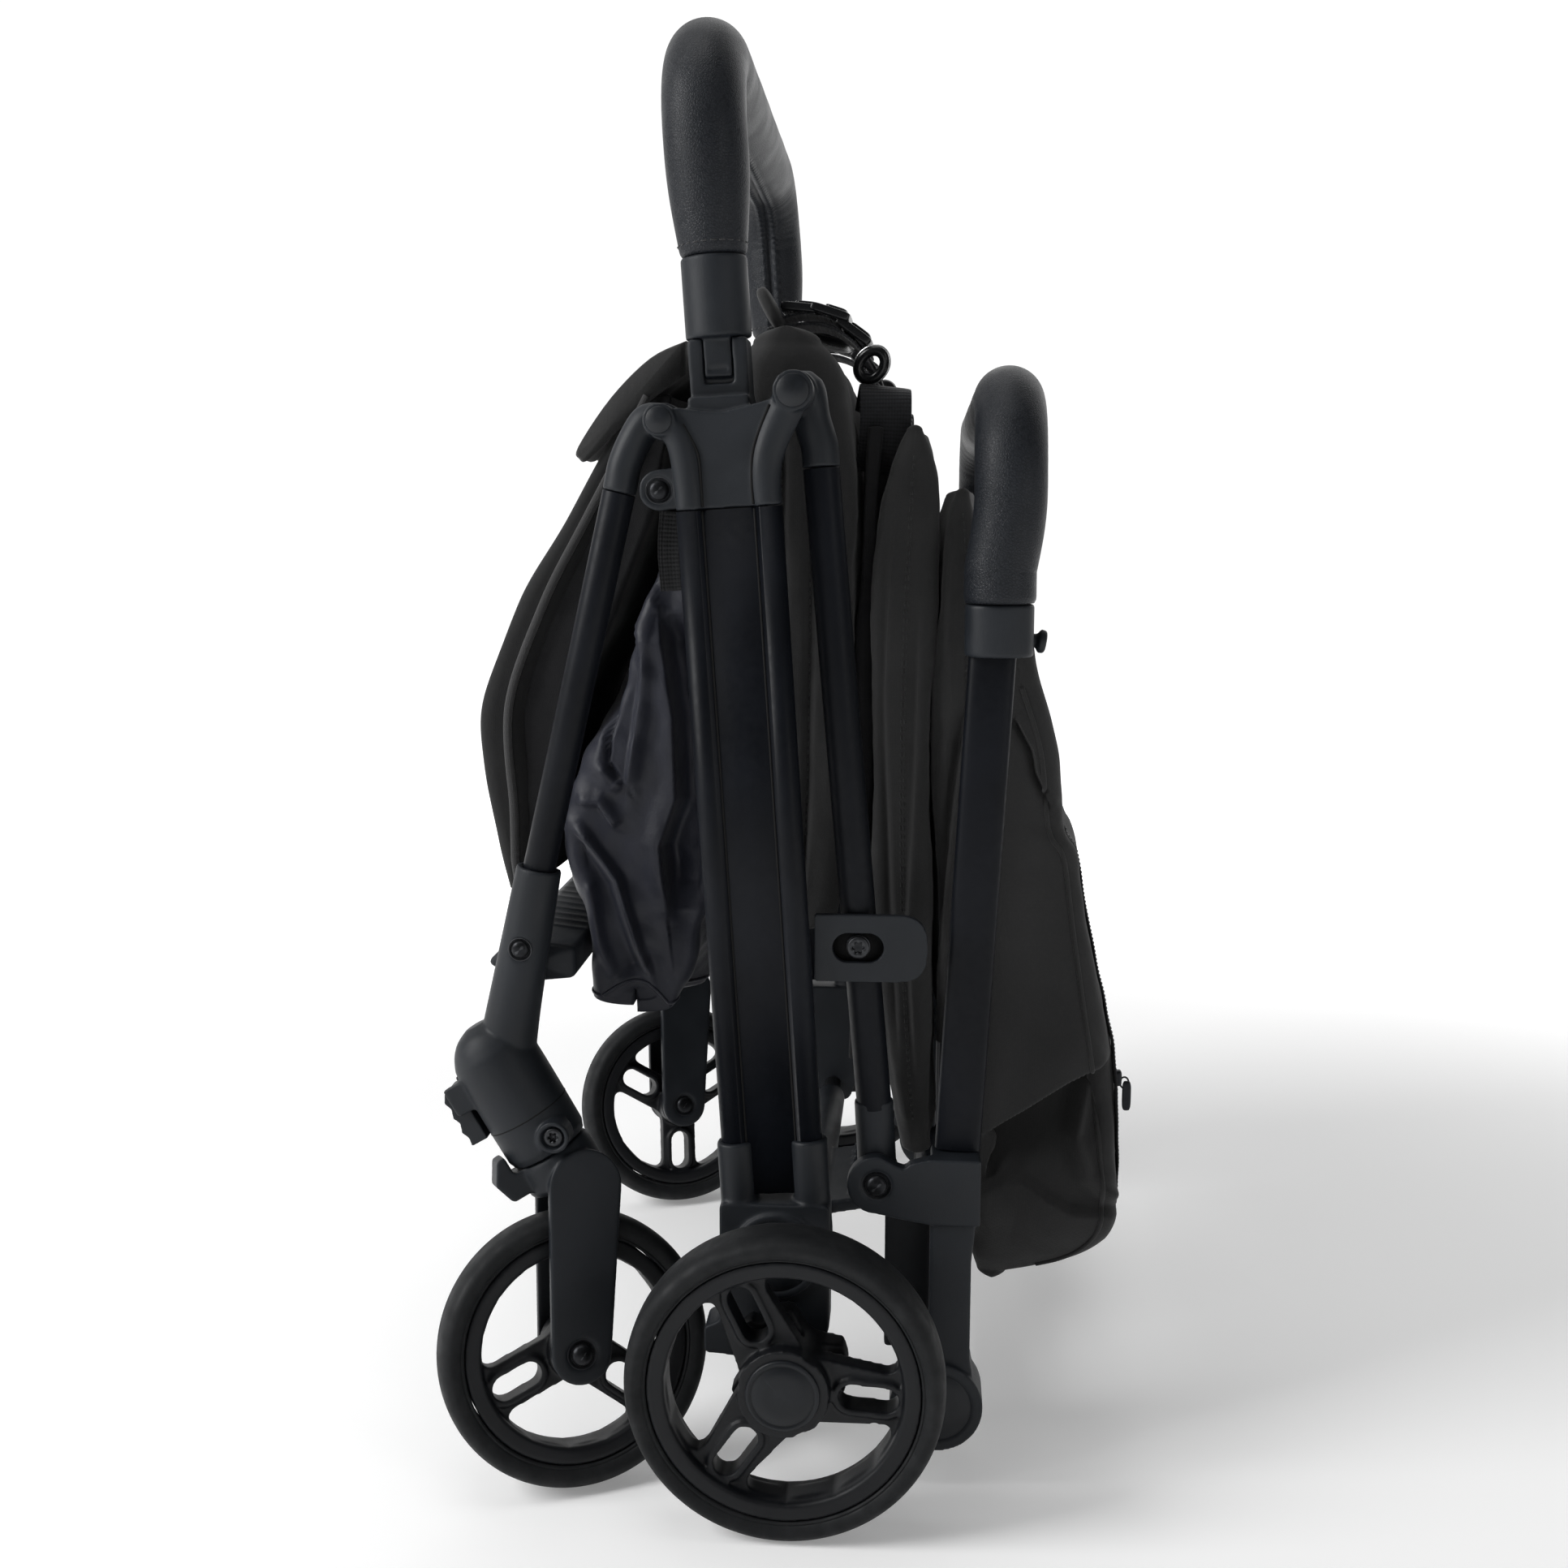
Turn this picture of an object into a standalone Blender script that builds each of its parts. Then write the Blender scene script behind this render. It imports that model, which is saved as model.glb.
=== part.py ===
"""Compact stroller, folded and standing on its four wheels, at its real size in metres, +Z up.

+X is the stroller's left side and -Y its front. The origin is on the floor, under the middle of the folded
stroller. Points in a side view are written (y, z). Pieces of the left side are made at +X, and those of the
right side are their mirror images, except for the castors, which have both turned the same way.
"""

import math

import bmesh
import bpy
from mathutils import Matrix, Vector

# Clearances
FACE_GAP = 0.0004
PLUG_GAP = 0.0005
PIN_GAP = 0.0005
PLANE_GAP = 0.0006

# Cuts run past the faces that they open
PAST = 0.0100

# Sides of a tube, a plug, a boss, a collar and a wheel
TUBE_SIDES = 10
PLUG_SIDES = 8
GRIP_SIDES = 10
BAR_SIDES = 12
BOSS_SIDES = 12
COLLAR_SIDES = 16
WHEEL_SIDES = 24

# Pivots of the fold and the rear axle, in the side view
FRONT_PIVOT = (-0.0550, 0.5300)
LINK_PIVOT = (0.0073, 0.5430)
MID_PIVOT = (0.0489, 0.1580)
REAR_AXLE = (0.0070, 0.0770)
ARM_END = (0.0797, 0.0420)
PIVOT_PIN_RADIUS = 0.0040

# Rear leg: two tubes joined by a web, one extrusion
LEG_PLANE_X = 0.1990
LEG_TUBE_RADIUS = 0.0070
LEG_TUBE_SPACING = 0.0364
LEG_WEB_THICKNESS = 0.0080
LEG_WALL = 0.0014
LEG_TOP = (-0.0227, 0.4844)
LEG_LOW = (-0.0036, 0.1862)
LEG_SEAM_Z = 0.4897
LEG_FOOT_Z = 0.1500
LEG_PLUG_LENGTH = 0.0200

# Folding tubes, in a plane inside the leg's
LINK_TUBE_RADIUS = 0.00875
LINK_ELBOW_RADIUS = 0.0085
LINK_SLEEVE_RADIUS = 0.0098
LINK_EYE_RADIUS = 0.0105
LINK_ELBOW_END = (0.0192, 0.5090)
LINK_TUBE_END = (0.0467, 0.1970)
FRONT_TUBE_RADIUS = 0.0080
FRONT_EYE_RADIUS = 0.0088
TUBE_WALL = 0.0015
TUBE_PLUG_LENGTH = 0.0180
FOLD_PLANE_X = LEG_PLANE_X - LEG_TUBE_RADIUS - PLANE_GAP - LINK_TUBE_RADIUS

# Head
HEAD_EYE_FRONT_RADIUS = 0.0078
HEAD_EYE_REAR_RADIUS = 0.0095
HEAD_OUTER_X = 0.2065
HEAD_PANEL_HALF = 0.0045
CORE_INNER_X = 0.1600
LUG_PLACE = (-0.0570, 0.4980)
LUG_RADIUS = 0.0096
LUG_X = (0.1880, 0.1945)

# Bumper bar, which serves as the carry handle, and its socket, along the leg's lean
SOCKET_BASE_Z = 0.5000
SOCKET_X = (0.1630, 0.1870)
SOCKET_DEPTH = 0.0290
SOCKET_WALL = 0.0030
SOCKET_FLOOR = 0.0450
SOCKET_HEIGHT = 0.0690
SLOT_WIDTH = 0.0140
TONGUE_WINDOW = 0.0060
BUMPER_OFFSET = -0.0020
BUMPER_COLLAR_RADIUS = 0.01585
BUMPER_COLLAR_LENGTH = 0.0382
BUMPER_GRIP_RADIUS = 0.0200
BUMPER_HEIGHT = 0.2250
BUMPER_BEND = 0.0440
BUMPER_BORE = 0.0125
BUMPER_SWELL_LENGTH = 0.0500
PLUG_STUB_LENGTH = 0.0160

# Front leg
FRONT_TUBE_TOP = (-0.0780, 0.4975)
FRONT_TUBE_END = (-0.1212, 0.3126)
FRONT_SLEEVE_LOW = (-0.1356, 0.2413)
FRONT_SLEEVE_TOP_RADIUS = 0.01125
FRONT_SLEEVE_LOW_RADIUS = 0.0135
FRONT_SLEEVE_END_RADIUS = 0.0155
FRONT_TUBE_DEPTH = 0.0300

# Castor: a wheel that trails its leaning swivel axis
CASTOR_POINT = (-0.0729, 0.0867)
CASTOR_LEAN = math.radians(30.0)
CASTOR_SWIVEL = math.radians(26.8)
CASTOR_TRAIL = 0.0410
CASTOR_COLLAR_RADIUS = 0.0215
CASTOR_COLLAR_TOP = 0.1660
CASTOR_SEAT = 0.0923
CASTOR_STEM_RADIUS = 0.0050
CASTOR_STEM_LENGTH = 0.0300
SHELL_SCREW = (0.0123, 0.1003)
SHELL_SCREW_RADIUS = 0.0072
FORK_GAP = 0.0030
FORK_PLATE = 0.0060
FORK_TOP_RADIUS = 0.0184
FORK_TOP_HEIGHT = 0.0695
FORK_END_RADIUS = 0.0150
FORK_CROWN_RADIUS = 0.0205
FORK_CROWN_LOW = 0.0740
FRONT_AXLE_RADIUS = 0.0040
FRONT_BOLT_HEAD = 0.0056
FRONT_BOLT_RISE = 0.0036

# Swivel lock, a lever on the front of the castor's collar
LOCK_REACH = 0.0105
LOCK_LOW = 0.1135
LOCK_TOP = 0.1440
LOCK_WIDTH = 0.0190
LOCK_PIVOT_INSET = 0.0030
LOCK_CHEEK = 0.0025

# Footrest
FOOTREST_NOSE = (-0.1535, 0.2590)
FOOTREST_DEPTH = 0.0465
FOOTREST_LOW_Z = 0.2490
FOOTREST_TOP_Z = 0.2720

# Wheels
REAR_WHEEL_RADIUS = 0.0770
REAR_TYRE_SEAT = 0.0653
REAR_WHEEL_X = 0.2460
REAR_WHEEL_WIDTH = 0.0280
REAR_AXLE_RADIUS = 0.0060
FRONT_WHEEL_RADIUS = 0.0688
FRONT_TYRE_SEAT = 0.0565
FRONT_WHEEL_WIDTH = 0.0260
RIM_RING = 0.0085
RIM_WEB = 0.0120
RIM_LIP = 0.0020
RIM_WIDTH_SHARE = 0.8400
HUB_RADIUS = 0.0220
HUB_FACE = 0.0130
HUB_CAP_RADIUS = 0.0177
HUB_CAP_DEPTH = 0.0035
HUB_CAP_GAP = 0.0004
HUB_CAP_STAND = 0.0016
DRUM_RADIUS = 0.0300
DRUM_INNER_X = 0.2220
DRUM_WIDTH = 0.0110
DRUM_PHASE = math.radians(7.0)
FRONT_HUB_RADIUS = 0.0150
SPOKE_WIDTH = 0.0220
SPOKE_SLOT_WIDTH = 0.0130
SPOKE_SLOT_START = 0.0260
FRONT_SLOT_START = 0.0200

# Rear foot
FOOT_SLEEVE_RADIUS = 0.0092
FOOT_SLEEVE_TOP_Z = 0.1810
FOOT_INNER_X = 0.1880
FOOT_OUTER_X = 0.2090
FOOT_BOSS = (-0.0005, 0.1240)
FOOT_BOSS_RADIUS = 0.0220
FOOT_BOSS_RIM = 0.0030
FOOT_BOSS_STAND = 0.0024
FOOT_AXLE_BOSS_RADIUS = 0.0120
FOOT_STUB = 0.0080

# Fold latch, on the left side only
LATCH_THICKNESS = 0.0040
LATCH_Y = (0.0175, 0.0726)
LATCH_Z = (0.2610, 0.2944)
LATCH_SCREW = (0.0388, 0.2779)
LATCH_SCREW_HEAD = 0.0055
LATCH_SLOT_LENGTH = 0.0230
LATCH_SLOT_WIDTH = 0.0140

# Handle bracket, arm and cross bar
BRACKET_PLATE = 0.0080
BRACKET_LOBE_RADIUS = 0.0148
BRACKET_HEIGHT = 0.0340
ARM_INNER_X = 0.1765
ARM_OUTER_X = 0.1975
ARM_BLOCK_X = 0.1500
ARM_DISC_RADIUS = 0.0235
CROSS_BAR_RADIUS = 0.0130
CROSS_BAR_END_X = 0.1900
MID_BOLT_HEAD = 0.0055
MID_BOLT_RISE = 0.0028

# Handle bar, collar and push grip; the collar and the bar's end follow the grip's top
GRIP_TOP = (0.1090, 0.5420)
GRIP_LEG = 0.1225
BAR_DEPTH = 0.0228
BAR_WIDTH = 0.0120
BAR_LOW = (0.0889, 0.1726)
COLLAR_LOW_Z = GRIP_TOP[1] - GRIP_LEG
BAR_TOP = (0.1017, COLLAR_LOW_Z - 0.0005)
BAR_DEPTH_IN_COLLAR = 0.0200
COLLAR_LENGTH = 0.0252
COLLAR_DEPTH = 0.0330
COLLAR_WIDTH = 0.0280
COLLAR_Y = 0.1047
KNOB_RADIUS = 0.0058
GRIP_RADIUS = 0.01725
GRIP_BORE = 0.0122
GRIP_BEND = 0.0450
BUTTON_LENGTH = 0.0340
BUTTON_WIDTH = 0.0130
BUTTON_STAND = 0.0012

# Brake bar
BRAKE_SLEEVE_RADIUS = 0.0100
BRAKE_HALF_LENGTH = 0.1600
BRAKE_PEDAL_REACH = 0.0460
BRAKE_PEDAL_WIDTH = 0.0900

# Cloth and webbing
CLOTH_HALF_WIDTH = 0.1480
CLOTH_WALL = 0.0030
RIPPLE_SHARE = 0.1200
STRAP_WIDTH = 0.0380
STRAP_THICKNESS = 0.0020
STRAP_INNER_X = 0.0640
BUCKLE_HALF_WIDTH = 0.0300

BLACK_PLASTIC = (0.014, 0.017, 0.021)
BLACK_PAINT = (0.010, 0.012, 0.018)
BLACK_RUBBER = (0.010, 0.012, 0.014)
BLACK_LEATHER = (0.010, 0.012, 0.016)
CHARCOAL_CLOTH = (0.020, 0.020, 0.020)
NAVY_CLOTH = (0.009, 0.010, 0.018)


def clear_scene():
    for thing in list(bpy.data.objects):
        bpy.data.objects.remove(thing, do_unlink=True)


def material(name, colour, roughness, metallic=0.0):
    made = bpy.data.materials.new(name)
    made.use_nodes = True
    shader = made.node_tree.nodes["Principled BSDF"]
    shader.inputs["Base Color"].default_value = (*colour, 1.0)
    shader.inputs["Roughness"].default_value = roughness
    shader.inputs["Metallic"].default_value = metallic
    return made


FINISHES = {
    "plastic": (BLACK_PLASTIC, 0.55, 0.0),
    "paint": (BLACK_PAINT, 0.40, 0.3),
    "rubber": (BLACK_RUBBER, 0.70, 0.0),
    "leather": (BLACK_LEATHER, 0.50, 0.0),
    "cloth": (CHARCOAL_CLOTH, 0.90, 0.0),
    "basket cloth": (NAVY_CLOTH, 0.70, 0.0),
    "bolt": (BLACK_PAINT, 0.30, 0.8),
}


# Outlines in a side view


def arc(centre, radius, start, end, steps):
    """Points on a circle from one angle to another, in degrees from +Y towards +Z."""
    points = []
    for i in range(steps + 1):
        angle = math.radians(start + (end - start) * i / steps)
        points.append((centre[0] + radius * math.cos(angle), centre[1] + radius * math.sin(angle)))
    return points


def circle(centre, radius, sides):
    return arc(centre, radius, 0.0, 360.0 * (sides - 1) / sides, sides - 1)


def stadium(centre, length, width, turn=0.0, steps=6):
    """A slot outline: two half circles joined by straight sides, turned by an angle in degrees."""
    half = (length - width) / 2
    along = (math.cos(math.radians(turn)), math.sin(math.radians(turn)))
    near = (centre[0] - half * along[0], centre[1] - half * along[1])
    far = (centre[0] + half * along[0], centre[1] + half * along[1])
    right = arc(far, width / 2, turn - 90, turn + 90, steps)
    left = arc(near, width / 2, turn + 90, turn + 270, steps)
    return right + left


def tapered(top, top_radius, end, end_radius, steps=8):
    """Two circles and the straight sides that touch both."""
    run = Vector((end[0] - top[0], end[1] - top[1]))
    heading = math.degrees(math.atan2(run.y, run.x))
    lean = math.degrees(math.asin((top_radius - end_radius) / run.length))
    side = 90 - lean
    first = arc(end, end_radius, heading - side, heading + side, steps)
    second = arc(top, top_radius, heading + side, heading + 360 - side, steps)
    return first + second


def rounded(corners, steps=3):
    """An outline from (y, z, radius) corners, each rounded by an arc that touches both its sides."""
    points = []
    count = len(corners)
    for i, (y, z, radius) in enumerate(corners):
        corner = Vector((y, z))
        before = Vector(corners[i - 1][:2]) - corner
        after = Vector(corners[(i + 1) % count][:2]) - corner
        if radius <= 0:
            points.append((y, z))
            continue
        half = before.angle(after) / 2
        reach = min(radius / math.tan(half), 0.48 * before.length, 0.48 * after.length)
        start = corner + before.normalized() * reach
        end = corner + after.normalized() * reach
        for k in range(steps + 1):
            t = k / steps
            pull = (1 - t) ** 2, 2 * t * (1 - t), t**2
            point = start * pull[0] + corner * pull[1] + end * pull[2]
            points.append((point.x, point.y))
    return points


def box_outline(y_range, z_range, radius=0.0):
    (y0, y1), (z0, z1) = y_range, z_range
    return rounded([(y0, z0, radius), (y1, z0, radius), (y1, z1, radius), (y0, z1, radius)])


def smooth(points, steps=4):
    """A curve through the points: Catmull-Rom, with the end points repeated."""
    ends = [points[0], *points, points[-1]]
    curve = []
    for i in range(1, len(ends) - 2):
        a, b, c, d = (Vector(p) for p in ends[i - 1 : i + 3])
        for k in range(steps):
            t = k / steps
            curve.append(
                b
                + (c - a) * (0.5 * t)
                + (a * 2 - b * 5 + c * 4 - d) * (0.5 * t * t)
                + (b * 3 - a - c * 3 + d) * (0.5 * t * t * t)
            )
    curve.append(Vector(points[-1]))
    return curve


# Solids


def closed(bm):
    bmesh.ops.recalc_face_normals(bm, faces=bm.faces)
    return bm


def prism(outline, x0, x1):
    """A side-view outline, straight through from x0 to x1."""
    bm = bmesh.new()
    low = [bm.verts.new((x0, y, z)) for y, z in outline]
    high = [bm.verts.new((x1, y, z)) for y, z in outline]
    bm.faces.new(low)
    bm.faces.new(high)
    count = len(outline)
    for i in range(count):
        j = (i + 1) % count
        bm.faces.new((low[i], low[j], high[j], high[i]))
    return closed(bm)


def rings_to_mesh(rings, capped=True, ends_joined=False):
    """Rings of equally many points, joined by quads; the first and last are capped or joined."""
    bm = bmesh.new()
    made = [[bm.verts.new(p) for p in ring] for ring in rings]
    count = len(made[0])
    pairs = list(zip(made, made[1:]))
    if ends_joined:
        pairs.append((made[-1], made[0]))
    for one, two in pairs:
        for i in range(count):
            j = (i + 1) % count
            bm.faces.new((one[i], one[j], two[j], two[i]))
    if capped and not ends_joined:
        bm.faces.new(made[0])
        bm.faces.new(made[-1])
    return closed(bm)


def turned(profile, sides, solid=False):
    """A profile of (radius, x) points turned about the X axis: a closed ring, or a solid with flat ends."""
    rings = []
    for radius, x in profile:
        ring = []
        for i in range(sides):
            angle = 2 * math.pi * i / sides
            ring.append((x, radius * math.cos(angle), radius * math.sin(angle)))
        rings.append(ring)
    return rings_to_mesh(rings, ends_joined=not solid)


def sweep(path, radii, sides=TUBE_SIDES, bore=None):
    """A tube along a path. Each radius is one number, or a pair: across the side view, and in it.

    The cross-section is carried along the path without twisting. A bore makes it hollow with open ends.
    """
    path = [Vector(p) for p in path]
    outer = radii if isinstance(radii, list) else [radii] * len(path)
    inner = None
    if bore is not None:
        inner = bore if isinstance(bore, list) else [bore] * len(path)
    tangents = []
    for i in range(len(path)):
        step = path[min(i + 1, len(path) - 1)] - path[max(i - 1, 0)]
        tangents.append(step.normalized())
    across = Vector((1, 0, 0))
    if abs(tangents[0].x) > 0.9:
        across = Vector((0, 1, 0))
    rings, inner_rings = [], []
    for i, (point, tangent) in enumerate(zip(path, tangents)):
        across = (across - tangent * across.dot(tangent)).normalized()
        up = tangent.cross(across)
        for target, sizes in ((rings, outer), (inner_rings, inner)):
            if sizes is None:
                continue
            a, b = sizes[i] if isinstance(sizes[i], tuple) else (sizes[i], sizes[i])
            ring = []
            for k in range(sides):
                angle = 2 * math.pi * (k + 0.5) / sides
                ring.append(point + across * (a * math.cos(angle)) + up * (b * math.sin(angle)))
            target.append(ring)
    if inner is None:
        return rings_to_mesh(rings)
    return rings_to_mesh(rings + inner_rings[::-1], ends_joined=True)


def bolt_dome(radius, rise):
    """A low domed bolt head that stands on the plane x = 0."""
    profile = [(radius, 0.0), (radius, rise / 3), (radius * 0.75, rise * 0.75), (radius * 0.3, rise)]
    return turned(profile, BOSS_SIDES, solid=True)


def side_path(points, x):
    return [Vector((x, y, z)) for y, z in points]


def rod(start, end, radius, sides=PLUG_SIDES):
    return sweep([start, end], radius, sides)


def pin_along_x(centre, x0, x1, radius, sides=BOSS_SIDES):
    return prism(circle(centre, radius, sides), x0, x1)


def pivot_hole(centre, x0, x1):
    return pin_along_x(centre, x0, x1, PIVOT_PIN_RADIUS + PIN_GAP, TUBE_SIDES)


def bundle(levels, pleats, pleat_depth, ripple, waves, steps=1):
    """Cloth folded flat and standing on edge: level outlines from bottom to top, joined and capped.

    A level is (z, front y, rear y, half width). Its two sides are pleated: the width draws in between the
    folds, pleats times from front to rear. The front and rear faces ripple across the width.
    """
    rings = []
    for level in smooth(levels, steps):
        z, front, rear, half = level
        corner = min(0.010, 0.45 * (rear - front))
        swing = min(ripple, RIPPLE_SHARE * (rear - front))
        side = []
        count = 4 * pleats
        for k in range(count + 1):
            share = k / count
            draw = pleat_depth * (0.5 - 0.5 * math.cos(2 * math.pi * pleats * share))
            side.append((half - draw, front + corner + (rear - front - 2 * corner) * share))
        across = 2 * waves
        face = []
        for k in range(across + 1):
            share = k / across
            face.append((half - corner) * (1 - 2 * share))
        ring = [(x, y, z) for x, y in side]
        for k, x in enumerate(face):
            wave = swing * math.sin(math.pi * waves * k / across) ** 2
            ring.append((x, rear - wave, z))
        ring += [(-x, y, z) for x, y in reversed(side)]
        for k, x in enumerate(reversed(face)):
            wave = swing * math.sin(math.pi * waves * k / across) ** 2
            ring.append((x, front + wave, z))
        rings.append(ring)
    return rings_to_mesh(rings)


# Objects, joints and fits


def joint(name, place, turn=None):
    """An empty on a joint's axis, which its moving pieces hang from."""
    empty = bpy.data.objects.new(name, None)
    empty.matrix_world = Matrix.Translation(place) @ (turn or Matrix.Identity(4))
    bpy.context.scene.collection.objects.link(empty)
    bpy.context.view_layer.update()
    return empty


def hang(child, parent):
    child.parent = parent
    child.matrix_parent_inverse = parent.matrix_world.inverted()


def link_object(name, bm, parent):
    mesh = bpy.data.meshes.new(name)
    bm.to_mesh(mesh)
    bm.free()
    made = bpy.data.objects.new(name, mesh)
    bpy.context.scene.collection.objects.link(made)
    if parent is not None:
        hang(made, parent)
    return made


class Side:
    """One side of the stroller: +1 is left, -1 right. It mirrors what is modelled for the left."""

    def __init__(self, sign):
        self.sign = sign
        self.letter = "L" if sign > 0 else "R"

    def put(self, bm):
        if self.sign < 0:
            bmesh.ops.scale(bm, vec=(-1, 1, 1), verts=bm.verts)
            bmesh.ops.reverse_faces(bm, faces=bm.faces)
        return bm

    def point(self, place, x):
        return (self.sign * x, *place)


def moved(bm, matrix):
    bm.transform(matrix)
    return bm


class Piece:
    """One named solid in its place, with the shapes that are joined to it or cut from it."""

    def __init__(self, name, bm, finish, parent=None):
        self.parent = parent
        self.object = link_object(name, bm, parent)
        self.object.data.materials.append(material(name, *FINISHES[finish]))
        self.object.data.shade_smooth()
        self.object.data.set_sharp_from_angle(angle=math.radians(35))

    def change(self, bm, operation):
        tool = link_object(self.object.name + " " + operation.lower(), bm, self.parent)
        tool.hide_render = True
        tool.display_type = "WIRE"
        boolean = self.object.modifiers.new(operation.title(), "BOOLEAN")
        boolean.operation = operation
        boolean.solver = "EXACT"
        boolean.object = tool

    def join(self, *shapes):
        for bm in shapes:
            self.change(bm, "UNION")

    def cut(self, *shapes):
        for bm in shapes:
            self.change(bm, "DIFFERENCE")


# Rear leg unit


def leg_point(z, offset=0.0):
    """The (y, z) point of the leg's axis at a height, moved square to the axis towards the rear."""
    run = Vector((LEG_LOW[0] - LEG_TOP[0], LEG_LOW[1] - LEG_TOP[1]))
    share = (z - LEG_TOP[1]) / run.y
    square = Vector((-run.y, run.x)).normalized() * offset
    return (LEG_TOP[0] + run.x * share + square.x, z + square.y)


LEG_LEAN = math.atan2(LEG_LOW[0] - LEG_TOP[0], LEG_TOP[1] - LEG_LOW[1])


def leg_section(grow=0.0):
    """Cross-section of the extrusion as (x, offset): two tubes and the web between them."""
    radius = LEG_TUBE_RADIUS + grow
    bite = math.degrees(math.asin((LEG_WEB_THICKNESS / 2 + grow) / radius))
    half = LEG_TUBE_SPACING / 2
    front = arc((-half, 0.0), radius, bite, 360 - bite, 9)
    rear = arc((half, 0.0), radius, 180 + bite, 540 - bite, 9)
    return [(x, offset) for offset, x in front + rear]


def leg_solid(z_low, z_high, grow=0.0):
    rings = []
    for z in (z_low, z_high):
        ring = []
        for x, offset in leg_section(grow):
            y, height = leg_point(z, offset)
            ring.append((LEG_PLANE_X + x, y, height))
        rings.append(ring)
    return rings_to_mesh(rings)


def leg_rod(offset, z_low, z_high, radius):
    start = Vector((LEG_PLANE_X, *leg_point(z_low, offset)))
    end = Vector((LEG_PLANE_X, *leg_point(z_high, offset)))
    return rod(start, end, radius)


def make_rear_leg(side):
    solid = side.put(leg_solid(LEG_FOOT_Z, LEG_SEAM_Z - FACE_GAP))
    leg = Piece("rear_leg_" + side.letter, solid, "paint")
    for offset in (-LEG_TUBE_SPACING / 2, LEG_TUBE_SPACING / 2):
        bore = leg_rod(offset, LEG_FOOT_Z - PAST, LEG_SEAM_Z + PAST, LEG_TUBE_RADIUS - LEG_WALL)
        leg.cut(side.put(bore))


def make_rear_foot(side):
    half = LEG_TUBE_SPACING / 2
    front_y = leg_point(LEG_FOOT_Z, -half)[0] - FOOT_SLEEVE_RADIUS
    rear_y = leg_point(LEG_FOOT_Z, half)[0] + FOOT_SLEEVE_RADIUS
    axle_y, axle_z = REAR_AXLE
    under = axle_z - FOOT_AXLE_BOSS_RADIUS
    block = rounded(
        [
            (front_y, LEG_FOOT_Z - FACE_GAP, 0.003),
            (front_y, axle_z + 0.0110, 0.004),
            (front_y - FOOT_STUB, axle_z + 0.0075, 0.003),
            (front_y - FOOT_STUB, axle_z - 0.0060, 0.003),
            (front_y + 0.0060, axle_z - 0.0070, 0.004),
            (axle_y - FOOT_AXLE_BOSS_RADIUS, under, 0.006),
            (axle_y + FOOT_AXLE_BOSS_RADIUS, under, 0.008),
            (rear_y, axle_z + 0.0090, 0.006),
            (rear_y, LEG_FOOT_Z - FACE_GAP, 0.003),
        ]
    )
    foot = Piece("rear_foot_" + side.letter, side.put(prism(block, FOOT_INNER_X, FOOT_OUTER_X)), "plastic")
    for offset in (-half, half):
        sleeve = leg_rod(offset, LEG_FOOT_Z - 0.020, FOOT_SLEEVE_TOP_Z, FOOT_SLEEVE_RADIUS)
        foot.join(side.put(sleeve))
    cover = circle(FOOT_BOSS, FOOT_BOSS_RADIUS, BOSS_SIDES)
    recess = circle(FOOT_BOSS, FOOT_BOSS_RADIUS - FOOT_BOSS_RIM, BOSS_SIDES)
    boss_end = DRUM_INNER_X - FACE_GAP
    foot.join(
        side.put(prism(cover, FOOT_OUTER_X - 0.004, FOOT_OUTER_X + FOOT_BOSS_STAND)),
        side.put(pin_along_x(REAR_AXLE, FOOT_OUTER_X - 0.002, boss_end, FOOT_AXLE_BOSS_RADIUS)),
    )
    foot.cut(
        side.put(prism(recess, FOOT_OUTER_X + FOOT_BOSS_STAND / 2, FOOT_OUTER_X + PAST)),
        side.put(leg_solid(LEG_FOOT_Z - FACE_GAP, FOOT_SLEEVE_TOP_Z + PAST, FACE_GAP)),
        side.put(pin_along_x(REAR_AXLE, FOOT_INNER_X - PAST, boss_end + PAST, REAR_AXLE_RADIUS + PIN_GAP)),
    )


def make_rear_axle():
    reach = REAR_WHEEL_X + HUB_FACE - HUB_CAP_DEPTH - HUB_CAP_GAP
    ends = [Vector((-reach, *REAR_AXLE)), Vector((reach, *REAR_AXLE))]
    Piece("rear_axle_tube", sweep(ends, REAR_AXLE_RADIUS, BOSS_SIDES, REAR_AXLE_RADIUS - TUBE_WALL), "bolt")


# Wheels, turned about X with their middle plane at x = 0


def tyre_mesh(radius, seat, width):
    half = width / 2
    bead = seat + FACE_GAP
    shoulder = bead + (radius - bead) * 0.62
    profile = [(bead, -half * RIM_WIDTH_SHARE), (shoulder, -half), (radius, -half * 0.42)]
    profile += [(r, -x) for r, x in reversed(profile)]
    return turned(profile, WHEEL_SIDES)


def rim_ring_mesh(seat, width):
    """The rim's outer ring, which the tyre sits on."""
    lip = width / 2 * RIM_WIDTH_SHARE
    ring = seat - RIM_RING
    return turned([(ring, -lip + RIM_LIP), (seat, -lip), (seat, lip), (ring, lip - RIM_LIP)], WHEEL_SIDES)


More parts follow.
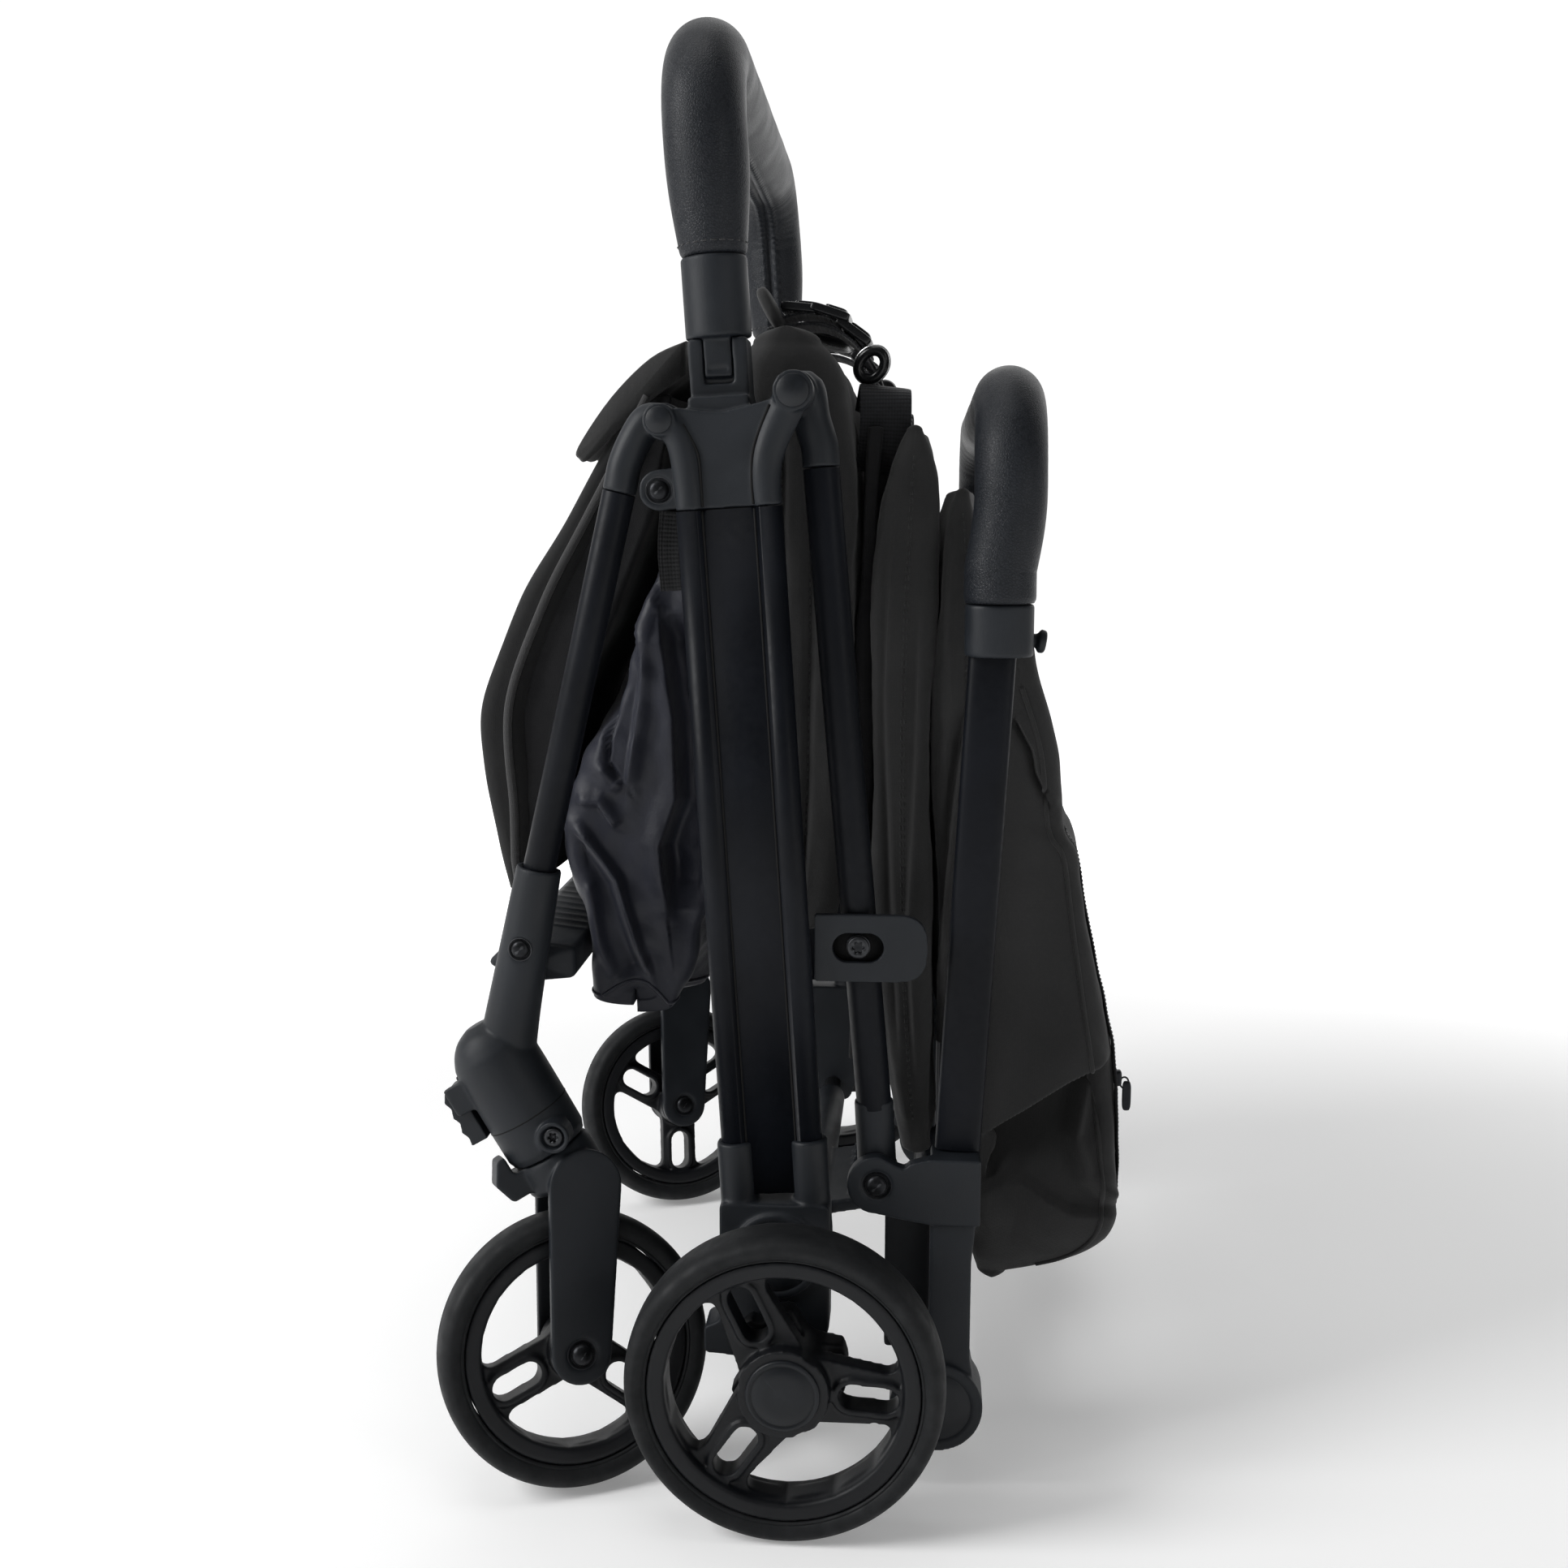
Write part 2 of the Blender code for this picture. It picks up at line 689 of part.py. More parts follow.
def make_rim(name, axis, seat, width, bore, hub, hub_half, slot_start, turns, put):
    """Ring, hub and three spokes, each spoke with a slot along it."""
    rim = Piece(name, put(rim_ring_mesh(seat, width)), "plastic", axis)
    ring = seat - RIM_RING
    web = RIM_WEB / 2 - RIM_LIP / 2
    reach = ring + RIM_RING / 2
    half = SPOKE_WIDTH / 2
    star = []
    for turn in turns:
        run = Vector((math.cos(math.radians(turn)), math.sin(math.radians(turn))))
        square = Vector((-run.y, run.x))
        between = math.radians(turn + 60)
        star.append(tuple(run * reach - square * half))
        star.append(tuple(run * reach + square * half))
        root = 2 * half / math.sqrt(3)
        star.append((root * math.cos(between), root * math.sin(between)))
    rim.join(put(prism(star, -web, web)))
    rim.join(put(prism(circle((0, 0), hub, BOSS_SIDES), -hub_half, hub_half)))
    for turn in turns:
        middle = (slot_start + ring - RIM_LIP) / 2
        centre = (middle * math.cos(math.radians(turn)), middle * math.sin(math.radians(turn)))
        slot = stadium(centre, ring - RIM_LIP - slot_start, SPOKE_SLOT_WIDTH, turn, 3)
        rim.cut(put(prism(slot, -width, width)))
    rim.cut(put(prism(circle((0, 0), bore, TUBE_SIDES), -width * 2, width * 2)))
    return rim


def make_rear_wheel(side):
    axis = joint("rear_wheel_axis_" + side.letter, side.point(REAR_AXLE, REAR_WHEEL_X))
    place = Matrix.Translation((REAR_WHEEL_X, *REAR_AXLE))
    bore = REAR_AXLE_RADIUS + PIN_GAP

    def put(bm):
        return side.put(moved(bm, place))

    tyre = tyre_mesh(REAR_WHEEL_RADIUS, REAR_TYRE_SEAT, REAR_WHEEL_WIDTH)
    Piece("rear_tyre_" + side.letter, put(tyre), "rubber", axis)
    rim = make_rim(
        "rear_rim_" + side.letter, axis, REAR_TYRE_SEAT, REAR_WHEEL_WIDTH, bore, HUB_RADIUS, HUB_FACE,
        SPOKE_SLOT_START, (-5, 115, 235), put,
    )
    drum_x = DRUM_INNER_X - REAR_WHEEL_X
    drum = [
        (bore + RIM_LIP, -HUB_FACE + RIM_LIP),
        (bore, drum_x),
        (DRUM_RADIUS, drum_x),
        (DRUM_RADIUS, drum_x + DRUM_WIDTH),
        (HUB_RADIUS - RIM_LIP, drum_x + DRUM_WIDTH + 0.004),
    ]
    rim.join(put(moved(turned(drum, BOSS_SIDES), Matrix.Rotation(DRUM_PHASE, 4, "X"))))
    seat_radius = HUB_CAP_RADIUS + PLUG_GAP
    floor = HUB_FACE - HUB_CAP_DEPTH
    rim.cut(put(prism(circle((0, 0), seat_radius, COLLAR_SIDES), floor, HUB_FACE * 2)))
    cap = [
        (HUB_CAP_RADIUS, floor + HUB_CAP_GAP),
        (HUB_CAP_RADIUS, HUB_FACE),
        (HUB_CAP_RADIUS - 0.001, HUB_FACE + HUB_CAP_STAND),
    ]
    Piece("rear_hub_cap_" + side.letter, put(turned(cap, COLLAR_SIDES, solid=True)), "plastic", axis)


# Head


def bumper_frame():
    """The leaning frame of the bumper: its Z runs up the socket, along the rear leg's own axis."""
    y, z = leg_point(SOCKET_BASE_Z, BUMPER_OFFSET)
    return Matrix.Translation((0, y, z)) @ Matrix.Rotation(LEG_LEAN, 4, "X")


def head_arms():
    """Side-view paths of the two arms, from the leg's tubes up to the two pivots."""
    half = LEG_TUBE_SPACING / 2
    fy, fz = FRONT_PIVOT
    ry, rz = LINK_PIVOT
    front = [leg_point(LEG_SEAM_Z, -half), leg_point(LEG_SEAM_Z + 0.012, -half), (fy + 0.0098, fz - 0.0110)]
    front += [(fy + 0.0048, fz - 0.0030), (fy, fz)]
    rear = [leg_point(LEG_SEAM_Z, half), leg_point(LEG_SEAM_Z + 0.016, half), (ry - 0.0098, rz - 0.0210)]
    rear.append((ry, rz))
    return smooth(front, 2), smooth(rear, 2)


def make_head(side):
    front, rear = head_arms()
    rear_radii = [LEG_TUBE_RADIUS + 0.0013 * min(1.0, i / 6) for i in range(len(rear))]
    rear_arm = sweep(side_path(rear, LEG_PLANE_X), [(LEG_TUBE_RADIUS, r) for r in rear_radii], PLUG_SIDES)
    front_arm = sweep(side_path(front, LEG_PLANE_X), LEG_TUBE_RADIUS, PLUG_SIDES)
    head = Piece("head_" + side.letter, side.put(rear_arm), "plastic")
    inner = LEG_PLANE_X - LEG_TUBE_RADIUS
    pin_start = FOLD_PLANE_X - FRONT_TUBE_RADIUS + TUBE_WALL
    web = LEG_TUBE_SPACING / 2 - LEG_TUBE_RADIUS / 2
    fy, fz = FRONT_PIVOT
    ry, rz = LINK_PIVOT
    panel = rounded(
        [
            (*leg_point(LEG_SEAM_Z, -web), 0.0),
            (*leg_point(LEG_SEAM_Z, web), 0.0),
            (ry - 0.0130, rz - 0.0200, 0.004),
            (ry - 0.0060, rz - 0.0020, 0.003),
            (ry - 0.0160, rz - 0.0050, 0.006),
            (fy + 0.0280, fz + 0.0035, 0.020),
            (fy + 0.0060, fz + 0.0060, 0.004),
            (fy + 0.0020, fz - 0.0010, 0.003),
            (fy + 0.0130, fz - 0.0160, 0.006),
        ]
    )
    head.join(
        side.put(front_arm),
        side.put(prism(panel, LEG_PLANE_X - HEAD_PANEL_HALF, LEG_PLANE_X + HEAD_PANEL_HALF)),
        side.put(pin_along_x(FRONT_PIVOT, inner, HEAD_OUTER_X, HEAD_EYE_FRONT_RADIUS)),
        side.put(pin_along_x(LINK_PIVOT, inner, HEAD_OUTER_X, HEAD_EYE_REAR_RADIUS)),
        side.put(pin_along_x(FRONT_PIVOT, pin_start, inner + 0.004, PIVOT_PIN_RADIUS, TUBE_SIDES)),
        side.put(pin_along_x(LINK_PIVOT, pin_start, inner + 0.004, PIVOT_PIN_RADIUS, TUBE_SIDES)),
    )
    lean = bumper_frame()
    half_depth = SOCKET_DEPTH / 2
    core = box_outline((-half_depth, half_depth), (0.0, SOCKET_FLOOR - SOCKET_WALL), 0.002)
    skirt = half_depth - 0.0004
    socket = box_outline((-skirt, skirt), (SOCKET_WALL, SOCKET_HEIGHT))
    head.join(
        side.put(moved(prism(core, CORE_INNER_X, LEG_PLANE_X - 0.002), lean)),
        side.put(moved(prism(socket, *SOCKET_X), lean)),
        side.put(prism(tapered((fy + 0.014, fz - 0.030), LUG_RADIUS, LUG_PLACE, LUG_RADIUS), *LUG_X)),
        side.put(pin_along_x(LUG_PLACE, LUG_X[1] - 0.001, LUG_X[1] + 0.002, LUG_RADIUS / 2, TUBE_SIDES)),
    )
    for offset in (-LEG_TUBE_SPACING / 2, LEG_TUBE_SPACING / 2):
        radius = LEG_TUBE_RADIUS - LEG_WALL - PLUG_GAP
        head.join(side.put(leg_rod(offset, LEG_SEAM_Z - LEG_PLUG_LENGTH, LEG_SEAM_Z + 0.006, radius)))
    hollow_half = half_depth - SOCKET_WALL
    hollow = box_outline((-hollow_half, hollow_half), (SOCKET_FLOOR, SOCKET_HEIGHT * 2))
    slot_low = SOCKET_FLOOR + TONGUE_WINDOW / 2
    slot = box_outline((-SLOT_WIDTH / 2, SLOT_WIDTH / 2), (slot_low, SOCKET_HEIGHT * 3))
    head.cut(
        side.put(moved(prism(hollow, SOCKET_X[0] + SOCKET_WALL, SOCKET_X[1] - SOCKET_WALL), lean)),
        side.put(moved(prism(slot, SOCKET_X[1] - 1.5 * SOCKET_WALL, SOCKET_X[1] + SOCKET_WALL), lean)),
    )


# Bumper bar


def bumper_axis_point(x, height):
    return bumper_frame() @ Vector((x, 0.0, height))


def make_bumper_collar(side, slide):
    lean = bumper_frame()
    x = sum(SOCKET_X) / 2
    top = SOCKET_HEIGHT + BUMPER_COLLAR_LENGTH
    low = SOCKET_HEIGHT + FACE_GAP
    ends = [Vector((x, 0, low)), Vector((x, 0, top))]
    shape = side.put(moved(rod(*ends, BUMPER_COLLAR_RADIUS, COLLAR_SIDES), lean))
    collar = Piece("bumper_collar_" + side.letter, shape, "plastic", slide)
    half = SOCKET_DEPTH / 2 - SOCKET_WALL - PLUG_GAP
    plug = box_outline((-half, half), (SOCKET_FLOOR + PLUG_GAP, low + 0.004), 0.0015)
    tongue_half = SLOT_WIDTH / 2 - PLUG_GAP
    tongue = box_outline((-tongue_half, tongue_half), (SOCKET_FLOOR + TONGUE_WINDOW, low + 0.004))
    inner = SOCKET_WALL + PLUG_GAP
    stub = [Vector((x, 0, top - 0.004)), Vector((x, 0, top + PLUG_STUB_LENGTH))]
    collar.join(
        side.put(moved(prism(plug, SOCKET_X[0] + inner, SOCKET_X[1] - inner), lean)),
        side.put(moved(prism(tongue, SOCKET_X[1] - inner - 0.002, SOCKET_X[1] - 0.0006), lean)),
        side.put(moved(rod(*stub, BUMPER_BORE - 2 * PLUG_GAP), lean)),
    )


def bend_path(leg_x, low, top, bend, leg_steps, bend_steps):
    """Half of a U seen from the front, as (x, height): up the leg, round the bend, in to the middle."""
    path = [(leg_x, low + (top - bend - low) * i / leg_steps) for i in range(leg_steps)]
    centre = (leg_x - bend, top - bend)
    path += arc(centre, bend, 0, 90, bend_steps)
    path.append(((leg_x - bend) / 2, top))
    return path


def whole_bar(half_path):
    """The left half, the middle and the mirrored right half of a bar, as one path."""
    left = list(half_path)
    middle = (0.0, *left[-1][1:])
    right = [(-x, *rest) for x, *rest in reversed(left)]
    return [*left, middle, *right]


def make_bumper_grip(slide):
    x = sum(SOCKET_X) / 2
    low = SOCKET_HEIGHT + BUMPER_COLLAR_LENGTH + FACE_GAP
    top = BUMPER_HEIGHT - BUMPER_GRIP_RADIUS
    half = bend_path(x, low, top, BUMPER_BEND, 3, 4)
    swell = BUMPER_GRIP_RADIUS - BUMPER_COLLAR_RADIUS
    left = []
    for px, height in half:
        share = min(1.0, (height - low) / BUMPER_SWELL_LENGTH)
        left.append((px, height, BUMPER_COLLAR_RADIUS + swell * math.sin(share * math.pi / 2)))
    whole = whole_bar(left)
    path = [bumper_axis_point(px, height) for px, height, _ in whole]
    radii = [radius for _, _, radius in whole]
    Piece("bumper_grip", sweep(path, radii, GRIP_SIDES, BUMPER_BORE), "leather", slide)


# Front leg


def front_direction():
    run = Vector((FRONT_TUBE_END[0] - FRONT_TUBE_TOP[0], FRONT_TUBE_END[1] - FRONT_TUBE_TOP[1]))
    return Vector((0.0, *run.normalized()))


def side_point(place, x=FOLD_PLANE_X):
    return Vector((x, *place))


def make_front_elbow(side, fold):
    fy, fz = FRONT_PIVOT
    run = front_direction()
    top = side_point(FRONT_TUBE_TOP)
    bend = [(fy, fz), (fy - 0.0081, fz + 0.0010), (fy - 0.0140, fz - 0.0065)]
    bend += [tuple((top - run * 0.014).yz), tuple((top - run * 0.004).yz), FRONT_TUBE_TOP]
    shape = sweep(side_path(smooth(bend, 2), FOLD_PLANE_X), FRONT_TUBE_RADIUS)
    elbow = Piece("front_elbow_" + side.letter, side.put(shape), "plastic", fold)
    x0, x1 = FOLD_PLANE_X - FRONT_TUBE_RADIUS, FOLD_PLANE_X + FRONT_TUBE_RADIUS
    plug = rod(top - run * 0.004, top + run * TUBE_PLUG_LENGTH, FRONT_TUBE_RADIUS - TUBE_WALL - PLUG_GAP)
    elbow.join(side.put(pin_along_x(FRONT_PIVOT, x0, x1, FRONT_EYE_RADIUS)), side.put(plug))
    elbow.cut(side.put(pivot_hole(FRONT_PIVOT, x0 - PAST, x1 + PAST)))


def make_front_tube(side, fold):
    run = front_direction()
    start = side_point(FRONT_TUBE_TOP) + run * FACE_GAP
    end = side_point(FRONT_TUBE_END) + run * FRONT_TUBE_DEPTH
    shape = sweep([start, end], FRONT_TUBE_RADIUS, TUBE_SIDES, FRONT_TUBE_RADIUS - TUBE_WALL)
    Piece("front_tube_" + side.letter, side.put(shape), "paint", fold)


def castor_frame(sign, swivel):
    """The castor's own frame: Z up its leaning swivel axis, Y to the rear, X to the left."""
    place = Matrix.Translation((sign * FOLD_PLANE_X, *CASTOR_POINT))
    return place @ Matrix.Rotation(CASTOR_LEAN, 4, "X") @ Matrix.Rotation(swivel, 4, "Z")


UPRIGHT = Matrix.Rotation(math.radians(-90), 4, "Y")


def make_castor_housing(side, fold):
    frame = castor_frame(1, 0.0)
    top = CASTOR_COLLAR_TOP
    radius = CASTOR_COLLAR_RADIUS
    collar = [
        (radius - 0.0008, CASTOR_SEAT),
        (radius, CASTOR_SEAT + 0.0020),
        (radius, top - 0.0190),
        (radius - 0.0030, top - 0.0100),
        (radius - 0.0090, top - 0.0035),
        (radius - 0.0160, top),
    ]
    shape = moved(turned(collar, COLLAR_SIDES, solid=True), frame @ UPRIGHT)
    housing = Piece("castor_housing_" + side.letter, side.put(shape), "plastic", fold)
    end = frame @ Vector((0, 0, top - 0.028))
    sleeve_path = [side_point(FRONT_TUBE_END), side_point(FRONT_SLEEVE_LOW), end]
    sleeve_radii = [FRONT_SLEEVE_TOP_RADIUS, FRONT_SLEEVE_LOW_RADIUS, FRONT_SLEEVE_END_RADIUS]
    sleeve = sweep(sleeve_path, sleeve_radii, BOSS_SIDES)
    cheek_y = (-radius - LOCK_REACH * 0.7, -radius + 0.006)
    cheek = box_outline(cheek_y, (LOCK_TOP - 0.014, LOCK_TOP + 0.002), 0.002)
    inner = LOCK_WIDTH / 2 + FACE_GAP
    screw = tuple((frame @ Vector((0, *SHELL_SCREW))).yz)
    screw_x = (FOLD_PLANE_X + radius / 2, FOLD_PLANE_X + radius)
    housing.join(
        side.put(sleeve),
        side.put(moved(prism(cheek, inner, inner + LOCK_CHEEK), frame)),
        side.put(moved(prism(cheek, -inner - LOCK_CHEEK, -inner), frame)),
        side.put(pin_along_x(screw, *screw_x, SHELL_SCREW_RADIUS)),
    )
    run = front_direction()
    bore = rod(
        side_point(FRONT_TUBE_END) - run * PAST,
        side_point(FRONT_TUBE_END) + run * (FRONT_TUBE_DEPTH + FACE_GAP),
        FRONT_TUBE_RADIUS + PLUG_GAP,
        TUBE_SIDES,
    )
    stem = rod(
        frame @ Vector((0, 0, CASTOR_SEAT - PAST)),
        frame @ Vector((0, 0, CASTOR_SEAT + CASTOR_STEM_LENGTH + PIN_GAP)),
        CASTOR_STEM_RADIUS + PIN_GAP,
    )
    housing.cut(side.put(bore), side.put(stem))


def make_swivel_lock(side, fold):
    frame = castor_frame(1, 0.0)
    inner = -CASTOR_COLLAR_RADIUS - PLANE_GAP
    outer = inner - LOCK_REACH
    pivot = (inner - LOCK_PIVOT_INSET, LOCK_TOP - LOCK_PIVOT_INSET)
    axis = joint("lock_axis_" + side.letter, side.point((frame @ Vector((0, *pivot))).yz, FOLD_PLANE_X))
    hang(axis, fold)
    chamfer = LOCK_PIVOT_INSET * 0.8
    outline = [(inner, LOCK_LOW), (inner, LOCK_TOP - chamfer), (inner - chamfer, LOCK_TOP)]
    outline.append((outer + LOCK_PIVOT_INSET, LOCK_TOP))
    teeth = 3
    pitch = (LOCK_TOP - LOCK_LOW) / (teeth + 0.5)
    for i in range(teeth):
        z = LOCK_TOP - 0.002 - pitch * i
        outline += [(outer, z - pitch * 0.30), (outer + 0.0018, z - pitch * 0.75)]
    outline.append((outer + 0.001, LOCK_LOW))
    shape = moved(prism(outline, -LOCK_WIDTH / 2, LOCK_WIDTH / 2), frame)
    Piece("swivel_lock_" + side.letter, side.put(shape), "plastic", axis)


def make_footrest(fold):
    y, z = FOOTREST_NOSE
    depth = FOOTREST_DEPTH
    outline = rounded(
        [
            (y, z, 0.002),
            (y + depth * 0.30, FOOTREST_TOP_Z, 0.004),
            (y + depth, FOOTREST_TOP_Z - 0.004, 0.003),
            (y + depth, FOOTREST_LOW_Z + 0.003, 0.003),
            (y + depth * 0.40, FOOTREST_LOW_Z, 0.003),
        ]
    )
    half = FOLD_PLANE_X - FRONT_SLEEVE_LOW_RADIUS - FACE_GAP
    Piece("footrest", prism(outline, -half, half), "plastic", fold)


# Castor fork and front wheel, in the castor's own frame


def make_castor(side, fold):
    frame = castor_frame(side.sign, CASTOR_SWIVEL)
    swivel_place = frame @ Vector((0, 0, CASTOR_SEAT))
    swivel = joint("castor_axis_" + side.letter, swivel_place, frame.to_3x3().to_4x4())
    hang(swivel, fold)
    radius = FORK_CROWN_RADIUS
    top = CASTOR_SEAT - PLANE_GAP
    crown = [(radius - 0.0015, FORK_CROWN_LOW), (radius, FORK_CROWN_LOW + 0.0025), (radius, top - 0.0030)]
    crown.append((radius - 0.0015, top))
    shape = moved(turned(crown, COLLAR_SIDES, solid=True), frame @ UPRIGHT)
    fork = Piece("castor_fork_" + side.letter, shape, "plastic", swivel)
    wheel_centre = (-CASTOR_TRAIL, 0.0)
    plate = tapered((0.003, FORK_TOP_HEIGHT), FORK_TOP_RADIUS, wheel_centre, FORK_END_RADIUS)
    inner = FRONT_WHEEL_WIDTH / 2 + FORK_GAP
    outer = inner + FORK_PLATE
    tooth_front = -CASTOR_COLLAR_RADIUS - PLANE_GAP
    lip = rounded(
        [
            (0.0, FORK_CROWN_LOW + 0.004, 0.0),
            (tooth_front - 0.0080, FORK_CROWN_LOW + 0.006, 0.003),
            (tooth_front - 0.0115, top, 0.002),
            (tooth_front - 0.0050, top + 0.0105, 0.001),
            (tooth_front - 0.0006, top + 0.0105, 0.001),
            (tooth_front - 0.0006, top, 0.0),
            (0.0, top, 0.0),
        ]
    )
    stem = [Vector((0, 0, top - 0.006)), Vector((0, 0, CASTOR_SEAT + CASTOR_STEM_LENGTH))]
    fork.join(
        moved(prism(plate, inner, outer), frame),
        moved(prism(plate, -outer, -inner), frame),
        moved(prism(lip, -0.0085, 0.0085), frame),
        moved(rod(*stem, CASTOR_STEM_RADIUS), frame),
    )
    bore = circle(wheel_centre, FRONT_AXLE_RADIUS + PIN_GAP, TUBE_SIDES)
    fork.cut(moved(prism(bore, -outer * 2, outer * 2), frame))
    reach = outer + FACE_GAP
    shank = pin_along_x(wheel_centre, -reach, reach, FRONT_AXLE_RADIUS, TUBE_SIDES)
    bolt = Piece("front_axle_bolt_" + side.letter, moved(shank, frame), "bolt", swivel)
    head = moved(bolt_dome(FRONT_BOLT_HEAD, FRONT_BOLT_RISE), Matrix.Translation((reach, *wheel_centre)))
    bolt.join(moved(Side(side.sign).put(head), frame))
    make_front_wheel(side, frame, swivel)


def make_front_wheel(side, frame, swivel):
    centre = frame @ Matrix.Translation((0, -CASTOR_TRAIL, 0))
    axis = joint("front_wheel_axis_" + side.letter, centre.translation, centre.to_3x3().to_4x4())
    hang(axis, swivel)
    axis_spokes = (54, 174, 294) if side.sign > 0 else (0, 120, 240)

    def put(bm):
        return moved(bm, centre)

    tyre = tyre_mesh(FRONT_WHEEL_RADIUS, FRONT_TYRE_SEAT, FRONT_WHEEL_WIDTH)
    Piece("front_tyre_" + side.letter, put(tyre), "rubber", axis)
    hub_half = FRONT_WHEEL_WIDTH / 2 + FORK_GAP - PLANE_GAP
    make_rim(
        "front_rim_" + side.letter, axis, FRONT_TYRE_SEAT, FRONT_WHEEL_WIDTH, FRONT_AXLE_RADIUS + PIN_GAP,
        FRONT_HUB_RADIUS, hub_half, FRONT_SLOT_START, axis_spokes, put,
    )


# Link


def link_direction():
    run = Vector((LINK_TUBE_END[0] - LINK_ELBOW_END[0], LINK_TUBE_END[1] - LINK_ELBOW_END[1]))
    return Vector((0.0, *run.normalized()))


def make_link_elbow(side, fold):
    ly, lz = LINK_PIVOT
    run = link_direction()
    end = side_point(LINK_ELBOW_END)
    bend = [(ly, lz), (ly + 0.0048, lz + 0.0015), (ly + 0.0074, lz - 0.0120)]
    bend += [tuple((end - run * 0.010).yz), LINK_ELBOW_END]
    radii = (LINK_ELBOW_RADIUS, LINK_TUBE_RADIUS)
    path = side_path(smooth(bend, 2), FOLD_PLANE_X)
    elbow = Piece("link_elbow_" + side.letter, side.put(sweep(path, [radii] * len(path))), "plastic", fold)
    x0, x1 = FOLD_PLANE_X - LINK_ELBOW_RADIUS, FOLD_PLANE_X + LINK_ELBOW_RADIUS
    plug = rod(end - run * 0.004, end + run * TUBE_PLUG_LENGTH, LINK_TUBE_RADIUS - TUBE_WALL - PLUG_GAP)
    elbow.join(side.put(pin_along_x(LINK_PIVOT, x0, x1, LINK_EYE_RADIUS)), side.put(plug))
    elbow.cut(side.put(pivot_hole(LINK_PIVOT, x0 - PAST, x1 + PAST)))


def make_link_tube(side, fold):
    run = link_direction()
    start = side_point(LINK_ELBOW_END) + run * FACE_GAP
    end = side_point(LINK_TUBE_END) - run * FACE_GAP
    shape = sweep([start, end], LINK_TUBE_RADIUS, TUBE_SIDES, LINK_TUBE_RADIUS - TUBE_WALL)
    Piece("link_tube_" + side.letter, side.put(shape), "paint", fold)


def make_link_sleeve(side, fold):
    run = link_direction()
    start = side_point(LINK_TUBE_END)
    pivot = side_point(MID_PIVOT)
    across = LINK_TUBE_RADIUS
    path = [start, start + (pivot - start) * 0.5, pivot]
    radii = [(across, LINK_SLEEVE_RADIUS)] * 2 + [(across, LINK_TUBE_RADIUS)]
    sleeve = Piece("link_sleeve_" + side.letter, side.put(sweep(path, radii)), "plastic", fold)
    x0, x1 = FOLD_PLANE_X - across, FOLD_PLANE_X + across
    plug = rod(start - run * TUBE_PLUG_LENGTH, start + run * 0.004, LINK_TUBE_RADIUS - TUBE_WALL - PLUG_GAP)
    sleeve.join(side.put(pin_along_x(MID_PIVOT, x0, x1, LINK_EYE_RADIUS)), side.put(plug))
    sleeve.cut(side.put(pivot_hole(MID_PIVOT, x0 - PAST, x1 + PAST)))


# Fold latch, on the left link tube


def make_latch(fold):
    inner = FOLD_PLANE_X + LINK_TUBE_RADIUS + PLANE_GAP
    outer = inner + LATCH_THICKNESS
    slide = joint("latch_axis", (inner, *LATCH_SCREW))
    hang(slide, fold)
    (y0, y1), (z0, z1) = LATCH_Y, LATCH_Z
    outline = rounded([(y0, z0, 0.001), (y1, z0, 0.010), (y1, z1, 0.010), (y0, z1, 0.001)])
    plate = Piece("latch_plate", prism(outline, inner, outer), "plastic", slide)
    slot = stadium(LATCH_SCREW, LATCH_SLOT_LENGTH, LATCH_SLOT_WIDTH)
    plate.cut(prism(slot, inner - PAST, outer + PAST))
    head_x = outer - 0.0010
    low = [(LATCH_SCREW_HEAD - 0.0010, FOLD_PLANE_X + LINK_TUBE_RADIUS + 0.0002 - inner)]
    profile = [*low, (LATCH_SCREW_HEAD, 0.0010), (LATCH_SCREW_HEAD, head_x - inner)]
    shape = moved(turned(profile, BOSS_SIDES, solid=True), Matrix.Translation((inner, *LATCH_SCREW)))
    Piece("latch_screw", shape, "bolt", fold)


# Handle


def bar_direction():
    run = Vector((BAR_TOP[0] - BAR_LOW[0], BAR_TOP[1] - BAR_LOW[1]))
    return Vector((0.0, *run.normalized()))


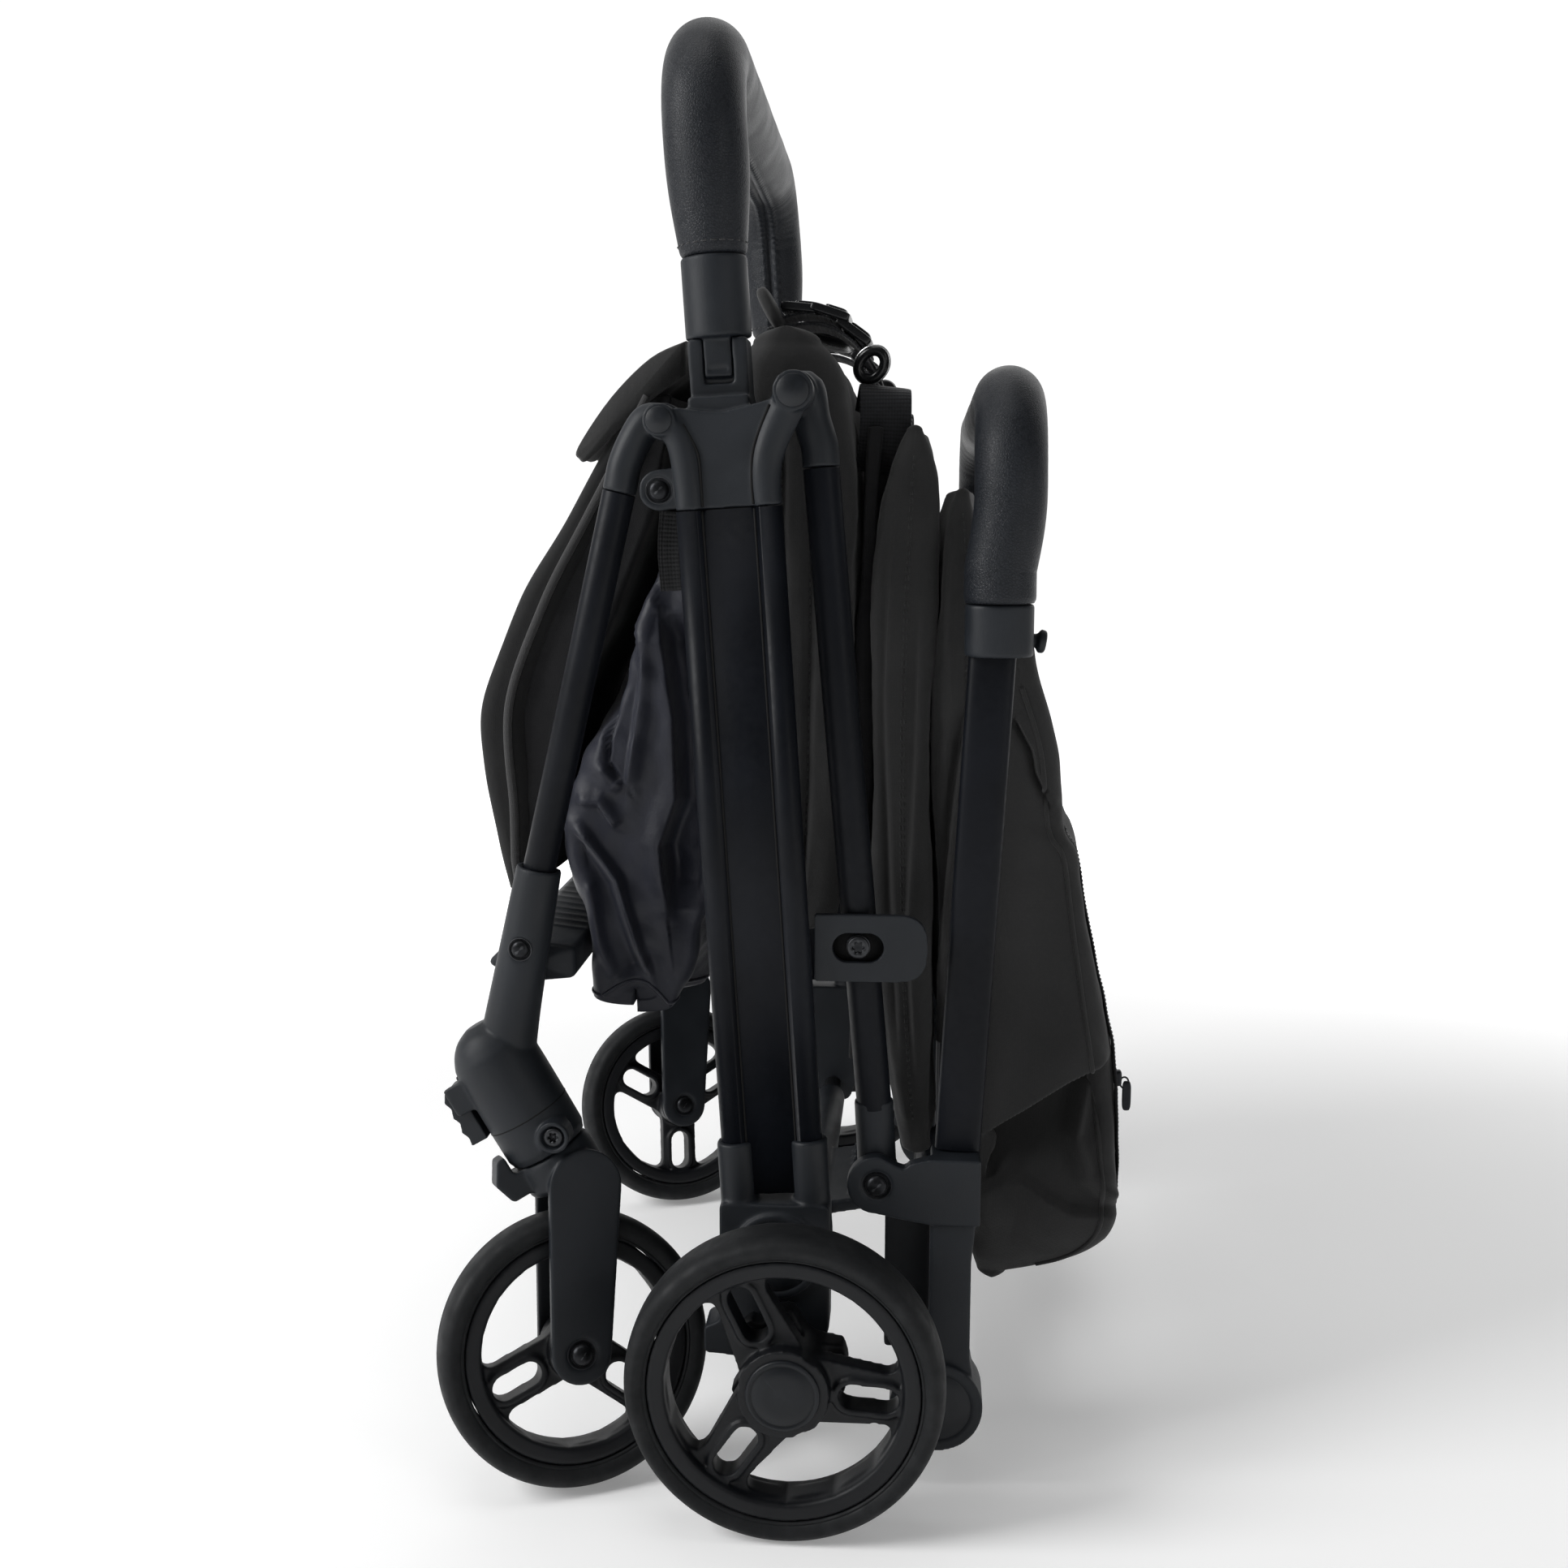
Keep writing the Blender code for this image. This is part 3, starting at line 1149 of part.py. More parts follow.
def make_handle_bracket(side, fold):
    py, pz = MID_PIVOT
    inner = FOLD_PLANE_X + LINK_TUBE_RADIUS + PLANE_GAP
    outer = inner + BRACKET_PLATE
    front_y = BAR_LOW[0] - BAR_DEPTH / 2 - 0.0020
    rear_y = BAR_LOW[0] + BAR_DEPTH / 2
    top = BAR_LOW[1] - FACE_GAP
    low = top - BRACKET_HEIGHT
    lobe = arc(MID_PIVOT, BRACKET_LOBE_RADIUS, 90, 270, 8)
    edge = [(py + 0.012, low + 0.0025), (front_y, low), (rear_y, low), (rear_y, top), (front_y, top)]
    edge.append((front_y - 0.013, top - 0.0022))
    shape = side.put(prism(lobe + edge, inner, outer))
    bracket = Piece("handle_bracket_" + side.letter, shape, "plastic", fold)
    ay, az = ARM_END
    block = box_outline((front_y, rear_y), (low, top), 0.002)
    arm = rounded(
        [
            (front_y, low + 0.010, 0.0),
            (rear_y - 0.001, low + 0.010, 0.0),
            (rear_y - 0.004, low - 0.020, 0.010),
            (rear_y - 0.004, az + 0.025, 0.010),
            (ay + 0.020, az + 0.005, 0.0),
            (ay - 0.018, az + 0.005, 0.0),
            (front_y, az + 0.030, 0.010),
        ]
    )
    inner_block = box_outline((ay - 0.027, ay + 0.002), (az + 0.018, low), 0.002)
    bridge = box_outline((front_y + 0.001, ay + 0.004), (az + 0.019, low - 0.004))
    inner_x = FOLD_PLANE_X - LINK_TUBE_RADIUS - PLANE_GAP
    bracket.join(
        side.put(prism(block, ARM_INNER_X, outer - 0.0004)),
        side.put(prism(arm, ARM_INNER_X - 0.0002, ARM_OUTER_X)),
        side.put(pin_along_x(ARM_END, ARM_INNER_X - 0.0006, outer + 0.0010, ARM_DISC_RADIUS, COLLAR_SIDES)),
        side.put(prism(inner_block, ARM_BLOCK_X, inner_x)),
        side.put(prism(bridge, ARM_BLOCK_X + 0.004, ARM_INNER_X + 0.004)),
    )
    run = bar_direction()
    foot = side_point(BAR_LOW)
    plug_size = (BAR_WIDTH / 2 - TUBE_WALL - PLUG_GAP, BAR_DEPTH / 2 - TUBE_WALL - PLUG_GAP)
    plug_path = [foot - run * 0.004, foot + run * TUBE_PLUG_LENGTH]
    seat_radius = CROSS_BAR_RADIUS + PLUG_GAP
    bracket.join(side.put(sweep(plug_path, [plug_size] * 2, BAR_SIDES)))
    bracket.cut(
        side.put(pivot_hole(MID_PIVOT, inner - PAST, outer + PAST)),
        side.put(pin_along_x(ARM_END, ARM_BLOCK_X - PAST, CROSS_BAR_END_X + PLUG_GAP, seat_radius)),
    )
    shank_x = (FOLD_PLANE_X - LINK_TUBE_RADIUS, outer + FACE_GAP)
    shank = pin_along_x(MID_PIVOT, *shank_x, PIVOT_PIN_RADIUS, TUBE_SIDES)
    bolt = Piece("mid_pivot_bolt_" + side.letter, side.put(shank), "bolt", fold)
    head = moved(bolt_dome(MID_BOLT_HEAD, MID_BOLT_RISE), Matrix.Translation((shank_x[1], *MID_PIVOT)))
    bolt.join(side.put(head))


def make_cross_bar(fold):
    ends = [Vector((-CROSS_BAR_END_X, *ARM_END)), Vector((CROSS_BAR_END_X, *ARM_END))]
    shape = sweep(ends, CROSS_BAR_RADIUS, BOSS_SIDES, CROSS_BAR_RADIUS - TUBE_WALL)
    Piece("handle_cross_bar", shape, "paint", fold)


def make_handle_bar(side, fold):
    run = bar_direction()
    start = side_point(BAR_LOW) + run * FACE_GAP
    end = side_point(BAR_TOP) + run * BAR_DEPTH_IN_COLLAR
    outer = (BAR_WIDTH / 2, BAR_DEPTH / 2)
    bore = (BAR_WIDTH / 2 - TUBE_WALL, BAR_DEPTH / 2 - TUBE_WALL)
    shape = side.put(sweep([start, end], [outer] * 2, BAR_SIDES, [bore] * 2))
    Piece("handle_bar_" + side.letter, shape, "paint", fold)


def make_handle_collar(side, fold):
    run = bar_direction()
    low = Vector((FOLD_PLANE_X, COLLAR_Y, COLLAR_LOW_Z))
    top = Vector((FOLD_PLANE_X, COLLAR_Y, COLLAR_LOW_Z + COLLAR_LENGTH))
    size = (COLLAR_WIDTH / 2, COLLAR_DEPTH / 2)
    shape = side.put(sweep([low, top], [size] * 2, COLLAR_SIDES))
    collar = Piece("handle_collar_" + side.letter, shape, "plastic", fold)
    up = Vector((0, 0, 1))
    stud = Vector((FOLD_PLANE_X - 0.008, COLLAR_Y + COLLAR_DEPTH / 2 - 0.004, COLLAR_LOW_Z + 0.008))
    knob = [stud + Vector((0, reach, -0.15 * reach)) for reach in (0.0, 0.0060, 0.0068, 0.0105)]
    knob_radii = [KNOB_RADIUS * share for share in (0.52, 0.58, 1.0, 0.76)]
    collar.join(
        side.put(rod(top - up * 0.003, top + up * PLUG_STUB_LENGTH, GRIP_BORE - 2 * PLUG_GAP)),
        side.put(sweep(knob, knob_radii)),
    )
    gap = PLUG_GAP
    hole = (BAR_WIDTH / 2 + gap, BAR_DEPTH / 2 + gap)
    start = side_point(BAR_TOP) - run * PAST
    end = side_point(BAR_TOP) + run * (BAR_DEPTH_IN_COLLAR + gap)
    collar.cut(side.put(sweep([start, end], [hole] * 2, BAR_SIDES)))


def grip_path():
    """The push grip's U, from the left end to the right end."""
    low = COLLAR_LOW_Z + COLLAR_LENGTH + FACE_GAP
    top_y, top = GRIP_TOP
    half = []
    straight = low + PLUG_STUB_LENGTH
    for x, z in bend_path(FOLD_PLANE_X, low, top, GRIP_BEND, 3, 4):
        share = min(1.0, max(0.0, (z - straight) / (top - GRIP_BEND - straight)))
        half.append((x, COLLAR_Y + (top_y - COLLAR_Y) * math.sin(share * math.pi / 2), z))
    return whole_bar(half)


GRIP_TO_SKY = Matrix(((0, 1, 0, 0), (0, 0, 1, 0), (1, 0, 0, 0), (0, 0, 0, 1)))


def make_handle_grip(fold):
    grip = Piece("handle_grip", sweep(grip_path(), GRIP_RADIUS, GRIP_SIDES, GRIP_BORE), "leather", fold)
    place = Matrix.Translation((0, *GRIP_TOP))
    recess = stadium((0, 0), BUTTON_LENGTH + 2 * PIN_GAP, BUTTON_WIDTH + 2 * PIN_GAP)
    grip.cut(moved(prism(recess, GRIP_BORE / 3, GRIP_RADIUS * 2), place @ GRIP_TO_SKY))
    press = joint("button_axis", (0, *GRIP_TOP))
    hang(press, fold)
    outline = stadium((0, 0), BUTTON_LENGTH, BUTTON_WIDTH)
    button = moved(prism(outline, GRIP_BORE * 0.6, GRIP_RADIUS + BUTTON_STAND), place @ GRIP_TO_SKY)
    Piece("release_button", button, "plastic", press)


# Brake bar


def make_brake():
    axis = joint("brake_axis", (0, *REAR_AXLE))
    y, z = REAR_AXLE
    bore = REAR_AXLE_RADIUS + PIN_GAP
    half = BRAKE_HALF_LENGTH
    ends = [Vector((-half, y, z)), Vector((half, y, z))]
    bar = Piece("brake_pedal", sweep(ends, BRAKE_SLEEVE_RADIUS, BOSS_SIDES, bore), "plastic", axis)
    reach = y + BRAKE_PEDAL_REACH
    lift = z + 0.010
    outline = rounded(
        [
            (y + bore + 0.0012, z - 0.0020, 0.0),
            (reach, lift - 0.0040, 0.002),
            (reach, lift + 0.0030, 0.002),
            (y + bore + 0.0012, z + 0.0060, 0.0),
        ]
    )
    bar.join(prism(outline, -BRAKE_PEDAL_WIDTH / 2, BRAKE_PEDAL_WIDTH / 2))


# Cloth


def inset(levels, wall, pleat_depth, ripple, open_low=True):
    """Levels of the space inside a bundle's walls, running out of its low or its high end."""
    inside = []
    for z, front, rear, half in levels:
        depth = rear - front
        skin = min(wall, 0.2 * depth) + min(ripple, RIPPLE_SHARE * depth)
        inside.append((z, front + skin, rear - skin, half - wall - pleat_depth))
    shift = -2 * wall if open_low else 2 * wall
    inside[0] = (inside[0][0] + shift, *inside[0][1:])
    inside[-1] = (inside[-1][0] + shift, *inside[-1][1:])
    return inside


def strap(path, thickness, x0, x1):
    """A flat band that follows a side-view path, from x0 to x1."""
    points = [Vector(point) for point in path]
    upper, lower = [], []
    for i, point in enumerate(points):
        run = points[min(i + 1, len(points) - 1)] - points[max(i - 1, 0)]
        square = Vector((-run.y, run.x)).normalized() * (thickness / 2)
        upper.append(tuple(point + square))
        lower.append(tuple(point - square))
    return prism(upper + lower[::-1], x0, x1)


def make_front_drape(fold):
    """The cloth that hangs in front of the front legs, with the flap that tops it."""
    half = CLOTH_HALF_WIDTH
    levels = [
        (0.2900, -0.1465, -0.1370, half - 0.010),
        (0.3350, -0.1535, -0.1330, half),
        (0.3900, -0.1560, -0.1330, half),
        (0.4420, -0.1360, -0.1120, half),
        (0.4850, -0.1120, -0.0860, half),
        (0.5200, -0.0920, -0.0640, half),
        (0.5480, -0.0740, -0.0560, half),
    ]
    drape = Piece("front_drape", bundle(levels, 1, 0.005, 0.003, 2), "cloth", fold)
    flap = [(-0.0510, 0.5760), (-0.0680, 0.5650), (-0.0880, 0.5455), (-0.1060, 0.5200), (-0.1010, 0.5135)]
    flap += [(-0.0860, 0.5270), (-0.0690, 0.5420), (-0.0500, 0.5560)]
    drape.join(prism(flap, -half - 0.002, half + 0.002))
    drape.cut(bundle(inset(levels, CLOTH_WALL, 0.005, 0.003), 1, 0.0, 0.0, 1))


def make_basket():
    """The basket's cloth, folded between the front legs and the rear legs."""
    half = CLOTH_HALF_WIDTH
    levels = [
        (0.2320, -0.0860, -0.0600, half - 0.012),
        (0.2600, -0.1000, -0.0440, half - 0.002),
        (0.3000, -0.1060, -0.0360, half),
        (0.3400, -0.1040, -0.0340, half),
        (0.3900, -0.0900, -0.0340, half),
        (0.4400, -0.0740, -0.0350, half - 0.002),
        (0.4800, -0.0640, -0.0380, half - 0.010),
    ]
    basket = Piece("basket", bundle(levels, 3, 0.010, 0.006, 4), "basket cloth")
    basket.cut(bundle(inset(levels, CLOTH_WALL, 0.010, 0.006), 1, 0.0, 0.0, 1))


def make_seat_pad():
    """The folded seat, domed over the top of the frame."""
    half = CLOTH_HALF_WIDTH
    levels = [
        (0.2800, -0.0180, 0.0240, half - 0.006),
        (0.3400, -0.0260, 0.0320, half),
        (0.4200, -0.0290, 0.0350, half),
        (0.5000, -0.0290, 0.0350, half),
        (0.5450, -0.0270, 0.0290, half),
        (0.5660, -0.0220, 0.0220, half - 0.003),
        (0.5780, -0.0120, 0.0080, half - 0.010),
    ]
    pad = Piece("seat_pad", bundle(levels, 2, 0.006, 0.003, 2), "cloth")
    pad.cut(bundle(inset(levels, CLOTH_WALL * 2, 0.006, 0.003), 1, 0.0, 0.0, 1))


def make_canopy(fold):
    """The canopy and backrest cloth, folded in upright panels with two peaks."""
    half = CLOTH_HALF_WIDTH
    front = [
        (0.1520, 0.0600, 0.0800, half - 0.030),
        (0.1900, 0.0540, 0.0860, half - 0.010),
        (0.2600, 0.0470, 0.0880, half),
        (0.3500, 0.0430, 0.0860, half),
        (0.4300, 0.0435, 0.0820, half),
        (0.4850, 0.0480, 0.0760, half),
        (0.5150, 0.0540, 0.0710, half - 0.004),
        (0.5320, 0.0600, 0.0670, half - 0.012),
    ]
    rear = [
        (0.2100, 0.0760, 0.0960, half - 0.012),
        (0.2700, 0.0760, 0.0980, half - 0.002),
        (0.3600, 0.0760, 0.1000, half),
        (0.4400, 0.0760, 0.0990, half),
        (0.4850, 0.0790, 0.0960, half - 0.004),
        (0.5040, 0.0850, 0.0920, half - 0.012),
    ]
    canopy = Piece("canopy", bundle(front, 2, 0.008, 0.003, 3), "cloth", fold)
    canopy.join(bundle(rear, 1, 0.005, 0.003, 2))
    canopy.cut(bundle(inset(front, CLOTH_WALL, 0.008, 0.003), 1, 0.0, 0.0, 1))
    canopy.cut(bundle(inset(rear, CLOTH_WALL, 0.005, 0.003), 1, 0.0, 0.0, 1))


def make_back_pocket(fold):
    """The storage pocket on the back: its cloth slants out to a heavy bottom edge."""
    half = CLOTH_HALF_WIDTH
    levels = [
        (0.0920, 0.0980, 0.1240, half - 0.020),
        (0.1060, 0.0960, 0.1600, half - 0.006),
        (0.1300, 0.0950, 0.1750, half + 0.002),
        (0.2000, 0.0970, 0.1690, half + 0.006),
        (0.2760, 0.1020, 0.1560, half + 0.006),
        (0.3500, 0.1035, 0.1400, half + 0.003),
        (0.4050, 0.1060, 0.1260, half),
        (0.4240, 0.1070, 0.1250, half - 0.008),
    ]
    pocket = Piece("back_pocket", bundle(levels, 1, 0.006, 0.004, 3), "cloth", fold)
    pocket.cut(bundle(inset(levels, CLOTH_WALL, 0.006, 0.004, open_low=False), 1, 0.0, 0.0, 1))


def make_harness():
    """Two shoulder straps over the seat's dome, a belt between them, and the buckle."""
    over = [(-0.0140, 0.5820), (0.0060, 0.5845), (0.0200, 0.5820), (0.0320, 0.5740), (0.0430, 0.5600)]
    down = [(0.0460, 0.5430), (0.0440, 0.5230), (0.0405, 0.5000), (0.0390, 0.4780)]
    width = STRAP_WIDTH
    inner = STRAP_INNER_X
    webbing = Piece("harness_webbing", strap(over + down, STRAP_THICKNESS, inner, inner + width), "cloth")
    belt = [over[-1], down[0], down[1]]
    webbing.join(
        strap(over + down, STRAP_THICKNESS, -inner - width, -inner),
        strap(belt, STRAP_THICKNESS * 1.3, -inner - width / 2, inner + width / 2),
    )
    outline = rounded(
        [
            (-0.0100, 0.5800, 0.001),
            (0.0260, 0.5800, 0.003),
            (0.0300, 0.5890, 0.003),
            (0.0120, 0.5990, 0.004),
            (-0.0100, 0.5970, 0.004),
        ]
    )
    Piece("harness_buckle", prism(outline, -BUCKLE_HALF_WIDTH, BUCKLE_HALF_WIDTH), "plastic")


def build():
    clear_scene()
    front_fold = joint("front_leg_axis", (0, *FRONT_PIVOT))
    link_fold = joint("link_axis", (0, *LINK_PIVOT))
    handle_fold = joint("handle_axis", (0, *MID_PIVOT))
    hang(handle_fold, link_fold)
    slide = joint("bumper_axis", bumper_axis_point(0.0, SOCKET_HEIGHT), Matrix.Rotation(LEG_LEAN, 4, "X"))
    for side in (Side(1), Side(-1)):
        make_head(side)
        make_rear_leg(side)
        make_rear_foot(side)
        make_rear_wheel(side)
        make_bumper_collar(side, slide)
        make_front_elbow(side, front_fold)
        make_front_tube(side, front_fold)
        make_castor_housing(side, front_fold)
        make_swivel_lock(side, front_fold)
        make_castor(side, front_fold)
        make_link_elbow(side, link_fold)
        make_link_tube(side, link_fold)
        make_link_sleeve(side, link_fold)
        make_handle_bracket(side, handle_fold)
        make_handle_bar(side, handle_fold)
        make_handle_collar(side, handle_fold)
    make_rear_axle()
    make_brake()
    make_bumper_grip(slide)
    make_footrest(front_fold)
    make_latch(link_fold)
    make_cross_bar(handle_fold)
    make_handle_grip(handle_fold)
    make_front_drape(front_fold)
    make_basket()
    make_seat_pad()
    make_canopy(link_fold)
    make_back_pocket(handle_fold)
    make_harness()


build()
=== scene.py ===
"""Looks of the compact stroller, folded: smooth mouldings, tubes, wheels, grips, cloth and webbing.

Metres throughout. +X is the stroller's left side, -Y its front, +Z up. Side-view points are written (y, z).
Left pieces are made at +X and mirrored for the right, except the castors, which both turn one way.
"""

import math

import bpy
import numpy as np
from mathutils import Matrix


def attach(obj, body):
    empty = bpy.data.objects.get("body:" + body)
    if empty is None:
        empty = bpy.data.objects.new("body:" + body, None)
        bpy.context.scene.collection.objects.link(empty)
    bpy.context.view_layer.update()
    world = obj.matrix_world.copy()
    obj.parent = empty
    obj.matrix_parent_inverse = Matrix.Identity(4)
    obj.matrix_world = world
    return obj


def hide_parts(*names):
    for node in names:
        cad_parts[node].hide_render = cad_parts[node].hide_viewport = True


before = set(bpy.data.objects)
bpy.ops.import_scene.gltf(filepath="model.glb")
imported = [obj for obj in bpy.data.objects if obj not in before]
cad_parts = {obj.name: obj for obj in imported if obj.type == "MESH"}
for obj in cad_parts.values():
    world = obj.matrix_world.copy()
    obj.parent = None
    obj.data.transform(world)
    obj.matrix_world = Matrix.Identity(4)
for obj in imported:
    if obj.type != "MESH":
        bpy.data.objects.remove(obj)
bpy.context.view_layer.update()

# Sizes of the frame, as in the solids
FRONT_PIVOT = (-0.0550, 0.5300)
LINK_PIVOT = (0.0073, 0.5430)
MID_PIVOT = (0.0489, 0.1580)
REAR_AXLE = (0.0070, 0.0770)
ARM_END = (0.0797, 0.0420)
LEG_PLANE_X = 0.1990
LEG_TUBE_RADIUS = 0.0070
LEG_HALF_SPACING = 0.0182
LEG_WEB_HALF = 0.0040
LEG_TOP = (-0.0227, 0.4844)
LEG_LOW = (-0.0036, 0.1862)
LEG_SEAM_Z = 0.4897
LEG_FOOT_Z = 0.1500
LEG_LEAN = math.atan2(LEG_LOW[0] - LEG_TOP[0], LEG_TOP[1] - LEG_LOW[1])
FOLD_PLANE_X = 0.18265
LINK_TUBE_RADIUS = 0.00875
LINK_ELBOW_END = (0.0192, 0.5090)
LINK_TUBE_END = (0.0467, 0.1970)
FRONT_TUBE_RADIUS = 0.0080
FRONT_TUBE_TOP = (-0.0780, 0.4975)
FRONT_TUBE_END = (-0.1212, 0.3126)
FRONT_SLEEVE_LOW = (-0.1356, 0.2413)
SOCKET_MIDDLE_X = 0.1750
SOCKET_TOP = 0.0690
BUMPER_COLLAR_RADIUS = 0.01585
BUMPER_COLLAR_LENGTH = 0.0382
BUMPER_GRIP_RADIUS = 0.0200
BUMPER_HEIGHT = 0.2250
BUMPER_BEND = 0.0440
CASTOR_POINT = (-0.0729, 0.0867)
CASTOR_LEAN = math.radians(30.0)
CASTOR_SWIVEL = math.radians(26.8)
CASTOR_TRAIL = 0.0410
COLLAR_RADIUS = 0.0215
COLLAR_TOP = 0.1660
CASTOR_SEAT = 0.0923
FORK_INNER = 0.0160
FORK_OUTER = 0.0220
REAR_WHEEL_X = 0.2460
BAR_LOW = (0.0889, 0.1726)
BAR_TOP = (0.1017, 0.4190)
HANDLE_COLLAR_Y = 0.1047
HANDLE_COLLAR_LOW = 0.4195
HANDLE_COLLAR_LENGTH = 0.0252
HANDLE_GRIP_RADIUS = 0.01725
HANDLE_GRIP_TOP = (0.1090, 0.5420)
HANDLE_GRIP_BEND = 0.0450
CLOTH_HALF = 0.1480
FOOTREST_HALF = 0.1688
AXLE_HALF = 0.2548
LOWER_BAR_HALF = 0.190
BRAKE_BAR_HALF = 0.160
LUG_POINT = (-0.0570, 0.4980)
LUG_TOP_X = 0.1938
HEAD_OUTER_X = 0.2061
SUSPENSION_POINT = (-0.0005, 0.1240)
LATCH_SCREW = (0.0388, 0.2779)
BRACKET_INNER_X = 0.19200
BRACKET_OUTER_X = 0.20000
SOCKET_INNER_X = 0.1630
SOCKET_OUTER_X = 0.1870
FOOT_INNER_X = 0.1880
FOOT_OUTER_X = 0.2090
FOOT_SLEEVE_RADIUS = 0.0093
FOOT_SLEEVE_TOP_Z = 0.1810
BAR_HALF_SIZES = (0.0060, 0.0114)
BAR_SQUARENESS = 3.2
# Wheels: outer radius, the radius where tyre and rim meet, and the tyre's width
REAR_TYRE = (0.0770, 0.0653, 0.0280)
FRONT_TYRE = (0.0688, 0.0565, 0.0260)
# Hubs: radius and half length
REAR_HUB = (0.0220, 0.0130)
FRONT_HUB = (0.0150, 0.0154)
# Rims: depth of the ring, half thickness of the web, half width of a spoke, and its slot
RIM_DEPTH = 0.0085
WEB_HALF = 0.0050
SPOKE_HALF = 0.0110
SLOT_WIDTH = 0.0124
# The rib round that slot: its width, and how much longer than the slot it is
SLOT_RIB_WIDTH = 0.0186
SLOT_RIB_LONGER = 0.0062
GAP = 0.0004
# The length at each end of a cross piece over which its section is drawn in
ROUNDED_END = 0.003

# Net of the mouldings: its pitch, and how often it is smoothed, which rounds the edges
MOULD_PITCH = 0.0009
MOULD_FACES_KEPT = 0.55
MOULD_SOFTENING = 5

# The camera that was fitted to the photograph: its lens in pixels of the picture, its place and its angles
PICTURE_PIXELS = 1932.0
LENS_PIXELS = 2080.0
SENSOR_WIDTH = 36.0
CAMERA_PLACE = (0.997, 0.068, 0.4833)
CAMERA_PITCH = 0.1541
CAMERA_YAW = 0.0815

# Raised seams of the grips: two ridges and the groove between them
RIDGE_HEIGHT = 0.00150
RIDGE_SPREAD = 0.0017
GROOVE_DEPTH = 0.0016
GROOVE_SPREAD = 0.0013

# Height over which the bumper's grip widens above its collar
GRIP_WIDENS_OVER = 0.050

# Distance between the points of swept lines on grips and on cloth
GRIP_STEP = 0.0016
CLOTH_STEP = 0.0015

# Columns of a bundle of cloth: on its corners, on its sides where it isn't said, and on those of two pieces
CLOTH_CORNER = 7
CLOTH_SIDE = 46
POCKET_SIDE = 76
DRAPE_SIDE = 30

# Strength of the white that the camera sees past the floor, of the wall behind, and of the room round it
WHITE_STRENGTH = 1.05
WALL_STRENGTH = 1.05
ROOM_STRENGTH = 0.12
FLOOR_HALF = 6.0
LAMP_AIM = (0.0, 0.0, 0.35)


# Surfaces


class Surface:
    """Points, faces of four and of three corners, and each face corner's place on the cloth laid flat."""

    def __init__(self, points, quads, quad_flat, triangles, triangle_flat):
        self.points = points
        self.quads = quads
        self.quad_flat = quad_flat
        self.triangles = triangles
        self.triangle_flat = triangle_flat

    def volume(self):
        """Six times the signed volume: the sum of corner products over the faces, each fanned."""
        p = self.points
        total = 0.0
        for faces in (self.quads[:, :3], self.quads[:, [0, 2, 3]], self.triangles):
            a, b, c = p[faces[:, 0]], p[faces[:, 1]], p[faces[:, 2]]
            total += float(np.einsum("ij,ij->i", a, np.cross(b, c)).sum())
        return total

    def turned_over(self):
        return Surface(
            self.points, self.quads[:, ::-1], self.quad_flat[:, ::-1],
            self.triangles[:, ::-1], self.triangle_flat[:, ::-1],
        )

    def outward(self):
        return self if self.volume() > 0 else self.turned_over()

    def placed(self, matrix):
        moved = self.points @ matrix[:3, :3].T + matrix[:3, 3]
        return Surface(moved, self.quads, self.quad_flat, self.triangles, self.triangle_flat)


def merged(*surfaces):
    """Several surfaces as one, each kept whole."""
    start = np.cumsum([0] + [len(s.points) for s in surfaces])
    return Surface(
        np.vstack([s.points for s in surfaces]),
        np.vstack([s.quads + n for s, n in zip(surfaces, start)]),
        np.vstack([s.quad_flat for s in surfaces]),
        np.vstack([s.triangles + n for s, n in zip(surfaces, start)]),
        np.vstack([s.triangle_flat for s in surfaces]),
    )


def lengths(points, axis):
    """Mean distance run along an axis of a grid of points, from 0, with the way back to the first as last."""
    closing = np.take(points, [0], axis=axis)
    steps = np.linalg.norm(np.diff(points, axis=axis, append=closing), axis=2).mean(1 - axis)
    return np.concatenate([[0.0], np.cumsum(steps)])


def grid(points, around=True, looped=False, capped=True):
    """A surface over rows and columns of points.

    Around joins the last column to the first, looped the last row to the first, and capped closes the first
    and last rows with a fan about their middle.
    """
    rows, columns = points.shape[:2]
    u, v = lengths(points, 1), lengths(points, 0)
    tall = rows if looped else rows - 1
    wide = columns if around else columns - 1
    i, j = (index.ravel() for index in np.meshgrid(np.arange(tall), np.arange(wide), indexing="ij"))
    below, beside = (i + 1) % rows, (j + 1) % columns
    quads = np.stack(
        [i * columns + j, i * columns + beside, below * columns + beside, below * columns + j], 1
    )
    flat = np.stack(
        [[u[j], v[i]], [u[j + 1], v[i]], [u[j + 1], v[i + 1]], [u[j], v[i + 1]]]
    ).transpose(2, 0, 1)
    shape = Surface(points.reshape(-1, 3), quads, flat, np.zeros((0, 3), int), np.zeros((0, 3, 2)))
    if capped and not looped:
        k = np.arange(columns)
        after = (k + 1) % columns
        for row, sign in ((0, -1.0), (rows - 1, 1.0)):
            middle = points[row].mean(0)
            index = len(shape.points)
            rim = [row * columns + after, row * columns + k] if sign < 0 else [
                row * columns + k, row * columns + after
            ]
            fan = np.stack([*rim, np.full(columns, index)], 1)
            corners = points.reshape(-1, 3)[fan[:, :2]]
            spread = np.concatenate([corners, np.broadcast_to(middle, (columns, 1, 3))], 1) - middle
            varied = np.argsort(np.ptp(points[row], axis=0))[::-1][:2]
            shape.points = np.vstack([shape.points, middle])
            shape.triangles = np.vstack([shape.triangles, fan])
            shape.triangle_flat = np.concatenate([shape.triangle_flat, spread[:, :, varied]])
    if looped or capped:
        return shape.outward()
    return shape


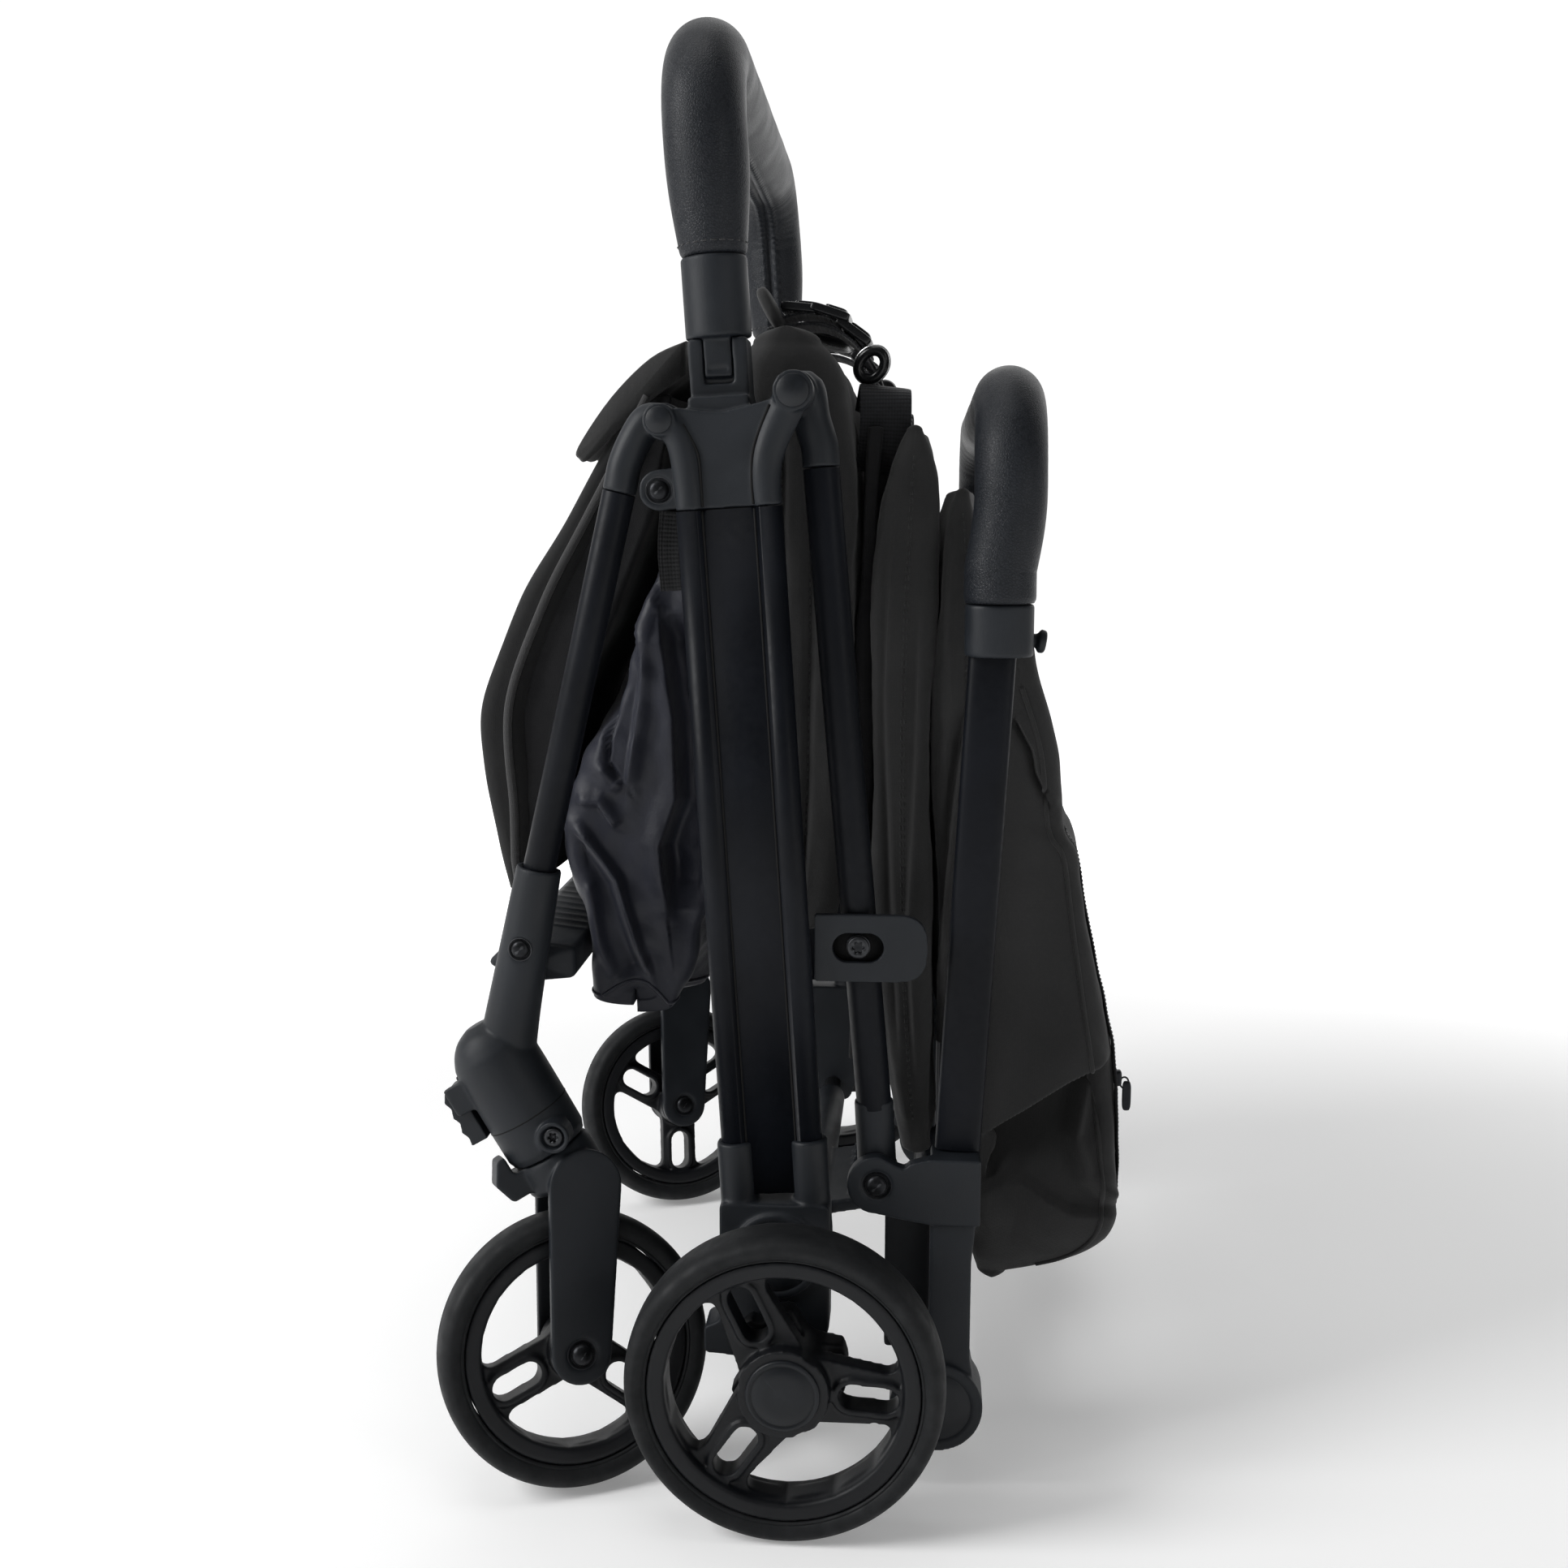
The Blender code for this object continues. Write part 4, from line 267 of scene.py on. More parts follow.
def smooth_line(points, steps=6):
    """A curve through the points: Catmull-Rom, with the end points repeated."""
    p = np.asarray(points, float)
    p = np.vstack([p[:1], p, p[-1:]])
    a, b, c, d = (q[:, None] for q in (p[:-3], p[1:-2], p[2:-1], p[3:]))
    t = (np.arange(steps) / steps)[None, :, None]
    curve = b + (c - a) * 0.5 * t + (2 * a - 5 * b + 4 * c - d) * 0.5 * t**2 + (
        3 * b - a - 3 * c + d
    ) * 0.5 * t**3
    return np.vstack([curve.reshape(-1, p.shape[1]), p[-1:]])


def run_of(line):
    """Distance run along a line, at each of its points."""
    return np.concatenate([[0.0], np.cumsum(np.linalg.norm(np.diff(line, axis=0), axis=1))])


def evenly(line, pitch):
    """The line's points again, at equal distances close to the pitch."""
    run = run_of(line)
    at = np.linspace(0.0, run[-1], max(2, int(round(run[-1] / pitch)) + 1))
    return np.stack([np.interp(at, run, line[:, k]) for k in range(line.shape[1])], 1)


def unit(vectors):
    """The vectors at length one."""
    return vectors / np.linalg.norm(vectors, axis=-1, keepdims=True)


def frames_along(path, across):
    """Directions along, across and square to both, at each point of a path."""
    ahead = unit(np.gradient(path, axis=0))
    side = np.broadcast_to(np.asarray(across, float), path.shape)
    side = unit(side - ahead * np.sum(side * ahead, axis=1, keepdims=True))
    return ahead, side, np.cross(ahead, side)


def swept(path, radii, sides=48, across=(1, 0, 0), power=2.0, relief=None, angles=None):
    """A rod along a path: point + across * a * cos(angle) + up * b * sin(angle).

    Radii a and b are one number, a pair, or a pair for each point. The power squares the section off: each of
    cos and sin is raised to 2 / power, with its sign kept. Relief is added along the section's radius.
    """
    path = np.asarray(path, float)
    _, side, up = frames_along(path, across)
    size = np.zeros((len(path), 2)) + np.asarray(radii, float)
    if angles is None:
        angles = 2 * np.pi * (np.arange(sides) + 0.5) / sides
    cos, sin = np.cos(angles), np.sin(angles)
    wide = np.sign(cos) * np.abs(cos) ** (2 / power)
    high = np.sign(sin) * np.abs(sin) ** (2 / power)
    reach_side = size[:, :1] * wide
    reach_up = size[:, 1:] * high
    if relief is not None:
        reach_side = reach_side + relief * cos
        reach_up = reach_up + relief * sin
    points = path[:, None] + side[:, None] * reach_side[..., None] + up[:, None] * reach_up[..., None]
    return grid(points)


def stick(start, end, radius, edge=0.0006, sides=48, across=(1, 0, 0), power=2.0):
    """A straight rod with rounded ends: near an end the radius drops by edge * (1 - cos) over a quarter."""
    start, end = np.asarray(start, float), np.asarray(end, float)
    length = np.linalg.norm(end - start)
    turn = np.linspace(0, np.pi / 2, 4)
    drop = edge * (1 - np.sin(turn))
    reach = edge * (1 - np.cos(turn))
    reach = np.concatenate([reach, length - reach[::-1]])
    drop = np.concatenate([drop, drop[::-1]])
    share = (reach / length)[:, None]
    path = start + (end - start) * share
    size = np.zeros(2) + np.asarray(radius, float) - drop[:, None]
    return swept(path, size, sides, across, power)


def turned(profile, matrix=None, sides=64, looped=False):
    """A profile of (radius, x) points turned about X: x, radius * cos(angle), radius * sin(angle)."""
    profile = np.asarray(profile, float)
    angle = 2 * np.pi * np.arange(sides) / sides
    radius, x = profile[:, :1], profile[:, 1:]
    points = np.stack([x + 0 * angle, radius * np.cos(angle), radius * np.sin(angle)], -1)
    shape = grid(points, looped=looped, capped=not looped)
    return shape if matrix is None else shape.placed(matrix).outward()


def carried(x, sections):
    """Side-view outlines, one for each x, as rows of points."""
    across = np.broadcast_to(x[:, None, None], (*sections.shape[:2], 1))
    return np.concatenate([across, sections], -1)


def drawn_in(outline, x, half, share):
    """The outline at each x, drawn in towards its middle by a share over the last stretch to each end."""
    near = np.minimum(1.0, (half - np.abs(x)) / ROUNDED_END)
    middle = outline.mean(0)
    return middle + (outline - middle)[None] * (1 - share * (1 - near) ** 2)[:, None, None]


def prism(outline, x0, x1, edge=0.0, matrix=None):
    """A side-view outline carried from x0 to x1. Its edges are rounded: the outline is drawn in by
    edge * (1 - cos) while x runs edge * (1 - sin) past each end face."""
    outline = np.asarray(outline, float)
    ahead = unit(np.roll(outline, -1, axis=0) - np.roll(outline, 1, axis=0))
    square = np.stack([ahead[:, 1], -ahead[:, 0]], 1)
    y, z = outline[:, 0], outline[:, 1]
    if np.sum(y * np.roll(z, -1) - z * np.roll(y, -1)) < 0:
        square = -square
    turn = np.linspace(0, np.pi / 2, 4) if edge else np.array([np.pi / 2])
    inset = edge * (1 - np.sin(turn))
    past = edge * (1 - np.cos(turn)) if edge else np.array([0.0])
    inset = np.concatenate([inset, inset[::-1]])
    x = np.concatenate([x0 + past, x1 - past[::-1]])
    drawn = outline[None] - square[None] * inset[:, None, None]
    shape = grid(carried(x, drawn))
    return shape if matrix is None else shape.placed(matrix).outward()


def block(centre, size, power=6.0, matrix=None, steps=16):
    """A rounded block: each of x, y, z is half its size times cos or sin products raised to 2 / power."""
    up = np.linspace(-np.pi / 2 + 0.02, np.pi / 2 - 0.02, steps)[:, None]
    round_ = np.linspace(0, 2 * np.pi, 2 * steps, endpoint=False)[None]

    def squared(value):
        return np.sign(value) * np.abs(value) ** (2 / power)

    points = np.stack(
        [
            squared(np.cos(up)) * squared(np.cos(round_)),
            squared(np.cos(up)) * squared(np.sin(round_)),
            squared(np.sin(up)) + 0 * round_,
        ],
        -1,
    )
    shape = grid(np.asarray(centre, float) + points * np.asarray(size, float) / 2)
    return shape if matrix is None else shape.placed(matrix).outward()


def ring_tube(centre, radii, thickness, first, second, sides=64):
    """A closed ring: a round bar carried about an ellipse that the two directions span."""
    turn = 2 * np.pi * np.arange(sides) / sides
    first, second = unit(np.asarray(first, float)), unit(np.asarray(second, float))
    out = first * np.cos(turn)[:, None] * radii[0] + second * np.sin(turn)[:, None] * radii[1]
    normal = np.cross(first, second)
    away = unit(out)
    bar = 2 * np.pi * np.arange(14) / 14
    points = (np.asarray(centre, float) + out)[:, None] + thickness * (
        away[:, None] * np.cos(bar)[None, :, None] + normal[None, None] * np.sin(bar)[None, :, None]
    )
    return grid(points, looped=True, capped=False)


# Outlines in a side view


def arc(centre, radius, start, end, steps=16):
    """Points on a circle from one angle to another, in degrees from +Y towards +Z."""
    angle = np.radians(np.linspace(start, end, steps + 1))
    return np.stack([centre[0] + radius * np.cos(angle), centre[1] + radius * np.sin(angle)], 1)


def circle(centre, radius, sides=48):
    """A full circle as an outline, without the last point twice."""
    return arc(centre, radius, 0.0, 360.0 * (sides - 1) / sides, sides - 1)


def stadium(centre, length, width, turn=0.0, steps=12):
    """A slot outline: two half circles joined by straight sides, turned by an angle in degrees."""
    half = (length - width) / 2
    along = np.array([math.cos(math.radians(turn)), math.sin(math.radians(turn))])
    centre = np.asarray(centre, float)
    right = arc(centre + half * along, width / 2, turn - 90, turn + 90, steps)
    left = arc(centre - half * along, width / 2, turn + 90, turn + 270, steps)
    return np.vstack([right, left])


def tapered(top, top_radius, end, end_radius, steps=20):
    """Two circles and the straight sides that touch both."""
    run = np.asarray(end, float) - np.asarray(top, float)
    heading = math.degrees(math.atan2(run[1], run[0]))
    lean = math.degrees(math.asin((top_radius - end_radius) / np.linalg.norm(run)))
    side = 90 - lean
    first = arc(end, end_radius, heading - side, heading + side, steps)
    second = arc(top, top_radius, heading + side, heading + 360 - side, steps)
    return np.vstack([first, second])


def rounded(corners, steps=5):
    """An outline from (y, z, radius) corners, each replaced by a parabola that touches both its sides."""
    spots = np.array([corner[:2] for corner in corners], float)
    t = np.linspace(0, 1, steps + 1)[:, None]
    pieces = []
    for i, (_, _, radius) in enumerate(corners):
        corner = spots[i]
        before, after = spots[i - 1] - corner, spots[(i + 1) % len(spots)] - corner
        long_before, long_after = np.linalg.norm(before), np.linalg.norm(after)
        if radius <= 0:
            pieces.append(corner[None])
            continue
        half = math.acos(np.clip(before @ after / (long_before * long_after), -1, 1)) / 2
        reach = min(radius / max(math.tan(half), 1e-6), 0.48 * long_before, 0.48 * long_after)
        start, end = corner + before / long_before * reach, corner + after / long_after * reach
        pieces.append(start * (1 - t) ** 2 + corner * 2 * t * (1 - t) + end * t**2)
    return np.vstack(pieces)


def box_outline(y_range, z_range, radius=0.0):
    """An upright rectangle whose corners are rounded alike."""
    (y0, y1), (z0, z1) = y_range, z_range
    return rounded([(y0, z0, radius), (y1, z0, radius), (y1, z1, radius), (y0, z1, radius)])


# Places


def shift(x=0.0, y=0.0, z=0.0):
    """The matrix of a move."""
    return np.array(Matrix.Translation((x, y, z)))


def rotation(degrees, axis):
    """The matrix of a turn about an axis."""
    return np.array(Matrix.Rotation(math.radians(degrees), 4, axis))


def apply(matrix, point):
    """A point carried by a matrix."""
    return (np.asarray(matrix) @ np.array([*point, 1.0]))[:3]


def side_point(place, x=FOLD_PLANE_X):
    """A side-view (y, z) place in the plane of the folding tubes."""
    return np.array([x, place[0], place[1]])


def leg_point(z, offset=0.0):
    """The (y, z) point of the rear leg's axis at a height, moved square to the axis towards the rear."""
    run = np.array([LEG_LOW[0] - LEG_TOP[0], LEG_LOW[1] - LEG_TOP[1]])
    share = (z - LEG_TOP[1]) / run[1]
    square = unit(np.array([-run[1], run[0]])) * offset
    return (LEG_TOP[0] + run[0] * share + square[0], z + square[1])


BUMPER_PLACE = shift(0, *leg_point(0.5000, -0.0020)) @ rotation(math.degrees(LEG_LEAN), "X")
UPRIGHT = rotation(-90, "Y")
SKYWARD = np.array([[0, 1, 0, 0], [0, 0, 1, 0], [1, 0, 0, 0], [0, 0, 0, 1]], float)


def castor_place(sign, swivel=CASTOR_SWIVEL):
    """The castor's own place: Z up its leaning swivel axis, Y to the rear, X to the left."""
    lean = rotation(math.degrees(CASTOR_LEAN), "X") @ rotation(math.degrees(swivel), "Z")
    return shift(sign * FOLD_PLANE_X, *CASTOR_POINT) @ lean


# Objects


def put_in_scene(name, data):
    made = bpy.data.objects.new(name, data)
    bpy.context.scene.collection.objects.link(made)
    return made


def make_object(name, surface):
    """A smooth mesh of the surface, with the cloth's flat places as its UV map."""
    mesh = bpy.data.meshes.new(name)
    faces = surface.quads.tolist() + surface.triangles.tolist()
    mesh.from_pydata(surface.points.tolist(), [], faces)
    flat = np.concatenate([surface.quad_flat.reshape(-1, 2), surface.triangle_flat.reshape(-1, 2)])
    mesh.uv_layers.new(name="laid_flat").data.foreach_set("uv", flat.astype(np.float32).ravel())
    mesh.shade_smooth()
    return put_in_scene(name, mesh)


def bake(item):
    """The object's mesh with its modifiers worked in."""
    graph = bpy.context.evaluated_depsgraph_get()
    graph.update()
    old = item.data
    item.data = bpy.data.meshes.new_from_object(item.evaluated_get(graph))
    item.modifiers.clear()
    bpy.data.meshes.remove(old)
    item.data.name = item.name
    item.data.shade_smooth()


def mould(name, shells, cuts=(), pitch=MOULD_PITCH, softening=MOULD_SOFTENING):
    """Closed shells joined and cut, covered by a fine even net, and smoothed so that edges are rounded."""
    item = make_object(name, shells[0])
    tools = []
    for operation, group in (("UNION", shells[1:]), ("DIFFERENCE", cuts)):
        for shell in group:
            tool = make_object(name + "_tool", shell)
            tool.hide_render = True
            change = item.modifiers.new("change", "BOOLEAN")
            change.operation = operation
            change.solver = "MANIFOLD"
            change.object = tool
            tools.append(tool)
    net = item.modifiers.new("net", "REMESH")
    net.mode = "VOXEL"
    net.voxel_size = pitch
    soft = item.modifiers.new("soft", "SMOOTH")
    soft.factor = 0.5
    soft.iterations = softening
    fewer = item.modifiers.new("fewer", "DECIMATE")
    fewer.ratio = MOULD_FACES_KEPT
    bake(item)
    for tool in tools:
        bpy.data.objects.remove(tool, do_unlink=True)
    return item


def mirror_copy(item, name):
    """The same piece for the other side: every x changes its sign, and the faces are turned back outwards."""
    mesh = item.data.copy()
    mesh.name = name
    mesh.transform(Matrix.Scale(-1, 4, (1, 0, 0)))
    mesh.flip_normals()
    return put_in_scene(name, mesh)


def finished(item, finish, body, nodes=()):
    """Gives a piece its material, its body and the solids that it stands for."""
    item.data.materials.clear()
    item.data.materials.append(finish)
    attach(item, body)
    if nodes:
        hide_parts(*nodes)


def both_sides(name, item, finish, body, node=None):
    """A left piece and its mirror image. A body or node name that ends in _ takes the side's letter."""
    for letter in "LR":
        piece = item if letter == "L" else mirror_copy(item, f"{name}_R")
        piece.name = f"{name}_{letter}"
        rides = body + letter if body.endswith("_") else body
        nodes = [node + letter] if node else []
        finished(piece, finish, rides, nodes)


# Materials


class Value:
    """A shader number that takes part in sums: each operator adds one Math node."""

    def __init__(self, tree, socket):
        self.tree = tree
        self.socket = socket

    def math(self, operation, *others):
        node = self.tree.nodes.new("ShaderNodeMath")
        node.operation = operation
        for place, item in zip(node.inputs, (self, *others)):
            if isinstance(item, Value):
                self.tree.links.new(item.socket, place)
            else:
                place.default_value = item
        return Value(self.tree, node.outputs[0])

    def __add__(self, other):
        return self.math("ADD", other)

    def __mul__(self, other):
        return self.math("MULTIPLY", other)

    def sin(self):
        return self.math("SINE")

    def absolute(self):
        return self.math("ABSOLUTE")

    def ramp(self, low, high, to_low=0.0, to_high=1.0):
        """Smooth step from to_low at low to to_high at high."""
        node = self.tree.nodes.new("ShaderNodeMapRange")
        node.interpolation_type = "SMOOTHSTEP"
        self.tree.links.new(self.socket, node.inputs["Value"])
        for key, number in (("From Min", low), ("From Max", high), ("To Min", to_low), ("To Max", to_high)):
            node.inputs[key].default_value = number
        return Value(self.tree, node.outputs["Result"])


class Finish:
    """One material: a Principled shader and what feeds it."""

    def __init__(self, name, colour, roughness, **plain):
        self.material = bpy.data.materials.new(name)
        self.material.use_nodes = True
        self.tree = self.material.node_tree
        self.shader = self.tree.nodes["Principled BSDF"]
        self.shader.inputs["Base Color"].default_value = (*colour, 1.0)
        self.shader.inputs["Roughness"].default_value = roughness
        self.shader.inputs["Specular IOR Level"].default_value = 0.28
        for key, number in plain.items():
            self.shader.inputs[key.replace("_", " ").title().replace("Ior", "IOR")].default_value = number

    def node(self, kind, inputs=None, **settings):
        made = self.tree.nodes.new(kind)
        for key, setting in settings.items():
            setattr(made, key, setting)
        for key, item in (inputs or {}).items():
            if isinstance(item, Value):
                self.tree.links.new(item.socket, made.inputs[key])
            else:
                made.inputs[key].default_value = item
        return made

    def place(self):
        return Value(self.tree, self.node("ShaderNodeTexCoord").outputs["Object"])

    def laid_flat(self):
        """The piece's own flat coordinates in metres, as two numbers: round it and along it."""
        flat = Value(self.tree, self.node("ShaderNodeTexCoord").outputs["UV"])
        parts = self.node("ShaderNodeSeparateXYZ", {"Vector": flat})
        return Value(self.tree, parts.outputs["X"]), Value(self.tree, parts.outputs["Y"])

    def noise(self, size, detail=2.0):
        """Cloudy noise whose blotches are about this size, in metres."""
        inputs = {"Vector": self.place(), "Scale": 1 / size, "Detail": detail}
        return Value(self.tree, self.node("ShaderNodeTexNoise", inputs).outputs[0])

    def pebbles(self, size, feature="F1"):
        """Distance from the middle of the nearest pebble, or from its border."""
        inputs = {"Vector": self.place(), "Scale": 1 / size}
        made = self.node("ShaderNodeTexVoronoi", inputs, feature=feature)
        return Value(self.tree, made.outputs["Distance"])

    def edges(self):
        """How much an edge stands out, from a little under a half on hollows to over it on edges."""
        return Value(self.tree, self.node("ShaderNodeNewGeometry").outputs["Pointiness"])

    def colours(self, factor, low, high):
        mix = self.node("ShaderNodeMix", data_type="RGBA")
        self.tree.links.new(factor.socket, mix.inputs["Factor"])
        mix.inputs[6].default_value = (*low, 1.0)
        mix.inputs[7].default_value = (*high, 1.0)
        self.tree.links.new(mix.outputs[2], self.shader.inputs["Base Color"])

    def roughness(self, value):
        self.tree.links.new(value.socket, self.shader.inputs["Roughness"])

    def bump(self, height, depth):
        """Relief of this depth in metres, from a height between 0 and 1."""
        made = self.node("ShaderNodeBump", {"Height": height, "Distance": depth, "Strength": 1.0})
        self.tree.links.new(made.outputs["Normal"], self.shader.inputs["Normal"])
        return self.material


def painted(name, colour, lighter, roughness):
    """Satin powder paint: fine orange peel, faint clouds, thinner and paler on edges."""
    finish = Finish(name, colour, roughness, specular_ior_level=0.13)
    cloud = finish.noise(0.05, 3)
    finish.colours(cloud.ramp(0.35, 0.7) * 0.6 + finish.edges().ramp(0.53, 0.6) * 0.4, colour, lighter)
    finish.roughness(finish.noise(0.004, 3).ramp(0.2, 0.8, roughness - 0.05, roughness + 0.07))
    return finish.bump(finish.noise(0.0011, 2), 0.00004)


def moulded(name, colour, lighter, roughness, grain=0.00032, depth=0.00004):
    """Spark-textured plastic: tiny pebbles, handling clouds, and edges polished paler."""
    finish = Finish(name, colour, roughness)
    worn = finish.edges().ramp(0.52, 0.60) * finish.noise(0.006, 3).ramp(0.3, 0.7)
    finish.colours(worn * 0.55 + finish.noise(0.04, 3).ramp(0.35, 0.75) * 0.4, colour, lighter)
    finish.roughness(finish.noise(0.02, 4).ramp(0.25, 0.8, roughness - 0.06, roughness + 0.08))
    return finish.bump(finish.pebbles(grain).ramp(0.0, 0.7) * 0.7 + finish.noise(0.0007, 2) * 0.3, depth)


def rubber(name, colour, dusty):
    """Foam rubber: dull, finely pitted, dusted where the wheel has rolled."""
    finish = Finish(name, colour, 0.66)
    dust = finish.noise(0.012, 5).ramp(0.45, 0.75) * 0.6 + finish.noise(0.0016, 2).ramp(0.55, 0.8) * 0.25
    finish.colours(dust, colour, dusty)
    finish.roughness(finish.noise(0.008, 3).ramp(0.2, 0.8, 0.56, 0.76))
    return finish.bump(finish.noise(0.0005, 3) * 0.7 + finish.pebbles(0.0009) * 0.3, 0.00006)


def leatherette(name, colour, lighter):
    """Embossed leatherette: pebbles of a millimetre with creases between them, and a soft sheen."""
    finish = Finish(name, colour, 0.42, specular_ior_level=0.22)
    crease = finish.pebbles(0.0013, feature="DISTANCE_TO_EDGE").ramp(0.02, 0.22)
    finish.colours(crease * 0.7 + finish.noise(0.03, 3).ramp(0.3, 0.8) * 0.3, colour, lighter)
    finish.roughness(finish.noise(0.02, 3).ramp(0.2, 0.8, 0.38, 0.52))
    return finish.bump(crease * 0.75 + finish.noise(0.0022, 2) * 0.25, 0.00012)


def woven(name, colour, lighter, roughness, thread, depth, sheen=0.2, drift=0.05):
    """Plain weave on the piece's own flat coordinates: warp and weft swell in turn, with slubs and clouds."""
    finish = Finish(name, colour, roughness, sheen_weight=sheen, sheen_roughness=0.5)
    u, v = finish.laid_flat()
    turn = math.pi / thread
    warp, weft = (u * turn).sin().absolute(), (v * turn).sin().absolute()
    cross = (u * (turn / 2)).sin() * (v * (turn / 2)).sin()
    weave = warp * cross.ramp(-0.2, 0.2) + weft * cross.ramp(0.2, -0.2)
    cloud = finish.noise(drift, 4).ramp(0.35, 0.7)
    finish.colours(
        weave * 0.45 + cloud * 0.4 + finish.noise(0.0015, 2).ramp(0.4, 0.8) * 0.15, colour, lighter
    )
    finish.roughness(cloud * 0.1 + (roughness - 0.05))
    crumple = finish.noise(0.009, 4)
    return finish.bump(weave * depth[0] + crumple * depth[1], 1.0)


def plain_cloth(name, colour, lighter, sheen):
    """The weave that seat, curtain and hood share, each in its own grey."""
    return woven(name, colour, lighter, 0.88, 0.00055, (0.00006, 0.0005), sheen)


def ribbed_webbing(name, colour, lighter, rib):
    """Woven webbing: ribs across the strap, each broken into a row of picks that slant in turn."""
    finish = Finish(name, colour, 0.62, sheen_weight=0.12, sheen_roughness=0.5)
    u, v = finish.laid_flat()
    ribs = (v * (math.pi / rib)).sin().absolute()
    picks = (u * (math.pi / (rib * 0.8)) + ribs * 0.6).sin().absolute()
    weave = ribs * 0.65 + picks * 0.35
    finish.colours(weave * 0.7 + finish.noise(0.01, 3) * 0.3, colour, lighter)
    return finish.bump(weave, 0.00030)


def blackened(name, colour, lighter, roughness):
    """Blackened steel: glossy, with fine turning marks and paler edges."""
    finish = Finish(name, colour, roughness, metallic=0.85)
    finish.colours(finish.edges().ramp(0.50, 0.58) * 0.8 + finish.noise(0.002, 2) * 0.2, colour, lighter)
    finish.roughness(finish.noise(0.001, 3).ramp(0.2, 0.8, roughness - 0.06, roughness + 0.1))
    return finish.bump(finish.noise(0.0004, 2), 0.00001)


PAINT = painted("satin_blue_black_paint", (0.0028, 0.0035, 0.0053), (0.0064, 0.0076, 0.0110), 0.44)
PLASTIC = moulded("matt_slate_plastic", (0.0078, 0.0097, 0.0126), (0.0175, 0.0208, 0.0262), 0.50)
RIM_PLASTIC = moulded("rim_plastic", (0.0032, 0.0038, 0.0052), (0.0078, 0.0090, 0.0115), 0.48)
CAP_PLASTIC = moulded(
    "hub_cap_plastic", (0.0062, 0.0076, 0.0098), (0.0140, 0.0162, 0.0200), 0.42, 0.00022, 0.00002
)
GLOSS_PLASTIC = moulded(
    "buckle_plastic", (0.0045, 0.0048, 0.0055), (0.0120, 0.0125, 0.0140), 0.30, 0.0005, 0.00001
)
RUBBER = rubber("foam_rubber", (0.0052, 0.0060, 0.0070), (0.0135, 0.0147, 0.0160))
LEATHERETTE = leatherette("black_leatherette", (0.0066, 0.0078, 0.0104), (0.0150, 0.0172, 0.0212))
CHARCOAL = plain_cloth("charcoal_cloth", (0.0160, 0.0160, 0.0162), (0.0290, 0.0290, 0.0294), 0.1)
CURTAIN = plain_cloth("curtain_cloth", (0.0055, 0.0056, 0.0059), (0.0120, 0.0121, 0.0126), 0.05)
HOOD = plain_cloth("hood_cloth", (0.0215, 0.0215, 0.0217), (0.0380, 0.0380, 0.0384), 0.1)
LINING = woven(
    "dark_lining", (0.0045, 0.0046, 0.0054), (0.0095, 0.0096, 0.0110), 0.80, 0.0006, (0.00006, 0.0006), 0.04
)
SATIN = woven(
    "navy_satin", (0.0066, 0.0074, 0.0130), (0.0160, 0.0178, 0.0285), 0.46, 0.0004, (0.00003, 0.0005), 0.08
)
BINDING = woven(
    "binding_tape", (0.0240, 0.0240, 0.0245), (0.0420, 0.0420, 0.0430), 0.85, 0.0009, (0.00010, 0.0002)
)
WEBBING = ribbed_webbing("black_webbing", (0.0034, 0.0037, 0.0048), (0.0220, 0.0232, 0.0270), 0.0019)
ELASTIC = ribbed_webbing("ribbed_elastic", (0.0050, 0.0052, 0.0060), (0.0150, 0.0155, 0.0170), 0.0020)
THREAD = woven(
    "sewing_thread", (0.0130, 0.0130, 0.0136), (0.0260, 0.0260, 0.0270), 0.7, 0.0003, (0.00003, 0.0001)
)
STEEL = blackened("blackened_steel", (0.0090, 0.0095, 0.0110), (0.0600, 0.0620, 0.0660), 0.36)
# Painted shade: near black, for the thin rods, ring and sheet that stand in for the shade in grooves and in
# the latch slot
PAINTED_GROOVE_SHADE = Finish("painted_groove_shade", (0.0015, 0.0015, 0.0018), 0.8)
PAINTED_GROOVE_SHADE = PAINTED_GROOVE_SHADE.bump(PAINTED_GROOVE_SHADE.noise(0.001, 2), 0.00001)
BRIGHT_STEEL = blackened("bright_steel", (0.3500, 0.3550, 0.3600), (0.6000, 0.6000, 0.6000), 0.28)


# Camera, fitted to the photograph


def make_camera():
    """A camera at the fitted place, whose axes follow from its two angles."""
    data = bpy.data.cameras.new("camera")
    data.sensor_width = SENSOR_WIDTH
    data.lens = LENS_PIXELS / PICTURE_PIXELS * SENSOR_WIDTH
    data.clip_start, data.clip_end = 0.05, 20.0
    camera = put_in_scene("camera", data)
    pitch, yaw = CAMERA_PITCH, CAMERA_YAW
    right = np.array([-math.sin(yaw), math.cos(yaw), 0.0])
    ahead = np.array([-math.cos(pitch) * math.cos(yaw), -math.cos(pitch) * math.sin(yaw), -math.sin(pitch)])
    matrix = np.eye(4)
    matrix[:3, 0], matrix[:3, 1], matrix[:3, 2] = right, np.cross(right, ahead), -ahead
    matrix[:3, 3] = CAMERA_PLACE
    camera.matrix_world = Matrix(matrix.tolist())
    bpy.context.scene.camera = camera


make_camera()


# Frame: rear legs, link tubes, front tubes and handle bars


